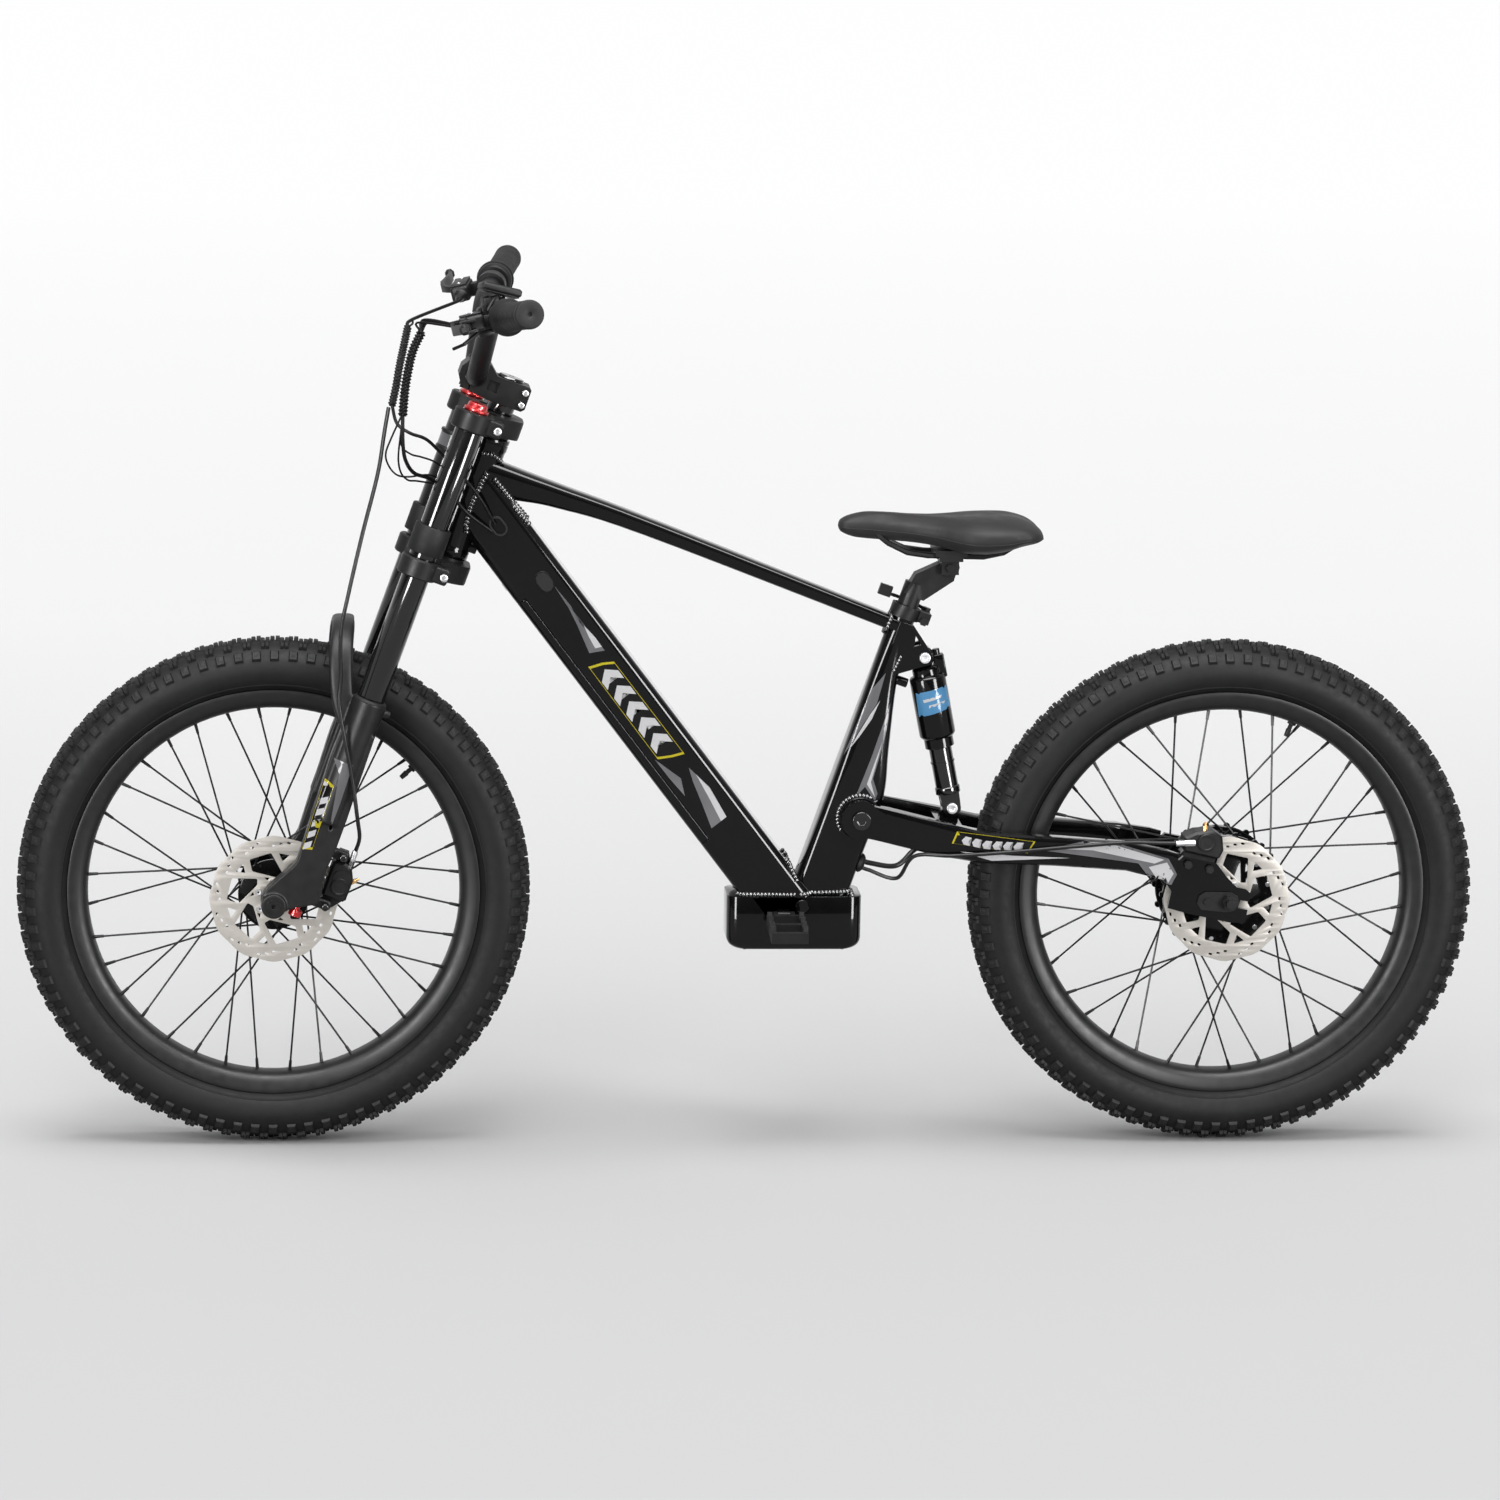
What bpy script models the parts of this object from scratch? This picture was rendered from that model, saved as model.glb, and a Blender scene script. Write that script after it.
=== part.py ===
"""Electric dirt-style bicycle, built in metres with +Z up.

X runs from the front wheel to the rear wheel and Y from the near side (where the
brake discs are) to the far side. The origin lies on the ground, midway between
the axles. Each moving body hangs on an empty whose origin is on its joint axis.
"""

import math

import bmesh
import bpy
import numpy as np
from mathutils import Matrix, Vector

for leftover in list(bpy.data.objects):
    bpy.data.objects.remove(leftover)

# Clearances
GAP = 0.0003
SLIDE_GAP = 0.0004
EMBED = 0.002
MERGE_DISTANCE = 0.000002
FLAT_ANGLE = math.radians(0.05)

# Wheels
WHEELBASE = 1.200
TYRE_HEIGHT = 0.0645
TYRE_WIDTH = 0.072
TYRE_WALL = 0.0045
TYRE_BELLY_DROP = 0.003
LINER_STEP = 0.002
LINER_CROWN_INSET = 0.014
KNOB_HEIGHT = 0.0055
KNOB_PITCHES = 24
RIM_OD = 0.517
RIM_DEPTH = 0.025
RIM_WIDTH = 0.048
RIM_HOOK = 0.0032
RIM_FLOOR_SHARE = 0.55
BEAD_DEPTH = 0.007
SPOKES_PER_SIDE = 18
SPOKE_DIAMETER = 0.0022
SPOKE_RIM_SPREAD = 0.006
SPOKE_HOLE_INSET = 0.005
VALVE_DIAMETER = 0.008
VALVE_REACH = 0.020
FRONT_VALVE_ANGLE = math.radians(42.0)
REAR_VALVE_ANGLE = math.radians(68.0)
ROTOR_OD = 0.160
ROTOR_THICKNESS = 0.0023
ROTOR_Y = -0.058
ROTOR_ARMS = 6
ROTOR_WAVE = 0.0011
ROTOR_TURN = 0.2
DISC_SEAT_RADIUS = 0.0165
FLANGE_THICKNESS = 0.005
FLANGE_Y = 0.031
FRONT_FLANGE_OD = 0.090
MOTOR_OD = 0.154
AXLE_DIAMETER = 0.012
FRONT_HUB_WIDTH = 0.122
REAR_HUB_WIDTH = 0.132

# Fork, in its own frame: X rearward, Z up the steering axis, foot of the axis at the origin
HEAD_LEAN = math.radians(19.5)
FORK_OFFSET = 0.0589
STANCHION_OD = 0.035
STANCHION_SET = 0.033
STANCHION_SPREAD = 0.168
FORK_TRAVEL = 0.045
SEAL_BELOW_ARCH = 0.084
LEG_OD = 0.043
LEG_BOSS_RADIUS = 0.0155
LEG_THICKNESS = 0.030
ARCH_CLEARANCE = 0.043
ARCH_FORWARD = 0.092
ARCH_THICKNESS = 0.011
CROWN_THICKNESS = 0.024
CROWN_COLLAR = 0.0055
CROWN_CLEARANCE = 0.036
CROWN_TO_HEAD = 0.015
HEAD_TO_CROWN = 0.020
CROWN_RING_OD = 0.051
CROWN_REAR = 0.033
STEERER_OD = 0.0286
STEERER_SPACER_OD = 0.035
BUMPER_OD = 0.046
BUMPER_LENGTH = 0.035
BUMPER_LIFT = 0.007
FAR_RING_BELOW = 0.052
FAR_RING_LENGTH = 0.026
CAP_OD = 0.032
STEM_TALL = 0.032
STEM_WIDTH = 0.046
STEM_REACH = 0.044

STANCHION_ENGAGED = 0.0275
CAP_STEM_OD = 0.018
STEM_LIFT = 0.012
CALIPER_BOLT_X = 0.0025
CALIPER_BOLTS_Z = (0.018, 0.084)
CALIPER_BOLT_OD = 0.006
CALIPER_SEAT_Y = -0.0675
TAB_THICKNESS = 0.012
CALIPER_FITTING_X = 0.013
CALIPER_FITTING_OUT = 0.013
KNOB_STEM_OD = 0.008
KNOB_X = -0.030
KNOB_SEAT = 0.0027

# Handlebar, in the fork's frame
CONTROL_TILT = math.radians(14)
CLAMP_PLACE = 0.060
DISPLAY_PLACE = 0.026
LEVER_PIN_OD = 0.005
LEVER_PIN_X = -0.048
BAR_OD = 0.0254
BAR_CENTRE_HEIGHT = 0.0355
BAR_WIDTH = 0.686
BAR_RISE_START = 0.045
BAR_OUTER_RUN = 0.213
BAR_RISE = 0.082
BAR_SWEEP_FORWARD = 0.0135
BAR_UPSWEEP = 0.040
BAR_BACKSWEEP = 0.0254
GRIP_LENGTH = 0.124
GRIP_OD = 0.034
GRIP_FLANGE_OD = 0.046
GRIP_RINGS = 2
THROTTLE_LENGTH = 0.118
THROTTLE_FLANGE_OD = 0.048

# Frame
HEAD_TUBE_OD = 0.050
HEAD_TUBE_LENGTH = 0.134
CUP_OD = 0.052
DOWN_TUBE_DEPTH = 0.073
DOWN_TUBE_WIDTH = 0.076
DOWN_TUBE_CORNER = 0.010
DOWN_TUBE_WALL = 0.0032
DOWN_TUBE_JOIN = 0.0725
DOWN_TUBE_NECK = 0.046
DOWN_TUBE_TAPER = 0.108
COVER_LIP = 0.013
COVER_FOOT = 0.1115
COVER_HEAD = 0.145
COVER_WALL = 0.0025
BOX_CENTRE_X = 0.0552
BOX_LENGTH = 0.1705
BOX_WIDTH = 0.076
BOX_TOP = 0.321
BOX_HEIGHT = 0.0685
BOX_CORNER = 0.015
BOX_PLAN_CORNER = 0.017
BOX_WALL = 0.004
LID_THICKNESS = 0.003
LID_LEDGE = 0.0025
DOWN_TUBE_FOOT_X = 0.0322
SEAT_LEAN = math.radians(19.0)
SEAT_TUBE_FOOT_X = 0.0675
SEAT_TUBE_OD = 0.0318
SEAT_TUBE_LENGTH = 0.388
SEAT_TUBE_FOOT_DEPTH = 0.070
SEAT_TUBE_FOOT_WIDTH = 0.056
SEATPOST_OD = 0.0272
SEATPOST_INSIDE = 0.198
TOP_TUBE_WIDTH = 0.032
TOP_TUBE_DEPTH = 0.0185
TOP_TUBE_HEAD_WIDTH = 0.046
TOP_TUBE_HEAD_DEPTH = 0.050
TOP_TUBE_HEAD_ABOVE = 0.103
TOP_TUBE_SEAT_BELOW = 0.0275
PIVOT_X = 0.1365
PIVOT_Z = 0.4205
PIVOT_SHELL_OD = 0.054
PIVOT_SHELL_WIDTH = 0.066
PIVOT_AXLE_OD = 0.012
PEG_X = 0.0402
PEG_Z = 0.2975
PEG_LENGTH = 0.092
PEG_WIDTH = 0.046
PEG_HINGE_OUT = 0.012
PEG_LUG_WIDTH = 0.016
PEG_PIN_OD = 0.006
PEG_DROOP = math.radians(5)
LOCK_OD = 0.014
GROMMET_Y = -0.012
GROMMET_HEIGHT = 0.060

# Swingarm, in its own frame: X from the pivot to the rear axle
ARM_BOSS_OD = 0.050
ARM_END_Y = 0.045
ARM_REAR_Y = 0.0755
ARM_PIVOT_THICKNESS = 0.0115
ARM_THICKNESS = 0.024
ARM_KNEE_SHARE = 0.433
ARM_WAIST_SHARE = 0.528
DROPOUT_THICKNESS = 0.008
MOTOR_AXLE_FLAT = 0.010
BRIDGE_CLEARANCE = 0.0386
CALIPER_HALF_WIDTH = 0.0175
BRIDGE_LENGTH = 0.034
BRIDGE_DEPTH = 0.036

# Shock
SHOCK_TOP_OUT = 0.04136
SHOCK_TOP_BELOW = 0.05383
SHOCK_FOOT_AHEAD = 0.00132
SHOCK_FOOT_ABOVE = 0.03386
SHOCK_CAN_OD = 0.046
SHOCK_SHAFT_OD = 0.029
SHOCK_EYE_OD = 0.026
SHOCK_EYE_WIDTH = 0.022
SHOCK_BOLT_OD = 0.008
SHOCK_CAN_SHARE = 0.5987
SHOCK_CAN_NECK = 0.037
TRAVEL_RING_BELOW = 0.020
SHOCK_EAR_WIDTH = 0.016
SHOCK_EYE_PLAY = 0.0005
SHAFT_ENGAGED = 0.045
EAR_THICKNESS = 0.005

# Wound wraps on the cables
FAR_RIBS = 15
NEAR_RIBS = 15
LEAD_POINTS = 6
TAIL_POINTS = 12
FAR_WRAP_RADII = (0.0022, 0.0034, 0.0043)
NEAR_WRAP_RADII = (0.0024, 0.0040, 0.0050)
HOSE_OD = 0.005
MOTOR_CABLE_OD = 0.0072

# Seat clamp and saddle
CLAMP_HEIGHT = 0.016
CLAMP_OD = 0.039
HINGE_OUT = 0.03143
HINGE_ABOVE = 0.06438
CRADLE_OD = 0.025
SADDLE_NOSE_AHEAD = 0.146
SADDLE_LENGTH = 0.2635
SADDLE_WIDTH = 0.149
SADDLE_DEPTH = 0.045
SADDLE_LIFT = 0.0205
RAIL_OD = 0.007

# Places that follow from the driving dimensions
TYRE_OD = RIM_OD + 2 * TYRE_HEIGHT
AXLE_Z = TYRE_OD / 2
FRONT_AXLE = Vector((-WHEELBASE / 2, 0, AXLE_Z))
REAR_AXLE = Vector((WHEELBASE / 2, 0, AXLE_Z))


def leaning(point, angle):
    """A frame at a point, turned about Y."""
    return Matrix.Translation(point) @ Matrix.Rotation(angle, 4, "Y")


FORK = leaning(FRONT_AXLE, HEAD_LEAN) @ Matrix.Translation((FORK_OFFSET, 0, 0))
FORK_AXLE = Vector((-FORK_OFFSET, 0, 0))
STANCHION_Y = STANCHION_SPREAD / 2
ARCH_HEIGHT = TYRE_OD / 2 + ARCH_CLEARANCE
SEAL_HEIGHT = ARCH_HEIGHT - SEAL_BELOW_ARCH
LOWER_CROWN_HEIGHT = ARCH_HEIGHT + FORK_TRAVEL + CROWN_CLEARANCE
HEAD_TUBE_FOOT = LOWER_CROWN_HEIGHT + CROWN_THICKNESS + CROWN_TO_HEAD
HEAD_TUBE_TOP = HEAD_TUBE_FOOT + HEAD_TUBE_LENGTH
UPPER_CROWN_HEIGHT = HEAD_TUBE_TOP + HEAD_TO_CROWN
CROWN_TOP = UPPER_CROWN_HEIGHT + CROWN_THICKNESS
BAR_CLAMP = Vector((-STEM_REACH, 0, CROWN_TOP + BAR_CENTRE_HEIGHT))

HEAD_JOIN = FORK @ Vector((0, 0, HEAD_TUBE_FOOT + DOWN_TUBE_JOIN))
DOWN_TUBE_FOOT = Vector((DOWN_TUBE_FOOT_X, 0, BOX_TOP))
DOWN_TUBE_RUN = HEAD_JOIN - DOWN_TUBE_FOOT
DOWN_TUBE_LENGTH = DOWN_TUBE_RUN.length
DOWN_TUBE = leaning(DOWN_TUBE_FOOT, math.atan2(DOWN_TUBE_RUN.x, DOWN_TUBE_RUN.z))
SEAT_TUBE = leaning((SEAT_TUBE_FOOT_X, 0, BOX_TOP), SEAT_LEAN)

PIVOT = Vector((PIVOT_X, 0, PIVOT_Z))
ARM_RUN = REAR_AXLE - PIVOT
ARM_LENGTH = ARM_RUN.length
SWINGARM = leaning(PIVOT, math.atan2(-ARM_RUN.z, ARM_RUN.x))

BRIDGE_X = ARM_LENGTH - TYRE_OD / 2 - BRIDGE_CLEARANCE

SHOCK_TOP_EYE = SEAT_TUBE @ Vector((SHOCK_TOP_OUT, 0, SEAT_TUBE_LENGTH - SHOCK_TOP_BELOW))
SHOCK_FOOT_EYE = SWINGARM @ Vector((BRIDGE_X + SHOCK_FOOT_AHEAD, 0, SHOCK_FOOT_ABOVE))
SHOCK_RUN = SHOCK_TOP_EYE - SHOCK_FOOT_EYE
SHOCK_LENGTH = SHOCK_RUN.length
SHOCK_TILT = math.atan2(SHOCK_RUN.x, SHOCK_RUN.z)
SHOCK = leaning(SHOCK_TOP_EYE, SHOCK_TILT)
SHOCK_CAN_FOOT = SHOCK_CAN_SHARE * SHOCK_LENGTH

SADDLE_HINGE = SEAT_TUBE @ Vector((HINGE_OUT, 0, SEAT_TUBE_LENGTH + HINGE_ABOVE))


# Shape helpers. Each takes plain numbers and gives a mesh.


def mesh_of(points, faces):
    """A closed mesh with its faces turned outwards."""
    mesh = bpy.data.meshes.new("shape")
    mesh.from_pydata([tuple(point) for point in points], [], faces)
    work = bmesh.new()
    work.from_mesh(mesh)
    bmesh.ops.recalc_face_normals(work, faces=work.faces)
    work.to_mesh(mesh)
    work.free()
    return mesh


def circle(radius, count, centre=(0, 0), start=0.0, sweep=math.tau):
    """Points round a circle, or along an arc with both its ends when sweep is under a full turn."""
    steps = count if sweep == math.tau else count - 1
    return [
        (
            centre[0] + radius * math.cos(start + sweep * i / steps),
            centre[1] + radius * math.sin(start + sweep * i / steps)
        )
        for i in range(count)
    ]


def rounded_box_outline(width, depth, corner, per_corner=3, centre=(0, 0)):
    """A rectangle with round or, at two points a corner, chamfered corners."""
    across, along = width / 2 - corner, depth / 2 - corner
    outline = []
    for turn, (sx, sy) in enumerate(((1, 1), (-1, 1), (-1, -1), (1, -1))):
        middle = (centre[0] + sx * across, centre[1] + sy * along)
        outline += circle(corner, per_corner, middle, turn * math.pi / 2, math.pi / 2)
    return outline


def loft(sections, closed=False):
    """Joins sections with the same number of points, with flat ends unless the loft closes on itself."""
    count = len(sections[0])
    points = [point for section in sections for point in section]
    faces = []
    spans = len(sections) if closed else len(sections) - 1
    for level in range(spans):
        low, high = level * count, (level + 1) % len(sections) * count
        for i in range(count):
            j = (i + 1) % count
            faces.append((low + i, low + j, high + j, high + i))
    if not closed:
        faces.append(tuple(range(count))[::-1])
        faces.append(tuple(range(len(points) - count, len(points))))
    return mesh_of(points, faces)


def prism(outline, low, high):
    """An outline in X and Y, drawn out along Z."""
    return loft([[(x, y, z) for x, y in outline] for z in (low, high)])


def side_plate(outline, low, high):
    """An outline in X and Z, drawn out along Y."""
    return loft([[(x, y, z) for x, z in outline] for y in (low, high)])


def end_plate(outline, low, high):
    """An outline in Y and Z, drawn out along X."""
    return loft([[(x, y, z) for y, z in outline] for x in (low, high)])


def turned(profile, steps=24, ring=False, axis="Z", start=0.0):
    """Turns (radius, height) points about an axis: a ring closes on itself, the rest gets flat ends."""
    sections = []
    for radius, height in profile:
        sections.append(
            [
                (
                    radius * math.cos(start + math.tau * i / steps),
                    radius * math.sin(start + math.tau * i / steps), height
                )
                for i in range(steps)
            ]
        )
    mesh = loft(sections, closed=ring)
    if axis == "Y":
        mesh.transform(Matrix.Rotation(-math.pi / 2, 4, "X"))
    if axis == "X":
        mesh.transform(Matrix.Rotation(math.pi / 2, 4, "Y"))
    return mesh


def drum(radius, low, high, steps=14, axis="Y", centre=(0, 0, 0)):
    """A plain cylinder between two places on its axis."""
    mesh = turned([(radius, low), (radius, high)], steps, axis=axis)
    mesh.transform(Matrix.Translation(centre))
    return mesh


def hole(radius, low, high, steps=12, axis="Y", centre=(0, 0, 0)):
    """A cutter whose flats clear a round bar of this radius."""
    return drum((radius + GAP) / math.cos(math.pi / steps), low, high, steps, axis, centre)


def squircle(width, depth, power, count=12, centre=(0, 0)):
    """An outline between an ellipse, at power 2, and a rectangle, at a high power."""
    outline = []
    for i in range(count):
        angle = math.tau * (i + 0.5) / count
        x = math.copysign(abs(math.cos(angle)) ** (2 / power), math.cos(angle))
        y = math.copysign(abs(math.sin(angle)) ** (2 / power), math.sin(angle))
        outline.append((centre[0] + x * width / 2, centre[1] + y * depth / 2))
    reach_x = max(abs(x - centre[0]) for x, y in outline) / (width / 2)
    reach_y = max(abs(y - centre[1]) for x, y in outline) / (depth / 2)
    return [
        (centre[0] + (x - centre[0]) / reach_x, centre[1] + (y - centre[1]) / reach_y)
        for x, y in outline
    ]


def block(size, centre=(0, 0, 0), chamfer=0.0):
    """A box, with chamfered upright edges where asked."""
    corner = max(chamfer, 0.00001)
    outline = rounded_box_outline(size[0], size[1], corner, 2) if chamfer else [
        (size[0] / 2, size[1] / 2),
        (-size[0] / 2, size[1] / 2),
        (-size[0] / 2, -size[1] / 2),
        (size[0] / 2, -size[1] / 2),
    ]
    mesh = prism(outline, -size[2] / 2, size[2] / 2)
    mesh.transform(Matrix.Translation(centre))
    return mesh


def rod(start, end, radius, sides=8):
    """A straight round bar between two points."""
    start, end = Vector(start), Vector(end)
    mesh = turned([(radius, 0), (radius, (end - start).length)], sides)
    mesh.transform(Matrix.Translation(start) @ (end - start).to_track_quat("Z", "Y").to_matrix().to_4x4())
    return mesh


def ribbon(path, width, thickness, flat_axis):
    """A flat bar along a path: its width lies along flat_axis and its thickness square to the path."""
    sections = []
    flat = Vector(flat_axis).normalized()
    path = [Vector(point) for point in path]
    for i, point in enumerate(path):
        ahead = path[min(i + 1, len(path) - 1)] - path[max(i - 1, 0)]
        across = ahead.cross(flat).normalized()
        half_width = flat * (width[i] if isinstance(width, (list, tuple)) else width) / 2
        half_thick = across * thickness / 2
        sections.append(
            [
                point + half_width + half_thick, point - half_width + half_thick,
                point - half_width - half_thick, point + half_width - half_thick
            ]
        )
    return loft(sections)


def placed(mesh, matrix):
    """The same mesh moved by a matrix."""
    mesh.transform(matrix)
    if matrix.determinant() < 0:
        mesh.flip_normals()
    return mesh


def mirrored(mesh):
    """A copy of a mesh on the other side of the bicycle's middle plane."""
    return placed(mesh.copy(), Matrix.Scale(-1, 4, (0, 1, 0)))


def combined(mesh, others, operation):
    """The mesh after a Boolean with each of the others in turn."""
    target = bpy.data.objects.new("target", mesh)
    bpy.context.scene.collection.objects.link(target)
    tools = []
    for other in others:
        tool = bpy.data.objects.new("tool", other)
        bpy.context.scene.collection.objects.link(tool)
        tools.append(tool)
        modifier = target.modifiers.new("combine", "BOOLEAN")
        modifier.operation = operation
        modifier.solver = "EXACT"
        modifier.object = tool
    bpy.context.view_layer.update()
    result = bpy.data.meshes.new_from_object(target.evaluated_get(bpy.context.evaluated_depsgraph_get()))
    for helper in tools + [target]:
        bpy.data.objects.remove(helper)
    return result


def fused(mesh, *others):
    return combined(mesh, others, "UNION")


def cut(mesh, *others):
    return combined(mesh, others, "DIFFERENCE")


def shared(mesh, *others):
    return combined(mesh, others, "INTERSECT")


def gathered(meshes):
    """Several shapes that don't meet, as one mesh."""
    work = bmesh.new()
    for mesh in meshes:
        work.from_mesh(mesh)
    together = bpy.data.meshes.new("gathered")
    work.to_mesh(together)
    work.free()
    return together


def eased(mesh, width, angle=math.radians(50)):
    """Chamfers every edge sharper than an angle."""
    work = bmesh.new()
    work.from_mesh(mesh)
    sharp = [edge for edge in work.edges if edge.is_manifold and edge.calc_face_angle() > angle]
    bmesh.ops.bevel(work, geom=sharp, offset=width, segments=1, affect="EDGES", clamp_overlap=True)
    work.to_mesh(mesh)
    work.free()
    return mesh


def smooth_route(knots, count):
    """Points at even steps along a smooth curve through the knots."""
    knots = [Vector(knot) for knot in knots]
    ends = [knots[0] * 2 - knots[1]] + knots + [knots[-1] * 2 - knots[-2]]
    fine = []
    for before, start, end, after in zip(ends, ends[1:], ends[2:], ends[3:]):
        for step in range(20):
            t = step / 20
            fine.append(
                0.5 * (2 * start + (end - before) * t + (2 * before - 5 * start + 4 * end - after) * t**2
                       + (3 * start - before - 3 * end + after) * t**3)
            )
    fine.append(knots[-1])
    run = [0.0]
    for low, high in zip(fine, fine[1:]):
        run.append(run[-1] + (high - low).length)
    places = np.linspace(0, run[-1], count)
    return [
        Vector([float(np.interp(place, run, [point[axis] for point in fine])) for axis in range(3)])
        for place in places
    ]


# Materials

MATERIALS = {
    "gloss_black": ((0.012, 0.012, 0.014), 0.12, 0.0),
    "satin_black": ((0.020, 0.020, 0.022), 0.38, 0.0),
    "dark_cast": ((0.045, 0.045, 0.048), 0.42, 0.3),
    "black_chrome": ((0.030, 0.030, 0.034), 0.10, 0.9),
    "rubber": ((0.018, 0.018, 0.019), 0.75, 0.0),
    "saddle_cover": ((0.028, 0.028, 0.030), 0.60, 0.0),
    "disc_steel": ((0.66, 0.62, 0.55), 0.30, 1.0),
    "bright_steel": ((0.62, 0.62, 0.63), 0.25, 1.0),
    "red_anodised": ((0.75, 0.02, 0.02), 0.30, 0.6),
    "plastic": ((0.015, 0.015, 0.016), 0.50, 0.0),
    "battery_wrap": ((0.03, 0.05, 0.09), 0.45, 0.0),
}


def material(name):
    """A Principled material from the table, made the first time that it is asked for."""
    if name in bpy.data.materials:
        return bpy.data.materials[name]
    colour, roughness, metallic = MATERIALS[name]
    made = bpy.data.materials.new(name)
    made.use_nodes = True
    shader = made.node_tree.nodes["Principled BSDF"]
    shader.inputs["Base Color"].default_value = (*colour, 1)
    shader.inputs["Roughness"].default_value = roughness
    shader.inputs["Metallic"].default_value = metallic
    made.diffuse_color = (*colour, 1)
    return made


def body(name, matrix):
    """An empty that carries a body's pieces; its origin lies on the body's joint axis."""
    empty = bpy.data.objects.new(name, None)
    empty.empty_display_size = 0.05
    bpy.context.scene.collection.objects.link(empty)
    empty.matrix_basis = matrix
    return empty


def merge_flat_faces(mesh):
    """Joins the flat strips that the Booleans leave."""
    work = bmesh.new()
    work.from_mesh(mesh)
    bmesh.ops.remove_doubles(work, verts=work.verts, dist=MERGE_DISTANCE)
    bmesh.ops.dissolve_limit(
        work, angle_limit=FLAT_ANGLE, use_dissolve_boundaries=False, verts=work.verts, edges=work.edges
    )
    work.to_mesh(mesh)
    work.free()


def piece(name, mesh, finish, carrier, frame=None, smooth=math.radians(35)):
    """A named sub-part carried by an empty. Its mesh is in the frame given, or else in the empty's own."""
    if frame:
        placed(mesh, carrier.matrix_basis.inverted() @ frame)
    merge_flat_faces(mesh)
    mesh.name = name
    obj = bpy.data.objects.new(name, mesh)
    bpy.context.scene.collection.objects.link(obj)
    obj.parent = carrier
    mesh.materials.clear()
    mesh.materials.append(material(finish))
    mesh.shade_smooth()
    mesh.set_sharp_from_angle(angle=smooth)
    return obj


def cord(name, points, radii, finish, carrier, sides_setting=2):
    """A cable or hose along points in the world, with its radius at each point."""
    into = carrier.matrix_basis.inverted()
    curve = bpy.data.curves.new(name, "CURVE")
    curve.dimensions = "3D"
    curve.bevel_depth = max(radii)
    curve.bevel_resolution = sides_setting
    curve.use_fill_caps = True
    spline = curve.splines.new("POLY")
    spline.points.add(len(points) - 1)
    for point, place, radius in zip(spline.points, points, radii):
        point.co = (*(into @ place), 1)
        point.radius = radius / max(radii)
    curve.materials.append(material(finish))
    obj = bpy.data.objects.new(name, curve)
    bpy.context.scene.collection.objects.link(obj)
    obj.parent = carrier
    return obj


# Wheels: each is made about its own axle, which lies along Y


def wheel_ring(section, steps, start=0.0):
    """Turns a closed (y, radius) outline about the axle."""
    sections = []
    for i in range(steps):
        angle = start + math.tau * i / steps
        sections.append([(radius * math.cos(angle), y, radius * math.sin(angle)) for y, radius in section])
    return loft(sections, closed=True)


def tyre_mesh():
    """A hollow carcass with staggered shoulder and crown knobs, one pair of rows to a pitch."""
    half, crown = TYRE_WIDTH / 2, TYRE_OD / 2
    bead_y = RIM_WIDTH / 2 - RIM_HOOK - GAP
    bead = RIM_OD / 2 - BEAD_DEPTH + GAP
    widest = (RIM_OD / 2 + crown) / 2 - TYRE_BELLY_DROP
    groove = crown - KNOB_HEIGHT
    coarse = [(bead_y, bead), (bead_y, RIM_OD / 2 + 5 * GAP), (half, widest)]
    raised_shoulder = [(half - 0.002, crown - 0.0075), (half / 3, groove)]
    raised_crown = [(half - 0.0060, crown - 0.0125), (half / 3, crown)]
    liner = [(half - TYRE_WALL, widest), (bead_y - TYRE_WALL, bead)]
    liner_crown = (half - LINER_CROWN_INSET, groove - TYRE_WALL - LINER_STEP)
    pitch = math.tau / KNOB_PITCHES
    ramp = 0.10
    stations = [
        (0.0, raised_shoulder), (0.5 - ramp, raised_shoulder), (0.5, raised_crown),
        (1.0 - ramp, raised_crown)
    ]
    points, faces = [], []

    def add(y, radius, angle):
        points.append((radius * math.cos(angle), y, radius * math.sin(angle)))
        return len(points) - 1

    # The lowest crown knob puts one of its corners straight below the axle.
    phase = -math.pi / 2 - 0.5 * pitch
    rings = []
    for k in range(KNOB_PITCHES):
        start = phase + k * pitch
        middle = start + 0.45 * pitch
        ring = {}
        for side in (1, -1):
            ring["coarse", side] = [add(side * y, r, middle) for y, r in coarse]
            ring["liner", side] = [add(side * y, r, middle) for y, r in [liner_crown] + liner]
            ring["fine", side] = [
                [add(side * y, r, start + place * pitch) for y, r in section] for place, section in stations
            ]
        rings.append(ring)
    for k, ring in enumerate(rings):
        after = rings[(k + 1) % KNOB_PITCHES]
        for side in (1, -1):
            fine, fine_after = ring["fine", side], after["fine", side]
            columns = fine + [fine_after[0]]
            for low, high in zip(columns, columns[1:]):
                faces.append((low[0], low[1], high[1], high[0]))
            near, far = ring["coarse", side], after["coarse", side]
            faces += [(near[i], near[i + 1], far[i + 1], far[i]) for i in range(2)]
            faces += [(near[2], low[0], high[0]) for low, high in zip(fine, fine[1:])]
            faces.append((near[2], fine[-1][0], fine_after[0][0], far[2]))
            inner, inner_after = ring["liner", side], after["liner", side]
            faces += [(inner[i], inner[i + 1], inner_after[i + 1], inner_after[i]) for i in range(2)]
            faces.append((inner[2], near[0], far[0], inner_after[2]))
        columns = list(
            zip(ring["fine", 1] + [after["fine", 1][0]], ring["fine", -1] + [after["fine", -1][0]])
        )
        for (right, left), (right_next, left_next) in zip(columns, columns[1:]):
            faces.append((right[1], left[1], left_next[1], right_next[1]))
        faces.append(
            (ring["liner", 1][0], ring["liner", -1][0], after["liner", -1][0], after["liner", 1][0])
        )
    return mesh_of(points, faces)


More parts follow.
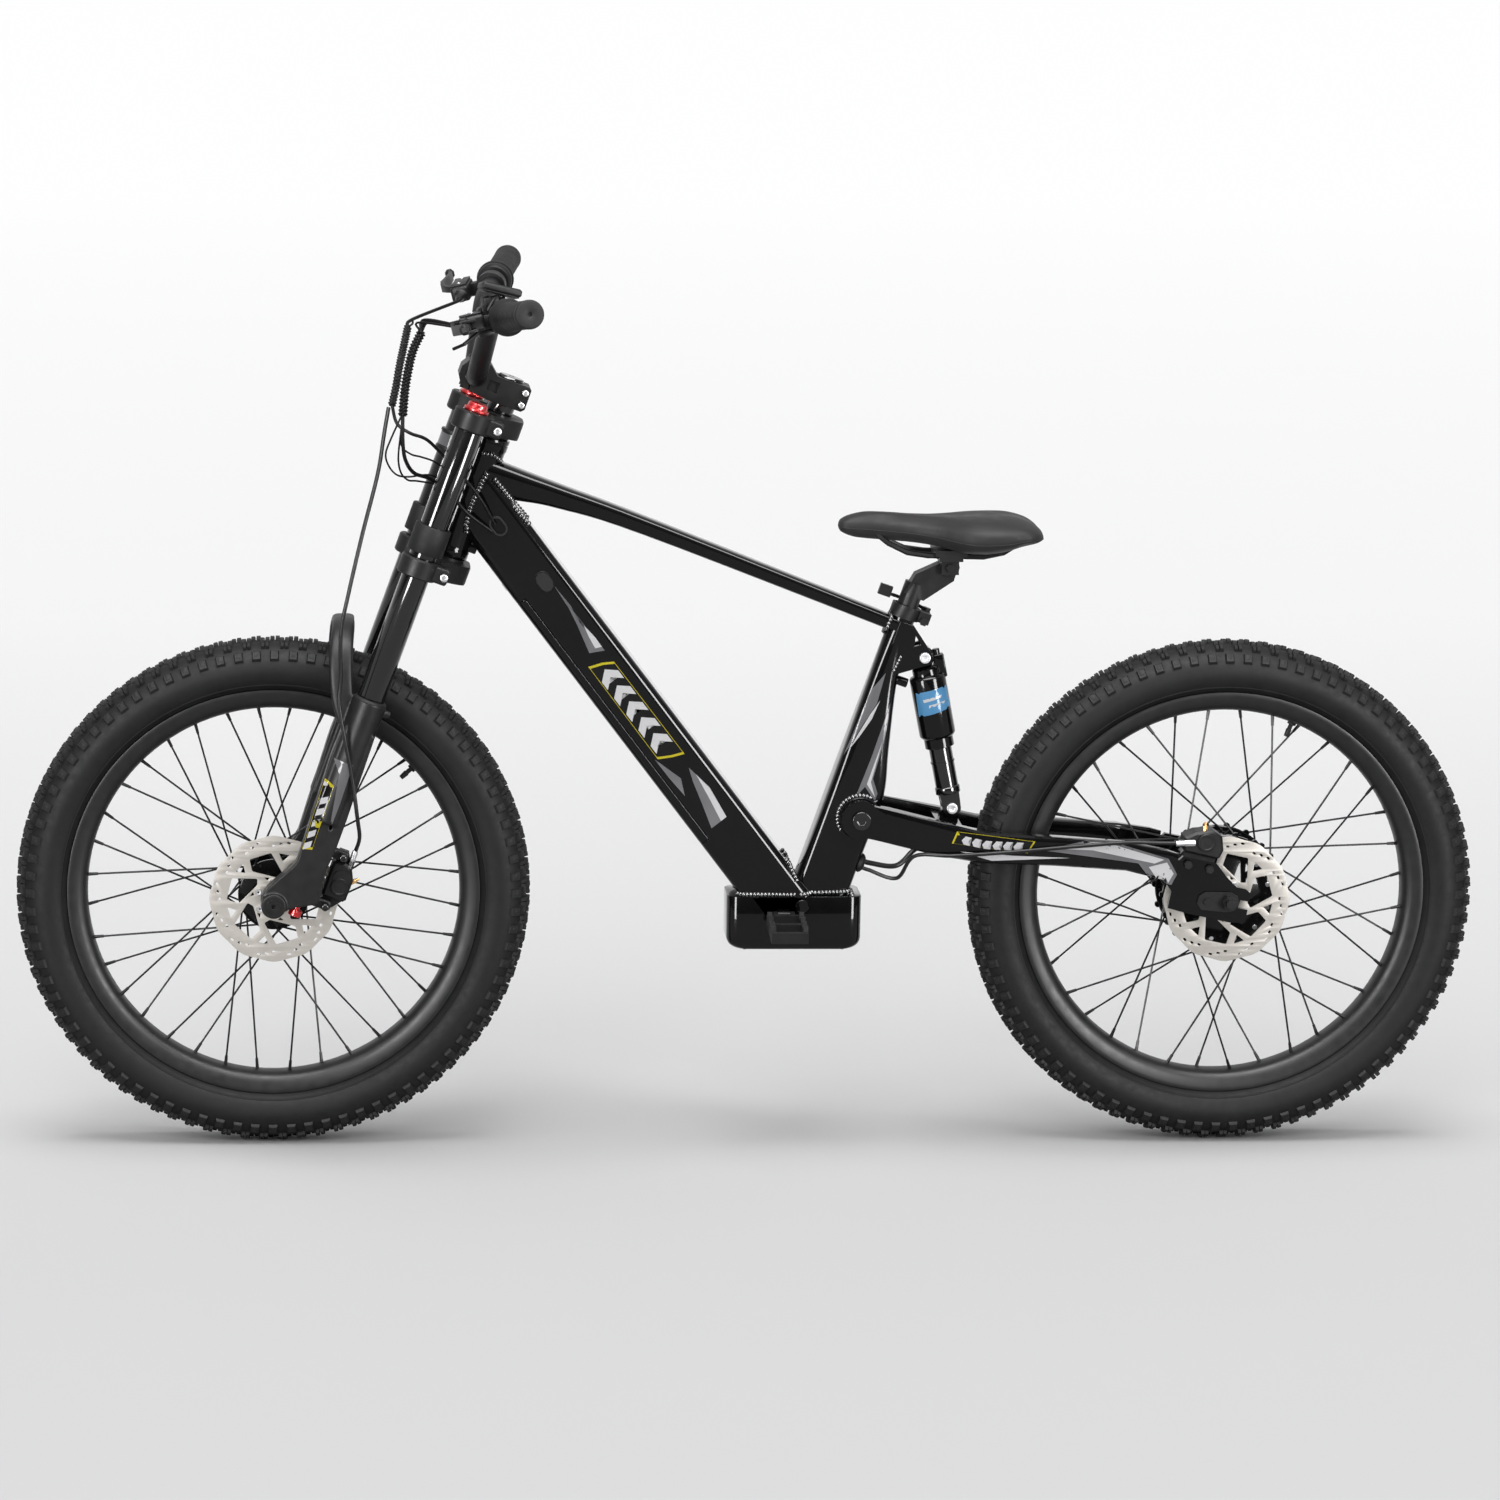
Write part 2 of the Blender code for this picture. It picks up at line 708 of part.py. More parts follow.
def polar(radius, angle, y=0.0):
    """A point about the wheel's axle."""
    return Vector((radius * math.cos(angle), y, radius * math.sin(angle)))


def tube_mesh(valve_angle):
    """The air tube inside the tyre, with the valve that stands through the rim."""
    half, crown = TYRE_WIDTH / 2 - TYRE_WALL, TYRE_OD / 2 - KNOB_HEIGHT - TYRE_WALL - LINER_STEP
    seat = RIM_OD / 2 - BEAD_DEPTH
    foot = RIM_WIDTH / 2 - RIM_HOOK - TYRE_WALL
    widest = (RIM_OD + TYRE_OD) / 4 - TYRE_BELLY_DROP
    clear = 0.0012
    right = [
        (foot - 2 * clear, seat + clear), (half - clear, widest),
        (half + TYRE_WALL - LINER_CROWN_INSET - clear, crown - clear)
    ]
    section = right + [(-y, r) for y, r in right[::-1]]
    ring = wheel_ring(section, KNOB_PITCHES, phase_of_wheel())
    tip = RIM_OD / 2 - RIM_DEPTH - VALVE_REACH
    direction = polar(1.0, valve_angle)
    valve = rod(direction * (seat + 4 * clear), direction * tip, VALVE_DIAMETER / 2, 8)
    return fused(ring, valve)


def phase_of_wheel():
    """The angle of the rim's and the air tube's corners, which lie under the tyre's own."""
    pitch = math.tau / KNOB_PITCHES
    return -math.pi / 2 - 0.05 * pitch


def rim_mesh(valve_angle):
    """A hooked rim with its valve hole."""
    outer, half = RIM_OD / 2, RIM_WIDTH / 2
    inner = outer - RIM_DEPTH
    right = [(half, outer), (half * RIM_FLOOR_SHARE, inner)]
    channel = [(half - RIM_HOOK, outer - BEAD_DEPTH), (half - RIM_HOOK, outer)]
    section = right + [(-y, r) for y, r in right[::-1]] + [(-y, r) for y, r in channel[::-1]] + channel
    ring = wheel_ring(section, KNOB_PITCHES, phase_of_wheel())
    direction = polar(1.0, valve_angle)
    past = 0.01
    valve_hole = rod(
        direction * (inner - past), direction * (outer + past), VALVE_DIAMETER / 2 + SLIDE_GAP, 8
    )
    return cut(ring, valve_hole)


def spokes_mesh(hole_radius, crossings):
    """Laced spokes: on each side they lean forward and back in turn, at two depths, so that none touch."""
    end = (RIM_OD / 2 - RIM_DEPTH) * math.cos(math.pi / KNOB_PITCHES) - 2 * GAP
    step = math.tau / SPOKES_PER_SIDE
    bars = []
    for side in (1, -1):
        for k in range(SPOKES_PER_SIDE):
            lean = 1 if k % 2 else -1
            depth = lean * FLANGE_THICKNESS * 0.28
            hub_angle = (k + 0.25 * side) * step
            rim_angle = hub_angle - lean * crossings * step
            start = polar(hole_radius, hub_angle, side * FLANGE_Y + depth)
            finish = polar(end, rim_angle, side * SPOKE_RIM_SPREAD + depth)
            bars.append(rod(start, finish, SPOKE_DIAMETER / 2, 3))
    return gathered(bars)


def front_hub_mesh():
    """Hub shell with spoke flanges, disc seat and laced spokes."""
    bore = AXLE_DIAMETER / 2 + GAP
    end, flange = FRONT_HUB_WIDTH / 2, FRONT_FLANGE_OD / 2
    seat = ROTOR_Y + ROTOR_THICKNESS / 2 + GAP
    inner, outer = FLANGE_Y - FLANGE_THICKNESS / 2, FLANGE_Y + FLANGE_THICKNESS / 2
    profile = [
        (bore, -end), (DISC_SEAT_RADIUS, -end), (DISC_SEAT_RADIUS, seat), (0.024, seat), (0.020, -outer),
        (flange, -outer), (flange, -inner), (0.020, -inner + 0.005),
        (0.020, inner - 0.005), (flange, inner),
        (flange, outer), (0.013, end), (bore, end),
    ]
    shell = turned(profile, 12, ring=True, axis="Y")
    return fused(shell, spokes_mesh(flange - SPOKE_HOLE_INSET, 3))


def motor_hub_mesh():
    """Hub motor: drum, spoke flanges, domed covers, disc seat and laced spokes."""
    bore = AXLE_DIAMETER / 2 + GAP
    end, flange = REAR_HUB_WIDTH / 2, MOTOR_OD / 2
    seat = ROTOR_Y + ROTOR_THICKNESS / 2 + GAP
    inner, outer = FLANGE_Y - FLANGE_THICKNESS / 2, FLANGE_Y + FLANGE_THICKNESS / 2
    profile = [
        (bore, -end), (DISC_SEAT_RADIUS, -end), (DISC_SEAT_RADIUS, seat),
        (0.024, seat), (0.026, seat + 0.007), (flange - 0.014, -outer - 0.005),
        (flange, -outer), (flange, -inner), (flange - 0.008, -inner), (flange - 0.008, inner),
        (flange, inner), (flange, outer), (flange - 0.014, outer + 0.009), (0.026, outer + 0.016),
        (0.015, end), (bore, end),
    ]
    shell = turned(profile, 16, ring=True, axis="Y")
    return fused(shell, spokes_mesh(flange - SPOKE_HOLE_INSET, 2))


def rotor_mesh(turn):
    """Brake disc: a waved edge, six arms, five-sided windows and a small three-sided one in each arm."""
    radius = ROTOR_OD / 2
    waves, per_wave = 2 * ROTOR_ARMS, 2
    outline = []
    for i in range(waves * per_wave):
        angle = math.tau * i / (waves * per_wave)
        wave = radius - ROTOR_WAVE * (1 - math.cos(waves * angle))
        outline.append((wave * math.cos(angle), wave * math.sin(angle)))
    low, high = ROTOR_Y - ROTOR_THICKNESS / 2, ROTOR_Y + ROTOR_THICKNESS / 2
    disc = side_plate(outline, low, high)
    past_low, past_high = low - 0.01, high + 0.01
    window = [(0.363, -0.10), (0.513, -0.36), (0.756, -0.30), (0.750, 0.32)]
    peak = [(0.600, 0.02), (0.756, -0.115), (0.756, 0.115)]

    def opening(shape, middle):
        outline = [(r * radius * math.cos(middle + a), r * radius * math.sin(middle + a)) for r, a in shape]
        return side_plate(outline, past_low, past_high)

    holes = [hole(DISC_SEAT_RADIUS, past_low, past_high)]
    for arm in range(ROTOR_ARMS):
        middle = math.tau * (arm + 0.5) / ROTOR_ARMS + turn
        holes.append(opening(window, middle))
        holes.append(opening(peak, middle + math.pi / ROTOR_ARMS))
    return cut(disc, gathered(holes))


def build_wheel(prefix, axle_point, valve_angle, hub_name, hub, hub_finish):
    """One wheel: tyre, air tube, rim, hub with spokes, and brake disc."""
    carrier = body(prefix + "_wheel_axis", Matrix.Translation(axle_point))
    piece(prefix + "_tyre", tyre_mesh(), "rubber", carrier, smooth=math.radians(25))
    piece(prefix + "_inner_tube", tube_mesh(valve_angle), "rubber", carrier)
    piece(prefix + "_rim", rim_mesh(valve_angle), "satin_black", carrier)
    piece(hub_name, hub, hub_finish, carrier)
    piece(prefix + "_brake_disc", rotor_mesh(ROTOR_TURN), "disc_steel", carrier)


# Frame body, in world places


def seat_tube_mesh():
    """A wide box section at its foot that narrows to the round tube at its top."""
    front = SEAT_TUBE_OD / 2
    deep, wide = SEAT_TUBE_FOOT_DEPTH, SEAT_TUBE_FOOT_WIDTH
    top = SEAT_TUBE_LENGTH
    round_from = top - 0.038
    stations = [
        (-0.018, deep, wide, 5),
        (top - 0.238, deep, wide, 5),
        (top - 0.178, 0.79 * deep, 0.89 * wide, 4.5),
        (top - 0.098, 0.53 * deep, 0.70 * wide, 3),
        (round_from, SEAT_TUBE_OD, SEAT_TUBE_OD, 2),
    ]
    sections = []
    for height, depth, width, power in stations:
        outline = squircle(depth, width, power, 12, (depth / 2 - front, 0))
        sections.append([(x, y, height) for x, y in outline])
    round_end = drum(SEAT_TUBE_OD / 2, round_from - 0.005, top, 14, "Z")
    return placed(fused(loft(sections), round_end), SEAT_TUBE)


def down_tube_section(width, depth, height):
    return [(x, y, height) for x, y in rounded_box_outline(depth, width, DOWN_TUBE_CORNER, 2)]


def down_tube_mesh():
    """The big box-section tube, drawn in to the head tube at its top."""
    end = DOWN_TUBE_LENGTH - 0.012
    stations = [(-0.030, DOWN_TUBE_WIDTH), (end - DOWN_TUBE_TAPER, DOWN_TUBE_WIDTH), (end, DOWN_TUBE_NECK)]
    sections = [down_tube_section(width, DOWN_TUBE_DEPTH, height) for height, width in stations]
    return placed(loft(sections), DOWN_TUBE)


def top_tube_mesh():
    """The sloping tube that deepens into a gusset at the head tube."""
    rear = SEAT_TUBE @ Vector((0, 0, SEAT_TUBE_LENGTH - TOP_TUBE_SEAT_BELOW))
    front = FORK @ Vector((0.010, 0, HEAD_TUBE_FOOT + TOP_TUBE_HEAD_ABOVE))
    run = front - rear
    along = leaning(rear, math.atan2(-run.z, run.x) + math.pi)
    length = run.length
    stations = [
        (0.0, 0.0, 1.0, 0.0), (0.62, 0.13, 1.12, 0.006),
        (0.82, 0.35, 1.22, 0.003), (0.91, 0.62, 1.32, -0.001),
        (1.0, 1.0, TOP_TUBE_HEAD_WIDTH / TOP_TUBE_WIDTH, -0.006),
    ]
    sections = []
    for share, growth, widen, rise in stations:
        depth = TOP_TUBE_DEPTH + growth * (TOP_TUBE_HEAD_DEPTH - TOP_TUBE_DEPTH)
        outline = squircle(TOP_TUBE_WIDTH * widen, depth, 4, 12)
        sections.append([(-share * length, y, z + rise) for y, z in outline])
    return placed(loft(sections), along)


def bottom_box_mesh():
    """The controller housing under both tubes, rounded in plan and along its lower edges."""
    plan = prism(rounded_box_outline(BOX_LENGTH, BOX_WIDTH, BOX_PLAN_CORNER, 4), 0, BOX_HEIGHT)
    half, corner = BOX_LENGTH / 2, BOX_CORNER
    side = [(half, BOX_HEIGHT + EMBED), (-half, BOX_HEIGHT + EMBED)]
    side += circle(corner, 4, (-half + corner, corner), math.pi, math.pi / 2)
    side += circle(corner, 4, (half - corner, corner), -math.pi / 2, math.pi / 2)
    solid = shared(plan, side_plate(side, -BOX_WIDTH, BOX_WIDTH))
    return placed(solid, Matrix.Translation((BOX_CENTRE_X, 0, BOX_TOP - BOX_HEIGHT)))


def box_opening(inset, low, high):
    """A block inside the housing, drawn in from the flat of its floor by an inset."""
    length = BOX_LENGTH - 2 * (BOX_CORNER + inset)
    width = BOX_WIDTH - 2 * (BOX_WALL + inset)
    centre = (BOX_CENTRE_X, 0, (low + high) / 2)
    return block((length, width, high - low), centre)


def head_tube_mesh():
    """Head tube with a bearing cup at each end, still solid."""
    tube, cup = HEAD_TUBE_OD / 2, CUP_OD / 2
    foot, top = HEAD_TUBE_FOOT, HEAD_TUBE_TOP
    low_end = LOWER_CROWN_HEIGHT + CROWN_THICKNESS + CROWN_COLLAR + GAP
    high_end = UPPER_CROWN_HEIGHT - CROWN_COLLAR - GAP
    profile = [(cup, low_end), (cup, foot), (tube, foot), (tube, top), (cup, top), (cup, high_end)]
    return placed(turned(profile, 16), FORK)


def main_frame_mesh():
    """All welded tubes and brackets, less the room for what they hold."""
    head = head_tube_mesh()
    pivot_shell = drum(PIVOT_SHELL_OD / 2, -PIVOT_SHELL_WIDTH / 2, PIVOT_SHELL_WIDTH / 2, 14, centre=PIVOT)
    pieces = [down_tube_mesh(), seat_tube_mesh(), top_tube_mesh(), bottom_box_mesh(), pivot_shell]
    pieces += shock_bracket_meshes() + peg_lug_meshes()
    pieces += [charge_port_mesh(), cable_port_mesh(), rear_grommet_mesh()]
    steering_stop = block((0.014, 0.020, 0.010), (0.026, 0, HEAD_TUBE_FOOT + 0.006))
    pieces.append(placed(steering_stop, FORK))
    frame = fused(head, *pieces)

    steerer = hole(STEERER_OD / 2, LOWER_CROWN_HEIGHT, CROWN_TOP, 14, "Z")
    post = hole(
        SEATPOST_OD / 2, SEAT_TUBE_LENGTH - SEATPOST_INSIDE - EMBED, SEAT_TUBE_LENGTH + EMBED, 14, "Z"
    )
    cavity = box_opening(2 * LID_LEDGE, BOX_TOP - BOX_HEIGHT - EMBED, BOX_TOP - BOX_WALL)
    recess = box_opening(LID_LEDGE, BOX_TOP - BOX_HEIGHT - EMBED, BOX_TOP - BOX_HEIGHT + LID_THICKNESS)
    pivot = hole(PIVOT_AXLE_OD / 2, -0.05, 0.05, centre=PIVOT)
    cutters = [placed(steerer, FORK), placed(post, SEAT_TUBE), cavity, recess, pivot]
    cutters += battery_channel_meshes() + lock_hole_meshes()
    cutters.append(hole(SHOCK_BOLT_OD / 2, -0.03, 0.03, 12, centre=SHOCK_TOP_EYE))
    return cut(frame, *cutters)


def battery_channel_meshes():
    """Room in the down tube for the battery, and the step that its cover closes."""
    low, high = COVER_FOOT, DOWN_TUBE_LENGTH - COVER_HEAD
    half = DOWN_TUBE_DEPTH / 2
    seam = -half + COVER_LIP
    step = block(
        (COVER_LIP + EMBED, DOWN_TUBE_WIDTH + 0.01, high - low),
        (seam - (COVER_LIP + EMBED) / 2, 0, (low + high) / 2)
    )
    roof = half - DOWN_TUBE_WALL
    room_width = DOWN_TUBE_WIDTH - 2 * DOWN_TUBE_WALL
    below = -half - 0.010
    room = block(
        (roof - below, room_width, high - low - 2 * EMBED), ((roof + below) / 2, 0, (low + high) / 2),
        0.006
    )
    return [placed(step, DOWN_TUBE), placed(room, DOWN_TUBE)]


def battery_cover_mesh():
    """A tray that closes the lower side of the down tube, flush with its outside."""
    low, high = COVER_FOOT + GAP, DOWN_TUBE_LENGTH - COVER_HEAD - GAP
    half = DOWN_TUBE_DEPTH / 2
    seam = -half + COVER_LIP - GAP
    outside = [
        (-half, -DOWN_TUBE_WIDTH / 2 + DOWN_TUBE_CORNER),
        (-half + DOWN_TUBE_CORNER, -DOWN_TUBE_WIDTH / 2), (seam, -DOWN_TUBE_WIDTH / 2)
    ]
    tray = prism(outside + [(x, -y) for x, y in outside[::-1]], low, high)
    inner_width = DOWN_TUBE_WIDTH - 2 * COVER_WALL
    hollow = block(
        (2 * COVER_LIP, inner_width, high - low - 2 * COVER_WALL),
        (-half + COVER_WALL + COVER_LIP, 0, (low + high) / 2), 0.0065
    )
    handle = block((0.004, 0.030, 0.060), (-half, 0, (low + high) / 2 + 0.10), 0.0015)
    return cut(tray, hollow, handle)


def battery_mesh():
    """Battery pack with a chamfered case and grooves down its sides."""
    low, high = COVER_FOOT + COVER_WALL + 3 * GAP, DOWN_TUBE_LENGTH - COVER_HEAD - COVER_WALL - 3 * GAP
    half = DOWN_TUBE_DEPTH / 2
    top = half - DOWN_TUBE_WALL - GAP
    floor = -half + COVER_WALL + 0.0045
    width = DOWN_TUBE_WIDTH - 2 * DOWN_TUBE_WALL - 2 * GAP
    middle = (top + floor) / 2
    case = block((top - floor, width, high - low), (middle, 0, (low + high) / 2), 0.008)
    grooves = []
    for share in (0.25, 0.5, 0.75):
        for side in (1, -1):
            place = (middle, side * width / 2, low + share * (high - low))
            grooves.append(block((top - floor - 0.020, 0.003, 0.003), place))
    return cut(case, *grooves)


def controller_mesh():
    """Motor controller with cooling ribs under its case."""
    low, high = BOX_TOP - BOX_HEIGHT + LID_THICKNESS + 0.006, BOX_TOP - BOX_WALL - GAP
    case = box_opening(2 * LID_LEDGE + GAP, low, high)
    width = BOX_WIDTH
    ribs = [block((0.004, width, 0.010), (BOX_CENTRE_X + step * 0.012, 0, low)) for step in range(-4, 5)]
    return cut(case, *ribs)


def lid_mesh():
    """Controller lid with its screw heads."""
    low, high = BOX_TOP - BOX_HEIGHT, BOX_TOP - BOX_HEIGHT + LID_THICKNESS - GAP
    plate = box_opening(LID_LEDGE + GAP, low, high)
    reach_x = BOX_LENGTH / 2 - BOX_CORNER - LID_LEDGE - 0.006
    reach_y = BOX_WIDTH / 2 - BOX_WALL - LID_LEDGE - 0.006
    screws = [
        drum(0.003, low - 0.0015, low + 0.001, 6, "Z", (BOX_CENTRE_X + sx * reach_x, sy * reach_y, 0))
        for sx in (1, -1) for sy in (1, -1)
    ]
    return fused(plate, *screws)


def shock_bracket_meshes():
    """Two plates on the back of the seat tube, each with a small window, and the nub below them."""
    eye = SEAT_TUBE.inverted() @ SHOCK_TOP_EYE
    inner = SHOCK_EYE_WIDTH / 2 + GAP
    plates = []
    for side in (1, -1):
        outline = [(-0.004, eye.z - 0.034), (0.012, eye.z - 0.034), (eye.x + 0.002, eye.z - 0.0115)]
        outline += circle(0.0105, 6, (eye.x, eye.z), -math.radians(70), math.radians(130))
        outline += [(0.014, eye.z + 0.034), (-0.004, eye.z + 0.034)]
        plate = side_plate(outline, *sorted((side * inner, side * (inner + EAR_THICKNESS))))
        window = [(0.024, eye.z + 0.009), (0.031, eye.z + 0.014), (0.021, eye.z + 0.023)]
        cutter = side_plate(window, *sorted((side * (inner - 0.01), side * (inner + 0.02))))
        plates.append(placed(cut(plate, cutter), SEAT_TUBE))
    nub = drum(0.006, 0.010, 0.034, 10, "X", (0, 0, eye.z - 0.040))
    return plates + [placed(nub, SEAT_TUBE)]


def peg_hinge(side):
    return Vector((PEG_X, side * (BOX_WIDTH / 2 + PEG_HINGE_OUT), PEG_Z))


def peg_knuckle(radius, reach, half_height):
    """An outline with a round end about the pin that reaches along Y."""
    turn = math.pi / 2 if reach > 0 else -math.pi / 2
    return circle(radius, 6, (0, 0), turn, math.pi) + [
        (reach, -math.copysign(half_height, reach)), (reach, math.copysign(half_height, reach))
    ]


def peg_lug_meshes():
    """A lug with a pin hole on each side of the housing, and the bolt boss above it."""
    lugs = []
    for side in (1, -1):
        hinge = peg_hinge(side)
        outline = peg_knuckle(0.008, -side * (PEG_HINGE_OUT + 0.008), 0.008)
        lug = end_plate(outline, -PEG_LUG_WIDTH / 2, PEG_LUG_WIDTH / 2)
        lug = cut(lug, hole(PEG_PIN_OD / 2, -0.05, 0.05, 8, "X"))
        lugs.append(placed(lug, Matrix.Translation(hinge)))
        ends = sorted((side * 0.030, side * 0.0430))
        lugs.append(drum(0.0085, *ends, 8, centre=(PEG_X + 0.024, 0, PEG_Z + 0.012)))
    return lugs


def peg_mesh(side):
    """Folding foot peg: clevis, pin and a toothed open platform that dips to the outside."""
    cheek_gap = PEG_LUG_WIDTH / 2 + GAP
    cheeks = []
    for end in (1, -1):
        low, high = sorted((end * cheek_gap, end * (cheek_gap + 0.005)))
        cheeks.append(end_plate(peg_knuckle(0.0075, side * 0.016, 0.0058), low, high))
    pin = drum(PEG_PIN_OD / 2, -cheek_gap - 0.007, cheek_gap + 0.007, 8, "X")
    neck = block((2 * cheek_gap + 0.008, 0.008, 0.013), (0, side * 0.0150, 0))
    start, end = 0.015, PEG_LENGTH
    half, wall = PEG_WIDTH / 2, 0.006
    bars = [
        block((wall, end - start, 0.014), (sx * (half - wall / 2), side * (start + end) / 2, 0))
        for sx in (1, -1)
    ]
    rungs = [
        block((PEG_WIDTH, wall, 0.014), (0, side * (start + wall / 2 + k * (end - start - wall) / 2), 0))
        for k in range(3)
    ]
    teeth = []
    count = 4
    for sx in (1, -1):
        for k in range(count):
            centre = start + 0.010 + k * (end - start - 0.020) / (count - 1)
            tooth = [(-0.004, 0), (0.004, 0), (0.0016, 0.007), (-0.0016, 0.007)]
            shape = prism([(y, z) for y, z in tooth], -0.003, 0.003)
            shape.transform(Matrix(((0, 0, 1, 0), (1, 0, 0, 0), (0, 1, 0, 0), (0, 0, 0, 1))))
            teeth.append(placed(shape, Matrix.Translation((sx * (half - wall / 2), side * centre, 0.0065))))
    platform = fused(neck, *(bars + rungs + teeth))
    to_root = Matrix.Translation((0, side * 0.0150, 0))
    platform.transform(to_root @ Matrix.Rotation(-side * PEG_DROOP, 4, "X") @ to_root.inverted())
    return fused(platform, *cheeks, pin)


def charge_port_place():
    """On the near side of the down tube, below the head: its own Z points out of the tube."""
    out = Matrix.Rotation(math.pi / 2, 4, "X")
    return DOWN_TUBE @ Matrix.Translation((0.008, -DOWN_TUBE_WIDTH / 2, DOWN_TUBE_LENGTH - 0.142)) @ out


def oval(length, width, low, high, count=10):
    """A round-ended plate: its length lies along Y."""
    offset = (length - width) / 2
    outline = circle(width / 2, count // 2, (0, offset), 0, math.pi)
    outline += circle(width / 2, count // 2, (0, -offset), math.pi, math.pi)
    return prism(outline, low, high)


def charge_port_mesh():
    ring = cut(oval(0.029, 0.019, -0.004, 0.0022), oval(0.022, 0.012, 0.0002, 0.01))
    pivot = drum(0.0032, -0.006, 0.006, 8, "X", (0, -0.0165, 0.0010))
    return placed(fused(ring, pivot), charge_port_place())


def charge_cover_mesh():
    """The port's flap, turning about a pin along its lower edge."""
    flap = oval(0.027, 0.017, 0.0022 + GAP, 0.0047)
    plug = oval(0.0212, 0.0112, 0.0012, 0.003)
    return fused(flap, plug)


def cable_port_place():
    out = Matrix.Rotation(math.pi / 2, 4, "X")
    return DOWN_TUBE @ Matrix.Translation((0.004, -0.027, DOWN_TUBE_LENGTH - 0.052)) @ out


def cable_port_mesh():
    """The grommet that the cables go into, on the near side at the head."""
    return placed(oval(0.026, 0.018, -0.006, 0.010), cable_port_place())


def rear_grommet_mesh():
    """The grommet at the back of the seat tube's foot, for the rear brake hose and the motor cable."""
    surface = SEAT_TUBE_FOOT_DEPTH - SEAT_TUBE_OD / 2
    return placed(
        drum(0.010, surface - 0.012, surface + 0.006, 12, "X", (0, GROMMET_Y, GROMMET_HEIGHT)),
        SEAT_TUBE
    )


def lock_hole_meshes():
    """A pocket for the lock barrel, under the down tube above the battery cover."""
    return [placed(hole(LOCK_OD / 2, -0.014, 0.02, 12, "Z"), lock_place())]


def lock_place():
    """Under the down tube: its own Z points out of the tube."""
    out = Matrix.Rotation(-math.pi / 2, 4, "Y")
    return DOWN_TUBE @ Matrix.Translation(
        (-DOWN_TUBE_DEPTH / 2, 0, DOWN_TUBE_LENGTH - COVER_HEAD + 0.022)
    ) @ out


def lock_mesh():
    """Lock barrel with its key slot."""
    barrel = turned([(LOCK_OD / 2, -0.0135), (LOCK_OD / 2, 0.001), (LOCK_OD / 2 - 0.001, 0.002)], 12)
    return cut(barrel, block((0.0018, 0.007, 0.006), (0, 0, 0.002)))


# Seat clamp, seatpost and saddle


def clamp_mesh():
    """Split collar at the top of the seat tube, with an eye for the lever's pin at its back."""
    low, high = SEAT_TUBE_LENGTH - CLAMP_HEIGHT, SEAT_TUBE_LENGTH
    bore = (SEAT_TUBE_OD / 2 + GAP) / math.cos(math.pi / 14)
    ring = turned([(bore, low), (CLAMP_OD / 2, low), (CLAMP_OD / 2, high), (bore, high)], 14, ring=True)
    lug = block((0.015, 0.020, CLAMP_HEIGHT - 0.002), (0.0245, 0, (low + high) / 2))
    slit = block((0.030, 0.0015, 0.03), (0.0250, -0.002, (low + high) / 2))
    bolt_place = (0.0250, 0, (low + high) / 2 - 0.004)
    bolt = drum(0.0028, -0.0135, 0.0100, 6, "Y", bolt_place)
    head = drum(0.0055, -0.0135, -0.0095, 6, "Y", bolt_place)
    tube_room = drum(SEAT_TUBE_OD / 2 + GAP, low - 0.01, high + 0.01, 12, "Z")
    collar = fused(cut(ring, slit), cut(lug, slit, tube_room), bolt, head)
    arm = block((0.008, 0.012, 0.0065), (0.0275, 0.0130, high - 0.0045))
    eye = drum(0.0062, high - 0.0077, high - 0.0012, 12, "Z", (0.0275, 0.0200, 0))
    return cut(
        fused(collar, arm, eye), hole(0.0025, high - 0.02, high + 0.01, 12, "Z", (0.0275, 0.0200, 0))
    )


def clamp_lever_mesh():
    """Curved lever that lies round the far side of the collar; its origin is on its pin."""
    pin = drum(0.0025, -0.0100, 0.0010, 10, "Z")
    lip = drum(0.0058, -0.0012 + GAP, 0.0030, 12, "Z")
    foot = drum(0.0045, -0.0100, -0.0077 - GAP, 10, "Z")
    centre = Vector((-0.0275, -0.0200, 0))
    path = []
    for step in range(6):
        angle = math.radians(38 + step * 25)
        path.append(
            centre + Vector((0.0290 * math.cos(angle), 0.0290 * math.sin(angle), 0.0010 + 0.0008 * step))
        )
    path = [Vector((0.001, 0.002, 0.0010))] + path
    arm = ribbon(path, 0.0040, 0.0042, (0, 0, 1))
    tip = path[-1]
    pad = block((0.016, 0.008, 0.014), tip + Vector((-0.004, 0.0, 0.003)))
    grooves = [
        block((0.0015, 0.02, 0.02), tip + Vector((-0.0080 + 0.0040 * k, 0.0118, 0.003)))
        for k in range(3)
    ]
    return fused(arm, pin, lip, foot, cut(pad, *grooves))


def seatpost_mesh():
    """Seatpost: a round tube with a set-back head that ends in a round cradle."""
    foot = SEAT_TUBE_LENGTH - SEATPOST_INSIDE
    post = drum(SEATPOST_OD / 2, foot, SEAT_TUBE_LENGTH + 0.030, 14, "Z")
    inner = drum(SEATPOST_OD / 2 - 0.003, foot - EMBED, foot + 0.12, 12, "Z")
    post = placed(cut(post, inner), SEAT_TUBE)
    top = SEAT_TUBE @ Vector((0, 0, SEAT_TUBE_LENGTH + 0.014))
    hinge = SADDLE_HINGE
    outline = [
        (top.x - 0.010, top.z + 0.004), (top.x + 0.014, top.z - 0.006),
        (hinge.x + 0.006, hinge.z - 0.018), (hinge.x + 0.010, hinge.z - 0.004),
        (hinge.x - 0.004, hinge.z + 0.008), (top.x + 0.004, top.z + 0.028),
    ]
    head = side_plate(outline, -0.0115, 0.0115)
    cradle = drum(CRADLE_OD / 2, -0.0160, 0.0160, 14, centre=hinge)
    return cut(fused(post, head, cradle), hole(0.003, -0.03, 0.03, 12, centre=hinge))


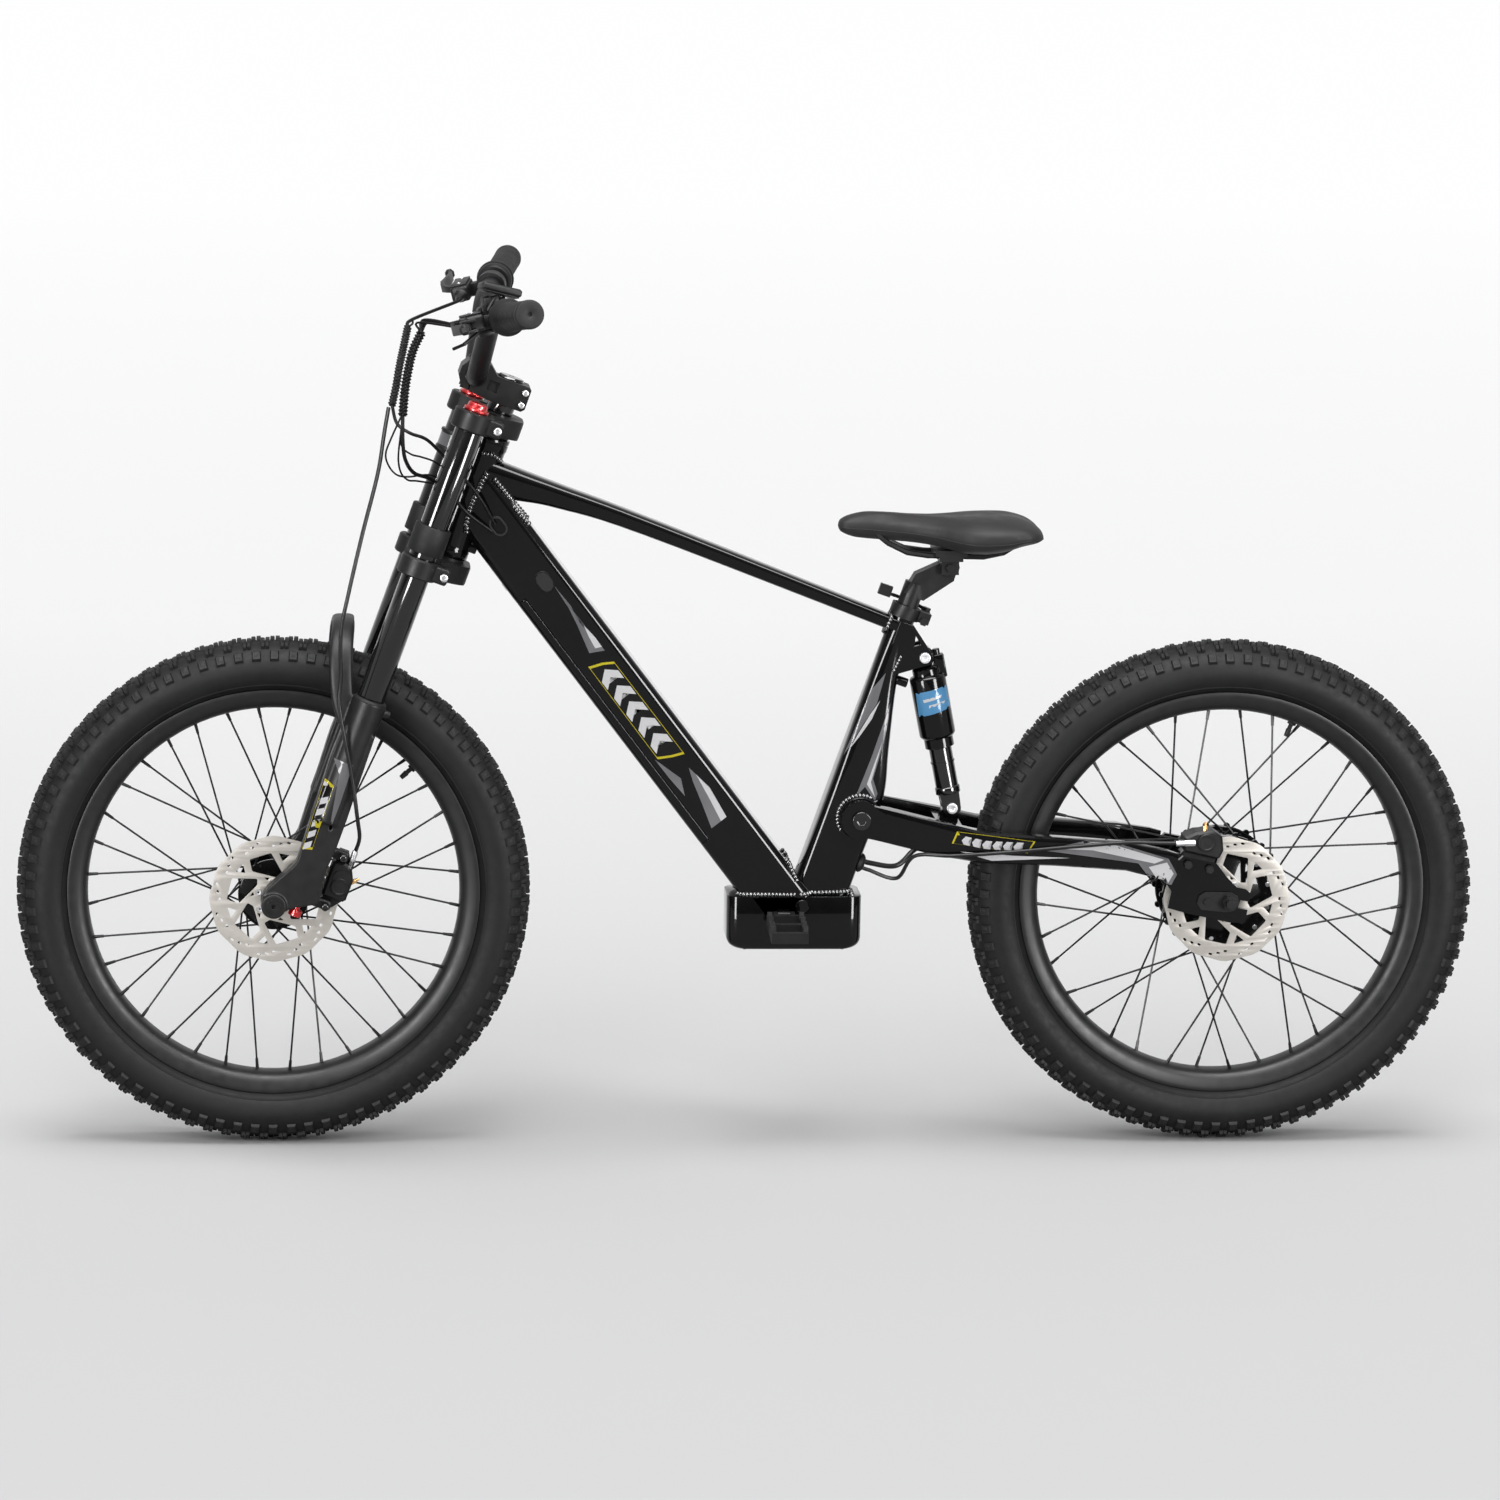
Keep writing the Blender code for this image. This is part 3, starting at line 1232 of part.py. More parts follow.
def rail_points(side):
    """One rail from its front socket to its rear one, about the hinge."""
    places = [
        (-0.0925, 0.0120, 0.0415), (-0.0785, 0.0150, 0.0305),
        (-0.0545, 0.0215, 0.0195), (-0.0295, 0.0225, 0.0160),
        (0.0405, 0.0225, 0.0145), (0.0655, 0.0270, 0.0205), (0.0835, 0.0330, 0.0335),
    ]
    return [SADDLE_HINGE + Vector((x, side * y, z)) for x, y, z in places]


def tube_mesh_along(points, radius, sides=8):
    """A round bar along points, square to its path at each of them."""
    points = [Vector(point) for point in points]
    sections = []
    normal = None
    for i, point in enumerate(points):
        before = (point - points[i - 1]).normalized() if i else (points[1] - point).normalized()
        after = (points[i + 1] - point).normalized() if i + 1 < len(points) else before
        along = (before + after).normalized()
        if normal is None:
            normal = along.orthogonal().normalized()
        normal = (normal - along * normal.dot(along)).normalized()
        other = along.cross(normal)
        mitre = 1 / max(0.5, along.dot(before))
        ring = []
        for k in range(sides):
            angle = math.tau * (k + 0.5) / sides
            ring.append(point + (normal * math.cos(angle) + other * math.sin(angle)) * radius * mitre)
        sections.append(ring)
    return loft(sections)


def saddle_rails_mesh():
    """Two rails held by an upper and a lower clamp that sit round the cradle."""
    rails = [tube_mesh_along(rail_points(side), RAIL_OD / 2, 6) for side in (1, -1)]
    upper = block((0.040, 0.060, 0.008), SADDLE_HINGE + Vector((0, 0, 0.0190)))
    cheeks = [
        block((0.022, 0.004, 0.030), SADDLE_HINGE + Vector((0, side * 0.0185, 0.006)))
        for side in (1, -1)
    ]
    lower = block((0.030, 0.060, 0.007), SADDLE_HINGE + Vector((0, 0, 0.0125)))
    bolt = drum(0.003, -0.0180, 0.0180, 8, centre=SADDLE_HINGE)
    heads = [
        drum(0.0055, *sorted((side * 0.0195, side * 0.0240)), 6, centre=SADDLE_HINGE)
        for side in (1, -1)
    ]
    room = hole(CRADLE_OD / 2, -0.0163, 0.0163, 14, centre=SADDLE_HINGE)
    clamp = cut(fused(upper, lower, *cheeks), room)
    return fused(clamp, bolt, *heads, *rails)


def saddle_sections():
    """Cross-sections from nose to tail, about the hinge: place, half width, top and underside."""
    shares = [
        (0.000, 0.134, 0.800, 0.644), (0.023, 0.228, 0.933, 0.522), (0.095, 0.275, 0.989, 0.467),
        (0.228, 0.309, 1.000, 0.378), (0.361, 0.389, 0.989, 0.322), (0.493, 0.564, 0.978, 0.244),
        (0.607, 0.765, 0.978, 0.156), (0.721, 0.926, 0.989, 0.044), (0.816, 1.000, 1.000, 0.000),
        (0.903, 0.993, 0.989, 0.111), (0.964, 0.926, 0.911, 0.289), (1.000, 0.752, 0.756, 0.467),
    ]
    return [
        (
            place * SADDLE_LENGTH - SADDLE_NOSE_AHEAD, half * SADDLE_WIDTH / 2,
            SADDLE_LIFT + top * SADDLE_DEPTH, SADDLE_LIFT + low * SADDLE_DEPTH,
        )
        for place, half, top, low in shares
    ]


def saddle_mesh():
    """Cushion with a crowned top, drawn-in sides and a hollow underside for the rails."""
    half_shape = [
        (0.0, 1.0), (0.30, 0.99), (0.60, 0.93), (0.82, 0.80),
        (0.95, 0.56), (1.0, 0.28), (0.96, 0.02), (0.88, 0.0),
    ]
    sections = []
    for place, half, top, low in saddle_sections():
        right = [(half * across, low + (top - low) * up) for across, up in half_shape]
        inner = [(half * 0.80, low + 0.0040), (0.0, low + 0.0075)]
        outline = right + inner + [(-y, z) for y, z in (right + inner[:1])[:0:-1]]
        sections.append([(place, y, z) for y, z in outline])
    cushion = placed(loft(sections), Matrix.Translation(SADDLE_HINGE))
    sockets = []
    for side in (1, -1):
        points = rail_points(side)
        for end, before in ((points[0], points[1]), (points[-1], points[-2])):
            along = (end - before).normalized()
            sockets.append(rod(before, end + along * 0.0015, RAIL_OD / 2 * 1.09 + GAP, 8))
    return cut(cushion, *sockets)


# Steering body, in the fork's frame


def steerer_mesh():
    """Steerer with the spacers under the stem and the cap above it."""
    tube, spacer = STEERER_OD / 2, STEERER_SPACER_OD / 2
    stem_low = CROWN_TOP + STEM_LIFT
    stem_high = stem_low + STEM_TALL
    profile = [
        (tube, LOWER_CROWN_HEIGHT - 0.004), (tube, CROWN_TOP + GAP),
        (spacer, CROWN_TOP + GAP), (spacer, stem_low - GAP),
        (tube, stem_low - GAP), (tube, stem_high + GAP),
        (spacer, stem_high + GAP), (spacer - 0.002, stem_high + 0.004),
    ]
    tube_solid = turned(profile, 14)
    return cut(tube_solid, drum(0.004, stem_high, stem_high + 0.02, 6, "Z"))


def crown_mesh(low, collar_above):
    """A crown plate: rings for the stanchions and the steerer, with slits and pinch bolts."""
    high = low + CROWN_THICKNESS
    middle = (low + high) / 2
    right = [
        (CROWN_REAR, 0.024), (0.020, 0.040), (-0.010, 0.066),
        (-0.010, STANCHION_Y), (-0.052, STANCHION_Y - 0.010),
        (-0.040, 0.042), (-0.028, 0.014),
    ]
    plate = prism(right + [(x, -y) for x, y in right[::-1]], low, high)
    rings = [
        drum(CROWN_RING_OD / 2, low, high, 14, "Z", (-STANCHION_SET, side * STANCHION_Y, 0))
        for side in (1, -1)
    ]
    if collar_above:
        collar = drum(0.0235, high - EMBED, high + CROWN_COLLAR - GAP, 14, "Z")
    else:
        collar = drum(0.0235, low - CROWN_COLLAR + GAP, low + EMBED, 14, "Z")
    lugs, slits, bolts = [], [], []
    for side in (1, -1):
        seam = side * (STANCHION_Y + 0.004)
        lugs.append(block((0.022, 0.024, CROWN_THICKNESS - 0.003), (-0.006, seam, middle)))
        slits.append(block((0.040, 0.0016, CROWN_THICKNESS + 0.02), (-0.006, seam, middle)))
        ends = sorted((side * (STANCHION_Y - 0.006), side * (STANCHION_Y + 0.0200)))
        bolts.append(drum(0.0040, *ends, 6, "Y", (-0.001, 0, middle)))
    bores = [
        hole(STANCHION_OD / 2, low - 0.02, high + 0.02, 14, "Z", (-STANCHION_SET, side * STANCHION_Y, 0))
        for side in (1, -1)
    ]
    bores.append(hole(STEERER_OD / 2, low - 0.02, high + 0.02, 14, "Z"))
    pockets = [
        block((0.020, 0.022, 0.020), (-0.014, side * 0.046, low if collar_above else high))
        for side in (1, -1)
    ]
    solid = cut(fused(plate, *rings, collar, *lugs), *bores, *slits, *pockets)
    return fused(solid, *bolts)


def stanchion_mesh(side):
    """Stanchion tube with its rubber bumper; the far one has a second ring."""
    radius = STANCHION_OD / 2
    low, high = SEAL_HEIGHT - STANCHION_ENGAGED, CROWN_TOP
    bumper = LOWER_CROWN_HEIGHT + CROWN_THICKNESS + BUMPER_LIFT
    bumper_top = bumper + BUMPER_LENGTH
    profile = [
        (radius, low), (radius, bumper), (BUMPER_OD / 2, bumper), (BUMPER_OD / 2, bumper_top),
        (radius, bumper_top)
    ]
    if side > 0:
        ring = UPPER_CROWN_HEIGHT - FAR_RING_BELOW
        ring_top, proud = ring + FAR_RING_LENGTH, radius + 0.004
        profile += [(radius, ring), (proud, ring), (proud, ring_top), (radius, ring_top)]
    profile.append((radius, high))
    tube = turned(profile, 14)
    tube = cut(tube, hole(CAP_STEM_OD / 2, high - 0.014, high + 0.01, 12, "Z"))
    return placed(tube, Matrix.Translation((-STANCHION_SET, side * STANCHION_Y, 0)))


def fork_cap_mesh():
    """Knurled adjuster on a stanchion's top; its axis is the stanchion's."""
    profile = [
        (CAP_STEM_OD / 2, -0.012), (CAP_STEM_OD / 2, GAP),
        (CAP_OD / 2, GAP), (CAP_OD / 2, 0.004), (0.0130, 0.0050),
        (0.0125, 0.0100), (0.0110, 0.0115),
    ]
    return turned(profile, 12)


def stem_mesh():
    """Stem: collar round the steerer, short body, and a faceplate held by four bolts."""
    low = CROWN_TOP + STEM_LIFT
    high = low + STEM_TALL
    clamp_z = BAR_CLAMP.z
    reach = BAR_OD / 2 + 0.0085
    outline = [
        (0.0275, low + 0.004), (0.0275, high - 0.003), (0.0245, high), (-0.018, high),
        (-STEM_REACH + 0.012, clamp_z + reach)
    ]
    outline += circle(reach, 6, (-STEM_REACH, clamp_z), math.radians(100), math.radians(160))
    outline += [(-STEM_REACH + 0.006, clamp_z - reach), (-0.018, low), (0.0235, low)]
    solid = side_plate(outline, -STEM_WIDTH / 2, STEM_WIDTH / 2)
    bore = hole(STEERER_OD / 2, low - 0.02, high + 0.02, 14, "Z")
    bar = hole(BAR_OD / 2, -0.05, 0.05, 14, centre=(-STEM_REACH, 0, clamp_z))
    seam = block((0.0016, 0.08, 0.08), (-STEM_REACH - 0.003, 0, clamp_z))
    recesses = [
        block((0.014, 0.010, 0.014), (-0.019, side * STEM_WIDTH / 2, (low + high) / 2 + 0.002))
        for side in (1, -1)
    ]
    rear_slit = block((0.030, 0.0016, 0.08), (0.026, 0, (low + high) / 2))
    solid = cut(solid, bore, bar, seam, *recesses, rear_slit)
    bolts = []
    for sy in (1, -1):
        for sz in (1, -1):
            place = (0, sy * 0.0150, clamp_z + sz * (BAR_OD / 2 + 0.0045))
            bolts.append(drum(0.0032, -STEM_REACH - 0.0140, -STEM_REACH + 0.010, 6, "X", place))
    for z in (low + 0.008, high - 0.008):
        bolts.append(drum(0.0038, -STEM_WIDTH / 2 - 0.0015, STEM_WIDTH / 2 - 0.004, 8, "Y", (0.0215, 0, z)))
    return fused(solid, *bolts)


def bar_knots():
    """Half of the handlebar's line, from its middle to its far end."""
    x, z = BAR_CLAMP.x, BAR_CLAMP.z
    start = Vector((x, BAR_RISE_START, z))
    bend = Vector((x - BAR_SWEEP_FORWARD, BAR_WIDTH / 2 - BAR_OUTER_RUN, z + BAR_RISE))
    end = Vector((bend.x + BAR_BACKSWEEP, BAR_WIDTH / 2, bend.z + BAR_UPSWEEP))
    return start, bend, end


def bend_points(before, corner, after, cut_back, count=5):
    """Points of a smooth bend that touches both straights."""
    first = corner + (before - corner).normalized() * cut_back
    last = corner + (after - corner).normalized() * cut_back
    return [
        first * (1 - t) ** 2 + corner * 2 * t * (1 - t) + last * t**2
        for t in [i / (count - 1) for i in range(count)]
    ]


def handlebar_mesh():
    """One tube: straight in the clamp, rising to each side, then sweeping back to the grips."""
    start, bend, end = bar_knots()
    middle = Vector((BAR_CLAMP.x, 0, BAR_CLAMP.z))
    half = [middle] + bend_points(middle, start, bend, 0.018) + bend_points(start, bend, end, 0.024) + [end]
    points = [Vector((p.x, -p.y, p.z)) for p in half[:0:-1]] + half
    return tube_mesh_along(points, BAR_OD / 2, 10)


def bar_end_frame():
    """At the upper bend of the far side: Y runs out along the bar and -X towards the brake lever."""
    bend, end = (FORK @ knot for knot in bar_knots()[1:])
    along = (end - bend).normalized()
    forward = Vector((-math.cos(CONTROL_TILT), 0, -math.sin(CONTROL_TILT)))
    rear = -(forward - along * forward.dot(along)).normalized()
    up = rear.cross(along)
    matrix = Matrix((rear, along, up)).transposed().to_4x4()
    matrix.translation = bend
    return matrix


FAR_BAR = bar_end_frame()
ACROSS = Matrix.Scale(-1, 4, (0, 1, 0))
NEAR_BAR = ACROSS @ FAR_BAR @ ACROSS
BAR_STRAIGHT = (bar_knots()[2] - bar_knots()[1]).length


def both_ways(mesh, side):
    """The mesh as made for the far side, or mirrored for the near side."""
    return mesh if side > 0 else mirrored(mesh)


def grip_mesh():
    """Rubber grip with an inner flange and fine rings; closed at its outer end."""
    start = BAR_STRAIGHT - GRIP_LENGTH
    end = BAR_STRAIGHT
    bore = (BAR_OD / 2 + GAP) / math.cos(math.pi / 12)
    radius = GRIP_OD / 2
    profile = [
        (bore, start), (GRIP_FLANGE_OD / 2, start), (GRIP_FLANGE_OD / 2, start + 0.004),
        (radius + 0.001, start + 0.008)
    ]
    for k in range(GRIP_RINGS):
        place = start + 0.016 + k * (GRIP_LENGTH - 0.028) / GRIP_RINGS
        profile += [
            (radius, place), (radius, place + 0.010), (radius - 0.0012, place + 0.0112),
            (radius - 0.0012, place + 0.0145)
        ]
    profile += [
        (radius + 0.0008, end - 0.004), (radius + 0.0008, end + 0.002), (radius - 0.003, end + 0.004)
    ]
    profile += [(0.002, end + 0.004), (0.002, end + GAP), (bore, end + GAP)]
    return turned(profile, 12, ring=True, axis="Y")


def throttle_housing_mesh():
    """Fixed ring inboard of the throttle grip, with its cable boss."""
    high = BAR_STRAIGHT - THROTTLE_LENGTH - SLIDE_GAP
    low = high - 0.014
    bore = (BAR_OD / 2 + GAP) / math.cos(math.pi / 14)
    ring = turned(
        [(bore, low), (0.0200, low), (0.0225, low + 0.004), (0.0225, high), (bore, high)], 14,
        ring=True, axis="Y"
    )
    boss = drum(0.0045, 0.014, 0.0265, 8, "X", (0, (low + high) / 2, 0))
    boss.transform(Matrix.Rotation(math.radians(145), 4, "Y"))
    return fused(ring, boss)


def throttle_grip_mesh():
    """Twist throttle: flange and ribbed sleeve that turn together on the bar."""
    start = BAR_STRAIGHT - THROTTLE_LENGTH
    end = BAR_STRAIGHT
    bore = (BAR_OD / 2 + SLIDE_GAP) / math.cos(math.pi / 12)
    radius = GRIP_OD / 2
    flange = THROTTLE_FLANGE_OD / 2
    profile = [
        (bore, start), (flange, start), (flange, start + 0.003), (radius + 0.003, start + 0.006),
        (radius, start + 0.014)
    ]
    for k in range(GRIP_RINGS):
        place = start + 0.018 + k * (THROTTLE_LENGTH - 0.026) / GRIP_RINGS
        profile += [
            (radius, place), (radius, place + 0.010), (radius - 0.0012, place + 0.0112),
            (radius - 0.0012, place + 0.0140)
        ]
    profile += [
        (radius + 0.0006, end - 0.003), (radius + 0.0006, end + 0.002), (radius - 0.003, end + 0.004)
    ]
    profile += [(0.002, end + 0.004), (0.002, end + SLIDE_GAP), (bore, end + SLIDE_GAP)]
    return turned(profile, 12, ring=True, axis="Y")


def brake_clamp_mesh():
    """Master cylinder on its bar clamp, with the lever's fork and the hose fitting."""
    start = CLAMP_PLACE
    ring = drum(0.0185, start, start + 0.014, 12)
    neck = block((0.022, 0.014, 0.018), (-0.022, start + 0.007, 0))
    barrel = block((0.018, 0.050, 0.019), (-0.036, start + 0.003, 0.001), 0.004)
    lid = block((0.014, 0.036, 0.004), (-0.036, start + 0.000, 0.0120))
    jaws = [block((0.018, 0.016, 0.0035), (-0.046, start + 0.022, z)) for z in (-0.0062, 0.0062)]
    jaw_back = block((0.010, 0.016, 0.016), (-0.036, start + 0.022, 0))
    fitting = drum(0.0042, start - 0.036, start - 0.018, 6, "Y", (-0.036, 0, 0))
    shell = cut(ring, hole(BAR_OD / 2, start - 0.02, start + 0.04, 12))
    room = drum(0.0085, -0.0045, 0.0045, 8, "Z", (-0.048, start + 0.022, 0))
    pin_hole = hole(LEVER_PIN_OD / 2, -0.02, 0.02, 8, "Z", (LEVER_PIN_X, start + 0.022, 0))
    solid = fused(
        shell, cut(neck, drum(0.0170, start - 0.02, start + 0.04, 12)), barrel, lid, *jaws, jaw_back,
        fitting
    )
    return cut(solid, room, pin_hole)


def lever_mesh():
    """Brake lever: pivot eye with its pin, a curved blade and a ball at its end; origin on the pin."""
    eye = drum(0.0068, -0.0040, 0.0040, 10, "Z")
    pin = drum(LEVER_PIN_OD / 2, -0.0088, 0.0088, 8, "Z")
    knots = [
        (-0.001, 0.002, 0), (-0.016, 0.016, 0), (-0.025, 0.034, 0), (-0.023, 0.060, 0),
        (-0.0215, 0.090, 0), (-0.026, 0.108, 0)
    ]
    path = smooth_route(knots, 8)
    widths = [0.008, 0.0082, 0.010, 0.012, 0.012, 0.012, 0.011, 0.010]
    blade = ribbon(path, widths, 0.0045, (0, 0, 1))
    ball = turned([(0.0030, -0.0065), (0.0062, -0.003), (0.0062, 0.003), (0.0030, 0.0065)], 8)
    ball = placed(ball, Matrix.Translation(path[-1]))
    return fused(eye, blade, pin, ball)


def display_mesh():
    """Display slab on a short bracket with a ring round the bar, on the near side."""
    start = DISPLAY_PLACE
    ring = drum(0.0165, start, start + 0.010, 12)
    post = block((0.010, 0.010, 0.020), (-0.008, start + 0.005, 0.022))
    slab = block((0.050, 0.034, 0.009), (0, 0, 0), 0.003)
    slab.transform(
        Matrix.Translation((0.010, start + 0.016, 0.0335)) @ Matrix.Rotation(math.radians(-4), 4, "Y")
    )
    keypad = block((0.020, 0.013, 0.012), (-0.004, start + 0.016, 0.0240))
    socket = drum(0.0042, -0.004, 0.02, 12, "Z", (0.020, start + 0.016, 0.0365))
    solid = cut(fused(ring, post, slab, keypad), hole(BAR_OD / 2, start - 0.02, start + 0.04, 12))
    return cut(solid, socket)


def button_mesh():
    """Round button of the display, pressed along its own axis."""
    return turned([(0.0036, -0.0022), (0.0036, 0.0008), (0.0030, 0.0014)], 12)


# Fork lowers, in the fork's frame


def fork_leg_mesh(side):
    """One leg: seal collar, round tube, casting with its window, and axle boss."""
    y = side * STANCHION_Y
    radius = LEG_OD / 2
    top = SEAL_HEIGHT
    seal = turned(
        [
            (radius, top - 0.096), (radius, top - 0.014), (radius + 0.002, top - 0.013),
            (radius + 0.002, top)
        ],
        14
    )
    tube = placed(seal, Matrix.Translation((-STANCHION_SET, y, 0)))
    outline = [
        (-0.0125, 0.245), (-0.0100, 0.128), (-0.0100, 0.095),
        (-0.0125, 0.062), (-0.0060, 0.0206), (-0.0385, 0.0030),
        (-0.0460, -0.0080), (-0.0720, -0.0090), (-0.0770, 0.0110),
        (-0.0502, 0.0600), (-0.0560, 0.2000), (-0.0545, 0.245),
    ]
    low, high = y - LEG_THICKNESS / 2, y + LEG_THICKNESS / 2
    casting = side_plate(outline, low, high)
    boss_ends = sorted((side * (FRONT_HUB_WIDTH / 2 + 0.0015), side * 0.1055))
    boss = drum(LEG_BOSS_RADIUS, *boss_ends, 14, centre=FORK_AXLE)
    window = [(-0.0428, 0.2030), (-0.0220, 0.1980), (-0.0247, 0.1012)]
    cutters = [side_plate(window, y - 0.05, y + 0.05)]
    cutters.append(
        hole(
            STANCHION_OD / 2, top - STANCHION_ENGAGED - FORK_TRAVEL - 0.0015, top + 0.05, 14, "Z",
            (-STANCHION_SET, y, 0)
        )
    )
    inner = sorted((0, side * (FRONT_HUB_WIDTH / 2 + 0.0015)))
    cutters.append(drum(0.060, *inner, 16, centre=FORK_AXLE))
    return cut(fused(tube, casting, boss), *cutters)


def arch_mesh():
    """Brace over the tyre between the two legs."""
    top, front = ARCH_HEIGHT, ARCH_FORWARD
    half = [
        Vector((-front, 0, top)), Vector((-front + 0.001, 0.036, top - 0.006)),
        Vector((-front + 0.004, 0.060, top - 0.026)),
        Vector((-front + 0.011, 0.073, top - 0.056)), Vector((-front + 0.025, 0.080, top - 0.090)),
        Vector((-STANCHION_SET - 0.012, STANCHION_Y, top - 0.122)),
    ]
    points = [Vector((p.x, -p.y, p.z)) for p in half[:0:-1]] + half
    middle = len(half) - 1
    widths = [0.022 + 0.010 * abs(i - middle) / middle for i in range(len(points))]
    return ribbon(points, widths, ARCH_THICKNESS, (0.94, 0, 0.34))


def fork_lowers_mesh():
    """Both legs, the brace, the disc side's brake tabs and the hose guide."""
    legs = [fork_leg_mesh(side) for side in (1, -1)]
    bores = [
        hole(
            STANCHION_OD / 2, SEAL_HEIGHT - 0.030, SEAL_HEIGHT + 0.05, 14, "Z",
            (-STANCHION_SET, side * STANCHION_Y, 0)
        )
        for side in (1, -1)
    ]
    arch = cut(arch_mesh(), *bores)
    tabs = []
    for z in CALIPER_BOLTS_Z:
        tabs.append(
            block(
                (0.030, TAB_THICKNESS, 0.013),
                (CALIPER_BOLT_X - 0.0075, CALIPER_SEAT_Y - TAB_THICKNESS / 2, z), 0.003
            )
        )
    guide = block(
        (0.012, 0.010, 0.008), (-STANCHION_SET + 0.0240, -STANCHION_Y, SEAL_HEIGHT - 0.010), 0.002
    )
    solid = fused(legs[0], arch, legs[1], guide, *tabs)
    cutters = [hole(AXLE_DIAMETER / 2, -0.12, 0.12, centre=FORK_AXLE)]
    cutters += [
        hole(CALIPER_BOLT_OD / 2, -0.10, -0.02, 10, centre=(CALIPER_BOLT_X, 0, z))
        for z in CALIPER_BOLTS_Z
    ]
    cutters.append(hole(KNOB_STEM_OD / 2, -0.05, KNOB_SEAT + 0.0085, 10, "Z", (KNOB_X, -STANCHION_Y, 0)))
    return cut(solid, *cutters)


def front_axle_mesh():
    """Through axle with its head on the near side."""
    half = 0.106
    profile = [
        (0.0095, -half - 0.0005), (0.0095, -half + 0.0002 - GAP),
        (AXLE_DIAMETER / 2, -half + 0.0002 - GAP), (AXLE_DIAMETER / 2, half + 0.0035),
        (AXLE_DIAMETER / 2 - 0.001, half + 0.0045),
    ]
    axle = turned(profile, 16, axis="Y")
    return placed(cut(axle, drum(0.003, -half - 0.01, -half + 0.004, 6)), Matrix.Translation(FORK_AXLE))


def rebound_knob_mesh():
    """Small knob under the near leg; its axis is the leg's."""
    profile = [
        (0.0075, -0.0090), (0.0085, -0.0080), (0.0085, -0.0005),
        (KNOB_STEM_OD / 2, -0.0005), (KNOB_STEM_OD / 2, 0.008),
    ]
    knob = turned(profile, 12)
    grooves = []
    for k in range(4):
        groove = block((0.003, 0.003, 0.012), (0.0090, 0, -0.006))
        grooves.append(placed(groove, Matrix.Rotation(math.tau * k / 4, 4, "Z")))
    return cut(knob, *grooves)


def caliper_mesh(body_outline, ear_outline, bolts, disc_centre, fitting):
    """A brake caliper round the disc: body with the disc's slot, ears, bolts and hose fitting."""
    near, far = ROTOR_Y - CALIPER_HALF_WIDTH, ROTOR_Y + CALIPER_HALF_WIDTH
    shell = eased(side_plate(body_outline, near, far), 0.003, math.radians(60))
    ear_low, ear_high = CALIPER_SEAT_Y + GAP, ROTOR_Y - ROTOR_THICKNESS / 2 - 0.0018
    ears = side_plate(ear_outline, ear_low, ear_high)
    slot = drum(ROTOR_OD / 2 + 0.0025, ROTOR_Y - 0.0029, ROTOR_Y + 0.0029, 24, centre=disc_centre)
    solid = cut(fused(shell, ears), slot)
    details = []
    for x, z in bolts:
        details.append(
            drum(
                CALIPER_BOLT_OD / 2, CALIPER_SEAT_Y - TAB_THICKNESS - 0.002, ear_low + EMBED, 8,
                centre=(x, 0, z)
            )
        )
        head = CALIPER_SEAT_Y - TAB_THICKNESS - GAP
        details.append(drum(0.0052, head - 0.004, head, 6, centre=(x, 0, z)))
    base, tip = fitting
    details.append(rod(base, tip, 0.0042, 6))
    middle_x = sum(x for x, z in body_outline) / len(body_outline)
    middle_z = sum(z for x, z in body_outline) / len(body_outline)
    details.append(drum(0.0115, near - 0.0015, near + 0.002, 12, centre=(middle_x, 0, middle_z)))
    return fused(solid, *details)


def front_caliper_mesh():
    low, high = CALIPER_BOLTS_Z
    x = CALIPER_BOLT_X
    body_outline = [
        (x - 0.0085, low + 0.009), (x - 0.0085, high - 0.0095),
        (x + 0.008, high - 0.0085), (x + 0.016, high - 0.013),
        (x + 0.023, (low + high) / 2 + 0.006), (x + 0.0225, low + 0.010),
    ]
    ear_outline = [
        (x - 0.006, low - 0.005), (x - 0.006, high + 0.006),
        (x + 0.006, high + 0.006), (x + 0.016, high - 0.014),
        (x + 0.0215, low + 0.012), (x + 0.007, low - 0.005),
    ]
    fitting = [
        Vector((x + CALIPER_FITTING_X, ROTOR_Y - CALIPER_FITTING_OUT, high - below))
        for below in (0.016, 0.003)
    ]
    return caliper_mesh(body_outline, ear_outline, [(x, low), (x, high)], FORK_AXLE, fitting)


# Swingarm body, in the swingarm's frame


def arm_stations():
    """Along one arm: place, middle height, depth, outer side, thickness."""
    rear, full = ARM_REAR_Y, ARM_THICKNESS
    return [
        (0.000, 0.0000, 0.042, ARM_END_Y, ARM_PIVOT_THICKNESS),
        (0.030, 0.0005, 0.044, ARM_END_Y, ARM_PIVOT_THICKNESS),
        (BRIDGE_X - 0.010, 0.0000, 0.043, rear - 0.0120, full - 0.002),
        (BRIDGE_X + 0.045, 0.0010, 0.039, rear - 0.0083, full),
        (ARM_KNEE_SHARE * ARM_LENGTH, 0.0090, 0.038, rear - 0.0065, full),
        (ARM_WAIST_SHARE * ARM_LENGTH, 0.0165, 0.037, rear - 0.0050, full),
        (ARM_LENGTH - 0.1356, 0.0290, 0.036, rear - 0.0020, full - 0.002),
        (ARM_LENGTH - 0.0916, 0.0290, 0.038, rear - 0.0005, 0.0125),
        (ARM_LENGTH - 0.0756, 0.0275, 0.038, rear, DROPOUT_THICKNESS),
    ]


def arm_mesh():
    """The far arm: flat at the pivot, full in the middle, thin at the dropout."""
    sections = []
    for place, height, depth, outer, thickness in arm_stations():
        outline = squircle(thickness, depth, 5, 12, (outer - thickness / 2, height))
        sections.append([(place, y, z) for y, z in outline])
    return loft(sections)


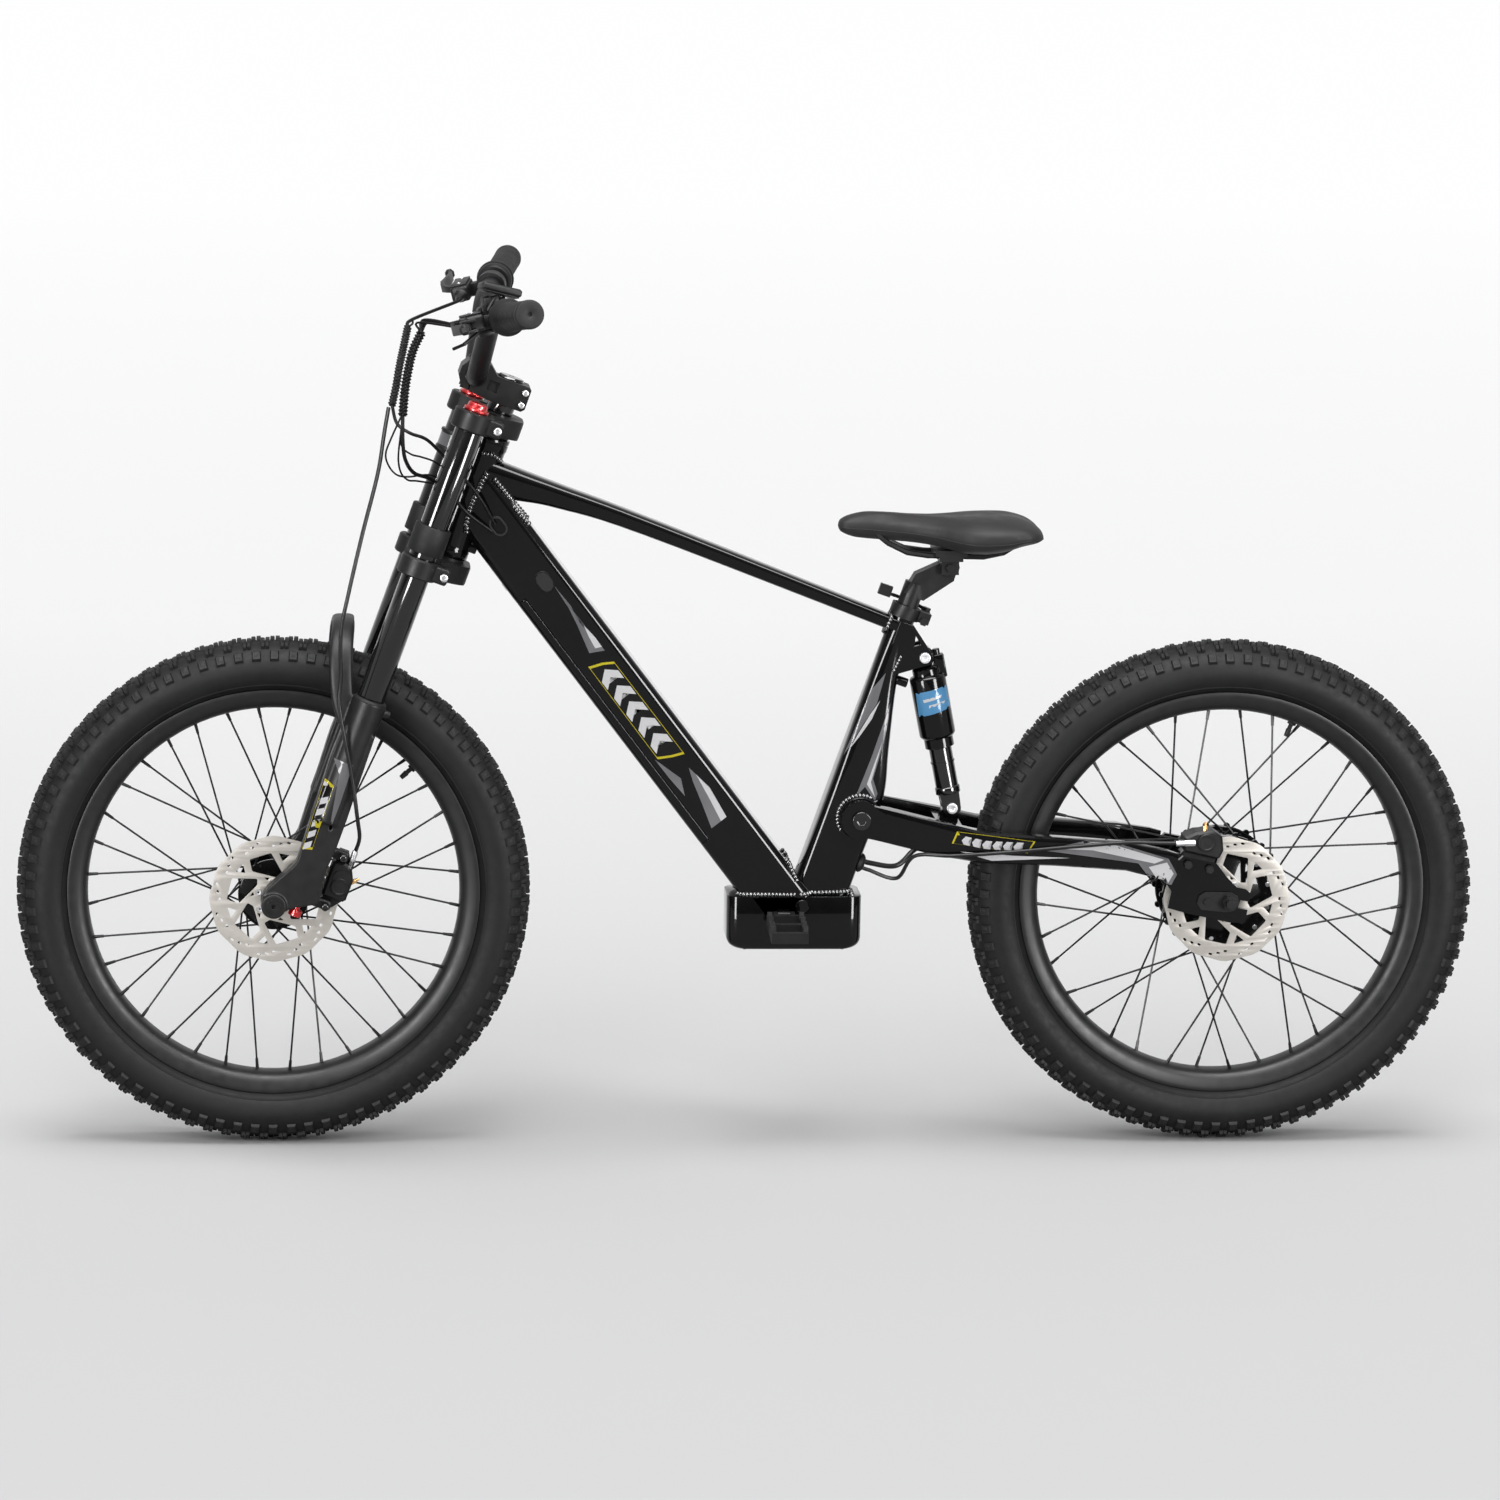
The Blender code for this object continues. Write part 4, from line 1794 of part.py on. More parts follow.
def dropout_mesh():
    """The far dropout plate, with its slot open to the rear."""
    x = ARM_LENGTH
    outline = [
        (x - 0.0917, 0.0140), (x - 0.0747, -0.0016), (x - 0.0743, -0.0238),
        (x - 0.0470, -0.0255), (x + 0.0086, -0.0256),
        (x + 0.0266, -0.0219), (x + 0.0248, 0.0161),
        (x + 0.0167, 0.0205), (x + 0.0052, 0.0203), (x - 0.0105, 0.0310),
        (x - 0.0270, 0.0450), (x - 0.0700, 0.0450),
    ]
    plate = side_plate(outline, ARM_REAR_Y - DROPOUT_THICKNESS, ARM_REAR_Y)
    slot = side_plate(
        [(x - 0.0066, -0.0053), (x + 0.05, -0.0053), (x + 0.05, 0.0053), (x - 0.0066, 0.0053)],
        ARM_REAR_Y - 0.03, ARM_REAR_Y + 0.03,
    )
    pad = drum(0.0135, ARM_REAR_Y - DROPOUT_THICKNESS - 0.0012, ARM_REAR_Y - EMBED, 16, centre=(x, 0, 0))
    return plate, pad, slot


def swingarm_mesh():
    """Both arms, the bridge with the shock's ear, the pivot bosses and the dropouts."""
    plate, pad, slot = dropout_mesh()
    boss = drum(ARM_BOSS_OD / 2, PIVOT_SHELL_WIDTH / 2 + 2 * GAP, ARM_END_Y, 16)
    far = [arm_mesh(), plate, boss]
    near = [mirrored(mesh) for mesh in far]
    bridge = block((BRIDGE_LENGTH, 0.090, BRIDGE_DEPTH), (BRIDGE_X, 0, -0.001), 0.004)
    eye = SWINGARM.inverted() @ SHOCK_FOOT_EYE
    half = SHOCK_EAR_WIDTH / 2
    ear = [(eye.x - 0.013, 0.010), (eye.x + 0.013, 0.010), (eye.x + 0.0100, eye.z)]
    ear += circle(0.0100, 5, (eye.x, eye.z), math.radians(30), math.radians(120))
    ear += [(eye.x - 0.0100, eye.z)]
    ear_plate = side_plate(ear, -half, half)
    solid = fused(bridge, ear_plate, *far, *near)
    cutters = [hole(PIVOT_AXLE_OD / 2, -0.06, 0.06), slot, mirrored(slot)]
    cutters.append(hole(SHOCK_BOLT_OD / 2, -0.03, 0.03, 12, centre=eye))
    cutters += [
        hole(CALIPER_BOLT_OD / 2, -0.10, -0.05, 10, centre=(x, 0, z))
        for x, z in rear_caliper_bolts()
    ]
    return cut(solid, *cutters)


def rear_caliper_bolts():
    x = ARM_LENGTH
    return [(x - 0.0625, 0.0365), (x - 0.0345, 0.0365)]


def rear_caliper_mesh():
    x = ARM_LENGTH
    body_outline = [
        (x - 0.0720, 0.0505), (x - 0.0735, 0.0690), (x - 0.0610, 0.0780),
        (x - 0.0390, 0.0845), (x - 0.0270, 0.0790),
        (x - 0.0215, 0.0620), (x - 0.0250, 0.0495),
    ]
    ear_outline = [
        (x - 0.0690, 0.0310), (x - 0.0690, 0.0600), (x - 0.0280, 0.0700), (x - 0.0280, 0.0310),
    ]
    hose_y = ROTOR_Y - CALIPER_FITTING_OUT
    fitting = (Vector((x - 0.0620, hose_y, 0.0640)), Vector((x - 0.0800, hose_y, 0.0600)))
    return caliper_mesh(body_outline, ear_outline, rear_caliper_bolts(), Vector((x, 0, 0)), fitting)


def motor_axle_mesh():
    """The motor's axle with its flats, torque plates and nuts on both sides."""
    radius, half = AXLE_DIAMETER / 2, 0.0945
    shaft = drum(radius, -half, half, 12)
    flats = [
        block((0.05, 2 * half, 0.01), (0, 0, side * (MOTOR_AXLE_FLAT / 2 + 0.005)))
        for side in (1, -1)
    ]
    hub_end = REAR_HUB_WIDTH / 2
    trims = []
    for flat in flats:
        trims.append(cut(flat, block((0.06, 2 * hub_end, 0.02), (0, 0, flat.vertices[0].co.z))))
    shaft = cut(shaft, *trims)
    details = []
    plate_bolt = (-0.0280, -0.0050)
    face = ARM_REAR_Y + GAP
    for side in (1, -1):
        plate_outline = circle(0.0125, 4, plate_bolt, math.radians(110), math.radians(140))
        plate_outline += circle(0.0130, 5, (0.0, 0.0), -math.radians(90), math.radians(180))
        plate = side_plate(plate_outline, *sorted((side * face, side * (face + 0.003))))
        details.append(plate)
        details.append(drum(0.0098, *sorted((side * (face + 0.002), side * (face + 0.0105))), 6))
        details.append(
            drum(
                0.0045, *sorted((side * (face + 0.002), side * (face + 0.0055))), 6,
                centre=(plate_bolt[0], 0, plate_bolt[1]),
            )
        )
    return placed(fused(shaft, *details), Matrix.Translation((ARM_LENGTH, 0, 0)))


def bolt_mesh(radius, head_radius, half, nut_sides=6):
    """A bolt along Y with a round head on the near side and a nut on the far side."""
    shank = drum(radius, -half - 0.002, half + 0.002, 12)
    head = turned([(head_radius, -half - 0.005), (head_radius + 0.0005, -half - GAP)], 16, axis="Y")
    nut = drum(head_radius * 0.95, half + GAP, half + 0.005, nut_sides)
    socket = drum(head_radius * 0.5, -half - 0.01, -half - 0.003, 6)
    return cut(fused(shank, head, nut), socket)


# Shock: the can hangs from the upper eye, the shaft slides in it


def shock_can_mesh():
    """Upper eye, cap with its valve block, air can and seal head, open below for the shaft."""
    radius, neck = SHOCK_CAN_OD / 2, SHOCK_CAN_NECK / 2
    foot = -SHOCK_CAN_FOOT
    profile = [
        (SHOCK_SHAFT_OD / 2 + SLIDE_GAP, foot), (neck, foot),
        (neck, foot + 0.0125), (radius - 0.002, foot + 0.013),
        (radius, foot + 0.017), (radius, -0.026),
        (radius - 0.0025, -0.0235), (0.0175, -0.0225), (0.0175, -0.0165),
    ]
    inner = SHOCK_SHAFT_OD / 2 + SLIDE_GAP
    can = turned(profile + [(0.0120, -0.0120)], 16)
    bore = drum(inner / math.cos(math.pi / 14), foot - 0.01, -0.034, 14, "Z")
    eye = drum(SHOCK_EYE_OD / 2, -SHOCK_EYE_WIDTH / 2, SHOCK_EYE_WIDTH / 2, 12)
    bridge = block((0.020, 0.018, 0.016), (0, 0, -0.012))
    valve = block((0.014, 0.014, 0.030), (0.0180, 0, -0.0160))
    knob = drum(0.0048, -0.004, 0.006, 8, "Z", (0.0165, 0, 0))
    return cut(fused(can, eye, bridge, valve, knob), bore, hole(SHOCK_BOLT_OD / 2, -0.03, 0.03, 12))


def shock_shaft_mesh():
    """Shaft with its travel ring and the fork that holds the swingarm's ear."""
    radius, foot = SHOCK_SHAFT_OD / 2, -SHOCK_LENGTH
    top = -SHOCK_CAN_FOOT + SHAFT_ENGAGED
    ring = -SHOCK_CAN_FOOT - TRAVEL_RING_BELOW
    profile = [
        (0.0158, foot + 0.018), (0.0158, foot + 0.026), (radius, foot + 0.027),
        (radius, ring - 0.0012), (radius + 0.0010, ring - 0.0008),
        (radius + 0.0010, ring + 0.0008), (radius, ring + 0.0012), (radius, top),
    ]
    shaft = turned(profile, 14)
    inner = SHOCK_EAR_WIDTH / 2 + GAP
    prongs = []
    for side in (1, -1):
        ends = sorted((side * inner, side * (inner + EAR_THICKNESS)))
        outline = [(-0.0125, foot + 0.020), (-0.0115, foot)]
        outline += circle(0.0115, 5, (0, foot), math.radians(210), math.radians(120))
        outline += [(0.0115, foot), (0.0125, foot + 0.020)]
        prongs.append(side_plate(outline, *ends))
    return cut(
        fused(shaft, *prongs),
        hole(SHOCK_BOLT_OD / 2 + SHOCK_EYE_PLAY, -0.03, 0.03, 12, centre=(0, 0, foot))
    )


# Cables and hoses, in world places


def ribbed_radii(points, start, end, thin, root, crest):
    """Radii along a cord that is thin at its ends and has a wound wrap between two places."""
    radii = []
    for i in range(len(points)):
        inside = start <= i <= end
        radii.append((crest if (i - start) % 2 else root) if inside else thin)
    return radii


def harness_points(before, wrap, after, ribs):
    """A wrapped stretch with two points for each rib, and smooth thin leads on either side."""
    route = smooth_route(before + wrap + after, 200)

    def nearest(target):
        return min(range(len(route)), key=lambda i: (route[i] - Vector(target)).length)

    start, end = nearest(wrap[0]), nearest(wrap[-1])
    lead = [route[i] for i in np.linspace(0, start, LEAD_POINTS, dtype=int)[:-1]] if start else []
    middle_places = np.linspace(start, end, 2 * ribs)
    middle = [
        route[int(place)].lerp(route[min(int(place) + 1, len(route) - 1)], float(place % 1))
        for place in middle_places
    ]
    tail = [route[i] for i in np.linspace(end, len(route) - 1, TAIL_POINTS, dtype=int)[1:]]
    return lead + middle + tail, len(lead), len(lead) + 2 * ribs - 1


def on_fork(x, y, z):
    return FORK @ Vector((x, y, z))


def on_arm(x, y, z):
    return SWINGARM @ Vector((x, y, z))


def far_cable_start():
    """At the far brake's hose fitting."""
    return FAR_BAR @ Vector((-0.036, CLAMP_PLACE - 0.0380, 0.0))


def near_cable_start():
    return NEAR_BAR @ Vector((-0.036, -CLAMP_PLACE + 0.0380, 0.0))


def fork_route(*places):
    return [on_fork(*place) for place in places]


def add_steering_cords(steering):
    """The far and the near wrapped cables, into the frame's port, and the front brake's hose."""
    port = cable_port_place()
    head = HEAD_TUBE_FOOT
    before = [far_cable_start(), FAR_BAR @ Vector((-0.0365, CLAMP_PLACE - 0.0520, 0.0))]
    before += fork_route((-0.1379, 0.0580, head + 0.2445))
    wrap = fork_route(
        (-0.1403, 0.0420, head + 0.2352), (-0.1381, 0.0180, head + 0.2126),
        (-0.1360, -0.0050, head + 0.1911),
        (-0.1323, -0.0200, head + 0.1677), (-0.1300, -0.0350, head + 0.1456),
    )
    after = fork_route(
        (-0.1168, -0.0430, head + 0.1268), (-0.0980, -0.0500, head + 0.1218),
        (-0.0743, -0.0500, head + 0.1207),
        (-0.0395, -0.0470, head + 0.1033), (0.0069, -0.0455, head + 0.0773),
    )
    after.append(port @ Vector((-0.002, 0.0145, 0.0070)))
    points, start, end = harness_points(before, wrap, after, FAR_RIBS)
    cord("harness_right", points, ribbed_radii(points, start, end, *FAR_WRAP_RADII), "rubber", steering)

    before = [near_cable_start(), NEAR_BAR @ Vector((-0.0370, -CLAMP_PLACE + 0.0500, -0.001))]
    before += fork_route((-0.1320, -0.1120, head + 0.2657))
    wrap = fork_route(
        (-0.1310, -0.1120, head + 0.2500), (-0.1326, -0.1040, head + 0.2256),
        (-0.1298, -0.0980, head + 0.2014),
        (-0.1246, -0.0940, head + 0.1744), (-0.1164, -0.0920, head + 0.1439),
    )
    after = fork_route(
        (-0.1050, -0.0900, head + 0.1130), (-0.0940, -0.0840, head + 0.0925),
        (-0.0776, -0.0700, head + 0.0792),
        (-0.0545, -0.0520, head + 0.0767),
        (-0.0243, -0.0470, head + 0.0662), (0.0034, -0.0455, head + 0.0511),
    )
    after.append(port @ Vector((-0.0119, 0.0, 0.0060)))
    points, start, end = harness_points(before, wrap, after, NEAR_RIBS)
    cord("harness_left", points, ribbed_radii(points, start, end, *NEAR_WRAP_RADII), "rubber", steering)

    seal = SEAL_HEIGHT
    fitting = (CALIPER_BOLT_X + CALIPER_FITTING_X, ROTOR_Y - CALIPER_FITTING_OUT)
    knots = fork_route(
        (-0.1332, -0.0420, head + 0.1417), (-0.1282, -0.0580, head + 0.1111),
        (-0.1200, -0.0800, head + 0.0641),
        (-0.1139, -0.1080, head - 0.0101), (-0.1050, -0.1180, seal + 0.1169),
        (-0.0978, -0.1180, seal + 0.0723),
        (-0.0780, -0.1120, seal + 0.0169), (-0.0700, -0.1110, seal - 0.0120),
        (-0.0480, -0.1110, seal - 0.0520),
        (-0.0225, -0.1070, 0.1860), (0.0010, -0.1040, 0.1400), (0.0130, -0.0880, 0.1150),
        (*fitting, CALIPER_BOLTS_Z[1] + 0.0100), (*fitting, CALIPER_BOLTS_Z[1] - 0.0020),
    )
    points = smooth_route(knots, 26)
    cord("front_brake_hose", points, [HOSE_OD / 2] * len(points), "rubber", steering)


def add_arm_cords(arm):
    """The rear brake's hose and the motor's cable, from the frame's grommet along the swingarm."""
    face = SEAT_TUBE_FOOT_DEPTH - SEAT_TUBE_OD / 2 + 0.0080

    def from_grommet(across, up):
        return [
            SEAT_TUBE @ Vector((face + out, GROMMET_Y + across, GROMMET_HEIGHT + up))
            for out in (0.0, 0.006)
        ]

    hose_y = ROTOR_Y - CALIPER_FITTING_OUT
    knots = from_grommet(-0.0050, -0.0045) + [PIVOT + Vector((0.0475, -0.032, -0.0765))]
    knots += [
        on_arm(BRIDGE_X - 0.037, -0.0520, -0.0290), on_arm(BRIDGE_X + 0.008, -0.0715, -0.0150),
        on_arm(0.401 * ARM_LENGTH, -0.0730, 0.0050), on_arm(0.549 * ARM_LENGTH, -0.0755, 0.0270),
        on_arm(ARM_LENGTH - 0.1436, -0.0775, 0.0480),
        on_arm(ARM_LENGTH - 0.1000, hose_y, 0.0560), on_arm(ARM_LENGTH - 0.0812, hose_y, 0.0597),
    ]
    points = smooth_route(knots, 26)
    cord("rear_brake_hose", points, [HOSE_OD / 2] * len(points), "rubber", arm)

    knots = from_grommet(0.0040, 0.0030) + [PIVOT + Vector((0.0495, -0.0120, -0.0645))]
    knots += [
        on_arm(BRIDGE_X - 0.027, 0.0060, -0.0290), on_arm(BRIDGE_X + 0.010, 0.0420, -0.0275),
        on_arm(BRIDGE_X + 0.045, 0.0550, -0.0235), on_arm(ARM_KNEE_SHARE * ARM_LENGTH, 0.0570, -0.0150),
        on_arm(ARM_WAIST_SHARE * ARM_LENGTH, 0.0585, -0.0070), on_arm(ARM_LENGTH - 0.1356, 0.0620, 0.0060),
        on_arm(ARM_LENGTH - 0.0886, 0.0630, 0.0000), on_arm(ARM_LENGTH - 0.030, 0.0628, -0.0160),
    ]
    points = smooth_route(knots, 24)
    cord("motor_cable", points, [MOTOR_CABLE_OD / 2] * len(points), "rubber", arm)


# Assembly


def assemble():
    frame_body = body("frame_axis", Matrix.Identity(4))
    piece("main_frame", main_frame_mesh(), "gloss_black", frame_body)
    piece("battery_pack", battery_mesh(), "battery_wrap", frame_body, DOWN_TUBE)
    piece("battery_cover", battery_cover_mesh(), "gloss_black", frame_body, DOWN_TUBE)
    piece("motor_controller", controller_mesh(), "dark_cast", frame_body)
    piece("controller_lid", lid_mesh(), "satin_black", frame_body)
    piece("seat_clamp", clamp_mesh(), "satin_black", frame_body, SEAT_TUBE)
    pivot_half = ARM_END_Y
    piece(
        "pivot_axle", bolt_mesh(PIVOT_AXLE_OD / 2, 0.0117, pivot_half, 16), "black_chrome", frame_body,
        Matrix.Translation(PIVOT)
    )
    shock_half = SHOCK_EYE_WIDTH / 2 + GAP + EAR_THICKNESS
    piece(
        "shock_upper_bolt", bolt_mesh(SHOCK_BOLT_OD / 2, 0.0068, shock_half), "bright_steel",
        frame_body, SHOCK
    )

    lock = body("lock_axis", lock_place())
    piece("lock_barrel", lock_mesh(), "bright_steel", lock)
    cover_axis = charge_port_place() @ Matrix.Translation((0, -0.0165, 0.0010))
    cover = body("charge_cover_axis", cover_axis)
    piece("charge_port_cover", charge_cover_mesh(), "rubber", cover, charge_port_place())
    clamp_pin = SEAT_TUBE @ Matrix.Translation((0.0275, 0.0200, SEAT_TUBE_LENGTH))
    lever_axis = body("clamp_lever_axis", clamp_pin)
    piece("seat_clamp_lever", clamp_lever_mesh(), "satin_black", lever_axis)
    for name, side in (("left", -1), ("right", 1)):
        peg = body(name + "_peg_axis", Matrix.Translation(peg_hinge(side)))
        piece(name + "_foot_peg", peg_mesh(side), "dark_cast", peg)

    post = body("seatpost_axis", SEAT_TUBE)
    piece("seatpost", seatpost_mesh(), "satin_black", post, Matrix.Identity(4))
    tilt = body("saddle_axis", Matrix.Translation(SADDLE_HINGE))
    piece("saddle_rails", saddle_rails_mesh(), "satin_black", tilt, Matrix.Identity(4))
    piece("saddle", saddle_mesh(), "saddle_cover", tilt, Matrix.Identity(4), smooth=math.radians(60))

    steering = body("steering_axis", FORK)
    piece("steerer_tube", steerer_mesh(), "bright_steel", steering)
    piece("lower_crown", crown_mesh(LOWER_CROWN_HEIGHT, True), "dark_cast", steering)
    piece("upper_crown", crown_mesh(UPPER_CROWN_HEIGHT, False), "dark_cast", steering)
    piece("stem", stem_mesh(), "dark_cast", steering)
    piece("handlebar", handlebar_mesh(), "satin_black", steering)
    for name, side, bar in (("left", -1, NEAR_BAR), ("right", 1, FAR_BAR)):
        piece(name + "_stanchion", stanchion_mesh(side), "black_chrome", steering)
        cap_axis = FORK @ Matrix.Translation((-STANCHION_SET, side * STANCHION_Y, CROWN_TOP))
        cap = body(name + "_cap_axis", cap_axis)
        piece(name + "_fork_cap", fork_cap_mesh(), "red_anodised", cap)
        piece(name + "_brake_clamp", both_ways(brake_clamp_mesh(), side), "satin_black", steering, bar)
        lever_pin = bar @ Matrix.Translation((LEVER_PIN_X, side * (CLAMP_PLACE + 0.022), 0))
        lever = body(name + "_lever_axis", lever_pin)
        piece(name + "_brake_lever", both_ways(lever_mesh(), side), "satin_black", lever)
    piece("left_grip", both_ways(grip_mesh(), -1), "rubber", steering, NEAR_BAR)
    piece("throttle_housing", throttle_housing_mesh(), "plastic", steering, FAR_BAR)
    throttle = body("throttle_axis", FAR_BAR)
    piece("throttle_grip", throttle_grip_mesh(), "rubber", throttle)
    piece("display_unit", both_ways(display_mesh(), -1), "plastic", steering, NEAR_BAR)
    button_axis = NEAR_BAR @ Matrix.Translation((0.020, -DISPLAY_PLACE - 0.016, 0.0390))
    button = body("button_axis", button_axis)
    piece("display_button", button_mesh(), "rubber", button)

    lowers = body("fork_slide_axis", FORK)
    piece("fork_lowers", fork_lowers_mesh(), "dark_cast", lowers)
    piece("front_axle", front_axle_mesh(), "satin_black", lowers)
    piece("front_caliper", front_caliper_mesh(), "satin_black", lowers)
    knob_axis = FORK @ Matrix.Translation((KNOB_X, -STANCHION_Y, KNOB_SEAT))
    knob = body("rebound_knob_axis", knob_axis)
    piece("rebound_knob", rebound_knob_mesh(), "red_anodised", knob)

    arm = body("swingarm_axis", SWINGARM)
    piece("swingarm", swingarm_mesh(), "gloss_black", arm)
    piece("rear_caliper", rear_caliper_mesh(), "satin_black", arm)
    piece("motor_axle", motor_axle_mesh(), "satin_black", arm)
    prong_half = SHOCK_EAR_WIDTH / 2 + GAP + EAR_THICKNESS + GAP
    lower_eye = leaning(SHOCK_FOOT_EYE, SHOCK_TILT)
    piece(
        "shock_lower_bolt", bolt_mesh(SHOCK_BOLT_OD / 2, 0.0068, prong_half), "bright_steel", arm,
        lower_eye
    )

    can = body("shock_swing_axis", SHOCK)
    piece("shock_can", shock_can_mesh(), "gloss_black", can)
    shaft = body("shock_slide_axis", SHOCK)
    piece("shock_shaft", shock_shaft_mesh(), "black_chrome", shaft)

    build_wheel("front", FRONT_AXLE, FRONT_VALVE_ANGLE, "front_hub", front_hub_mesh(), "satin_black")
    build_wheel("rear", REAR_AXLE, REAR_VALVE_ANGLE, "rear_hub_motor", motor_hub_mesh(), "gloss_black")
    add_steering_cords(steering)
    add_arm_cords(arm)


assemble()
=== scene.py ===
"""Looks for the electric bicycle: fine pieces, finishes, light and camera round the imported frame."""

import math
import random

import bmesh
import bpy
import numpy as np
from mathutils import Matrix, Vector
from mathutils.bvhtree import BVHTree


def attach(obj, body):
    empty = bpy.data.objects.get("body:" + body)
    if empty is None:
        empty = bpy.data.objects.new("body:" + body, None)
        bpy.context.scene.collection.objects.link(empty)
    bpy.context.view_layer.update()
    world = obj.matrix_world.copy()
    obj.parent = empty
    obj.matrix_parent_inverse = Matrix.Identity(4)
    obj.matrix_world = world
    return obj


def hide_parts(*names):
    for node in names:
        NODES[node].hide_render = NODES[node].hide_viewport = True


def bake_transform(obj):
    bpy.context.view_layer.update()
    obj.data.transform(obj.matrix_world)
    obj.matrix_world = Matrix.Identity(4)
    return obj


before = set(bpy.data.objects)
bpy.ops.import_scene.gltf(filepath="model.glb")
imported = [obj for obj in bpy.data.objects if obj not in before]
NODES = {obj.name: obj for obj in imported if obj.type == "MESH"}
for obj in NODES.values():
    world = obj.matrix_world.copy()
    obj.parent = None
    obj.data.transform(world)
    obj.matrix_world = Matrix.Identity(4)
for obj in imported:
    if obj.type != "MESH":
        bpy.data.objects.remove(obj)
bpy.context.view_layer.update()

PHOTO_SIZE = 1500

# Camera, in metres, radians and pixels of the photograph, with its sensor in millimetres
CAMERA_PLACE = Vector((-0.5634, -6.5, 1.7488))
CAMERA_YAW = 0.06253
CAMERA_PITCH = 0.1550
CAMERA_ROLL = 0.01358
CAMERA_FOCAL_PIXELS = 5262.6
CAMERA_SHIFT = (0.08, -0.12)
SENSOR = 36.0

# The wheels' driving sizes, in metres
WHEELBASE = 1.200
TYRE_RADIUS = 0.323


def add_camera():
    """The camera that sees what the photograph sees."""
    data = bpy.data.cameras.new("camera")
    camera = added("camera", data)
    bpy.context.scene.camera = camera
    ahead = Vector((
        math.sin(CAMERA_YAW) * math.cos(CAMERA_PITCH),
        math.cos(CAMERA_YAW) * math.cos(CAMERA_PITCH),
        -math.sin(CAMERA_PITCH),
    ))
    right = Vector((math.cos(CAMERA_YAW), -math.sin(CAMERA_YAW), 0))
    up = right.cross(ahead)
    turned_right = right * math.cos(CAMERA_ROLL) + up * math.sin(CAMERA_ROLL)
    turned_up = up * math.cos(CAMERA_ROLL) - right * math.sin(CAMERA_ROLL)
    matrix = Matrix((turned_right, turned_up, -ahead)).transposed().to_4x4()
    matrix.translation = CAMERA_PLACE
    camera.matrix_world = matrix
    data.sensor_width = SENSOR
    data.lens = CAMERA_FOCAL_PIXELS * SENSOR / PHOTO_SIZE
    data.shift_x, data.shift_y = CAMERA_SHIFT
    data.clip_start, data.clip_end = 0.1, 400.0


# Node material helpers

NOISE_ROUGHNESS = 0.55


def new_material(name):
    made = bpy.data.materials.new(name)
    made.use_nodes = True
    tree = made.node_tree
    return made, tree, tree.nodes["Principled BSDF"]


def set_inputs(node, values):
    for name, value in values.items():
        node.inputs[name].default_value = value


def noise_of(tree, vector, scale, detail=3.0):
    node = tree.nodes.new("ShaderNodeTexNoise")
    set_inputs(node, {"Scale": scale, "Detail": detail, "Roughness": NOISE_ROUGHNESS})
    tree.links.new(vector, node.inputs["Vector"])
    return node.outputs["Fac"]


def ranged(tree, value, low, high, from_low=0.3, from_high=0.7):
    node = tree.nodes.new("ShaderNodeMapRange")
    set_inputs(node, {"From Min": from_low, "From Max": from_high, "To Min": low, "To Max": high})
    tree.links.new(value, node.inputs["Value"])
    return node.outputs["Result"]


def mixed(tree, factor, first, second):
    """A colour between two, which are colours or sockets."""
    node = tree.nodes.new("ShaderNodeMix")
    node.data_type = "RGBA"
    tree.links.new(factor, node.inputs["Factor"])
    for socket, value in ((node.inputs[6], first), (node.inputs[7], second)):
        if isinstance(value, bpy.types.NodeSocket):
            tree.links.new(value, socket)
        else:
            socket.default_value = (*value, 1)
    return node.outputs[2]


def bumped(tree, shader, height, strength, depth):
    """A bump of a height socket, its depth in metres."""
    node = tree.nodes.new("ShaderNodeBump")
    set_inputs(node, {"Strength": strength, "Distance": depth})
    tree.links.new(height, node.inputs["Height"])
    tree.links.new(node.outputs["Normal"], shader.inputs["Normal"])


def object_place(tree):
    return tree.nodes.new("ShaderNodeTexCoord").outputs["Object"]


def separated(tree, vector):
    """The three numbers of a vector socket."""
    node = tree.nodes.new("ShaderNodeSeparateXYZ")
    tree.links.new(vector, node.inputs["Vector"])
    return node.outputs


def finish_of(name, dark, light, rough, metallic=0.0, coat=0.0, coat_rough=0.05, patch=25.0, grain=900.0,
              grain_depth=0.00004, grain_strength=0.25, wear=0.0, specular=0.5):
    """A worn-in surface: colour and roughness drift over patches, with a fine grain and paler edges."""
    made, tree, shader = new_material(name)
    place = object_place(tree)
    drift = ranged(tree, noise_of(tree, place, patch, 4.0), 0.0, 1.0)
    colour = mixed(tree, drift, dark, light)
    if wear:
        edges = tree.nodes.new("ShaderNodeNewGeometry").outputs["Pointiness"]
        rub = ranged(tree, edges, 0.0, wear, 0.505, 0.56)
        paler = tuple(min(1.0, 3.0 * part + 0.02) for part in light)
        colour = mixed(tree, rub, colour, paler)
    tree.links.new(colour, shader.inputs["Base Color"])
    fine = noise_of(tree, place, grain, 2.0)
    spread = ranged(tree, noise_of(tree, place, patch * 3.1, 3.0), rough * 0.88, min(1.0, rough * 1.14))
    tree.links.new(spread, shader.inputs["Roughness"])
    set_inputs(shader, {"Metallic": metallic, "Coat Weight": coat, "Coat Roughness": coat_rough,
                        "Specular IOR Level": specular})
    bumped(tree, shader, fine, grain_strength, grain_depth)
    return made


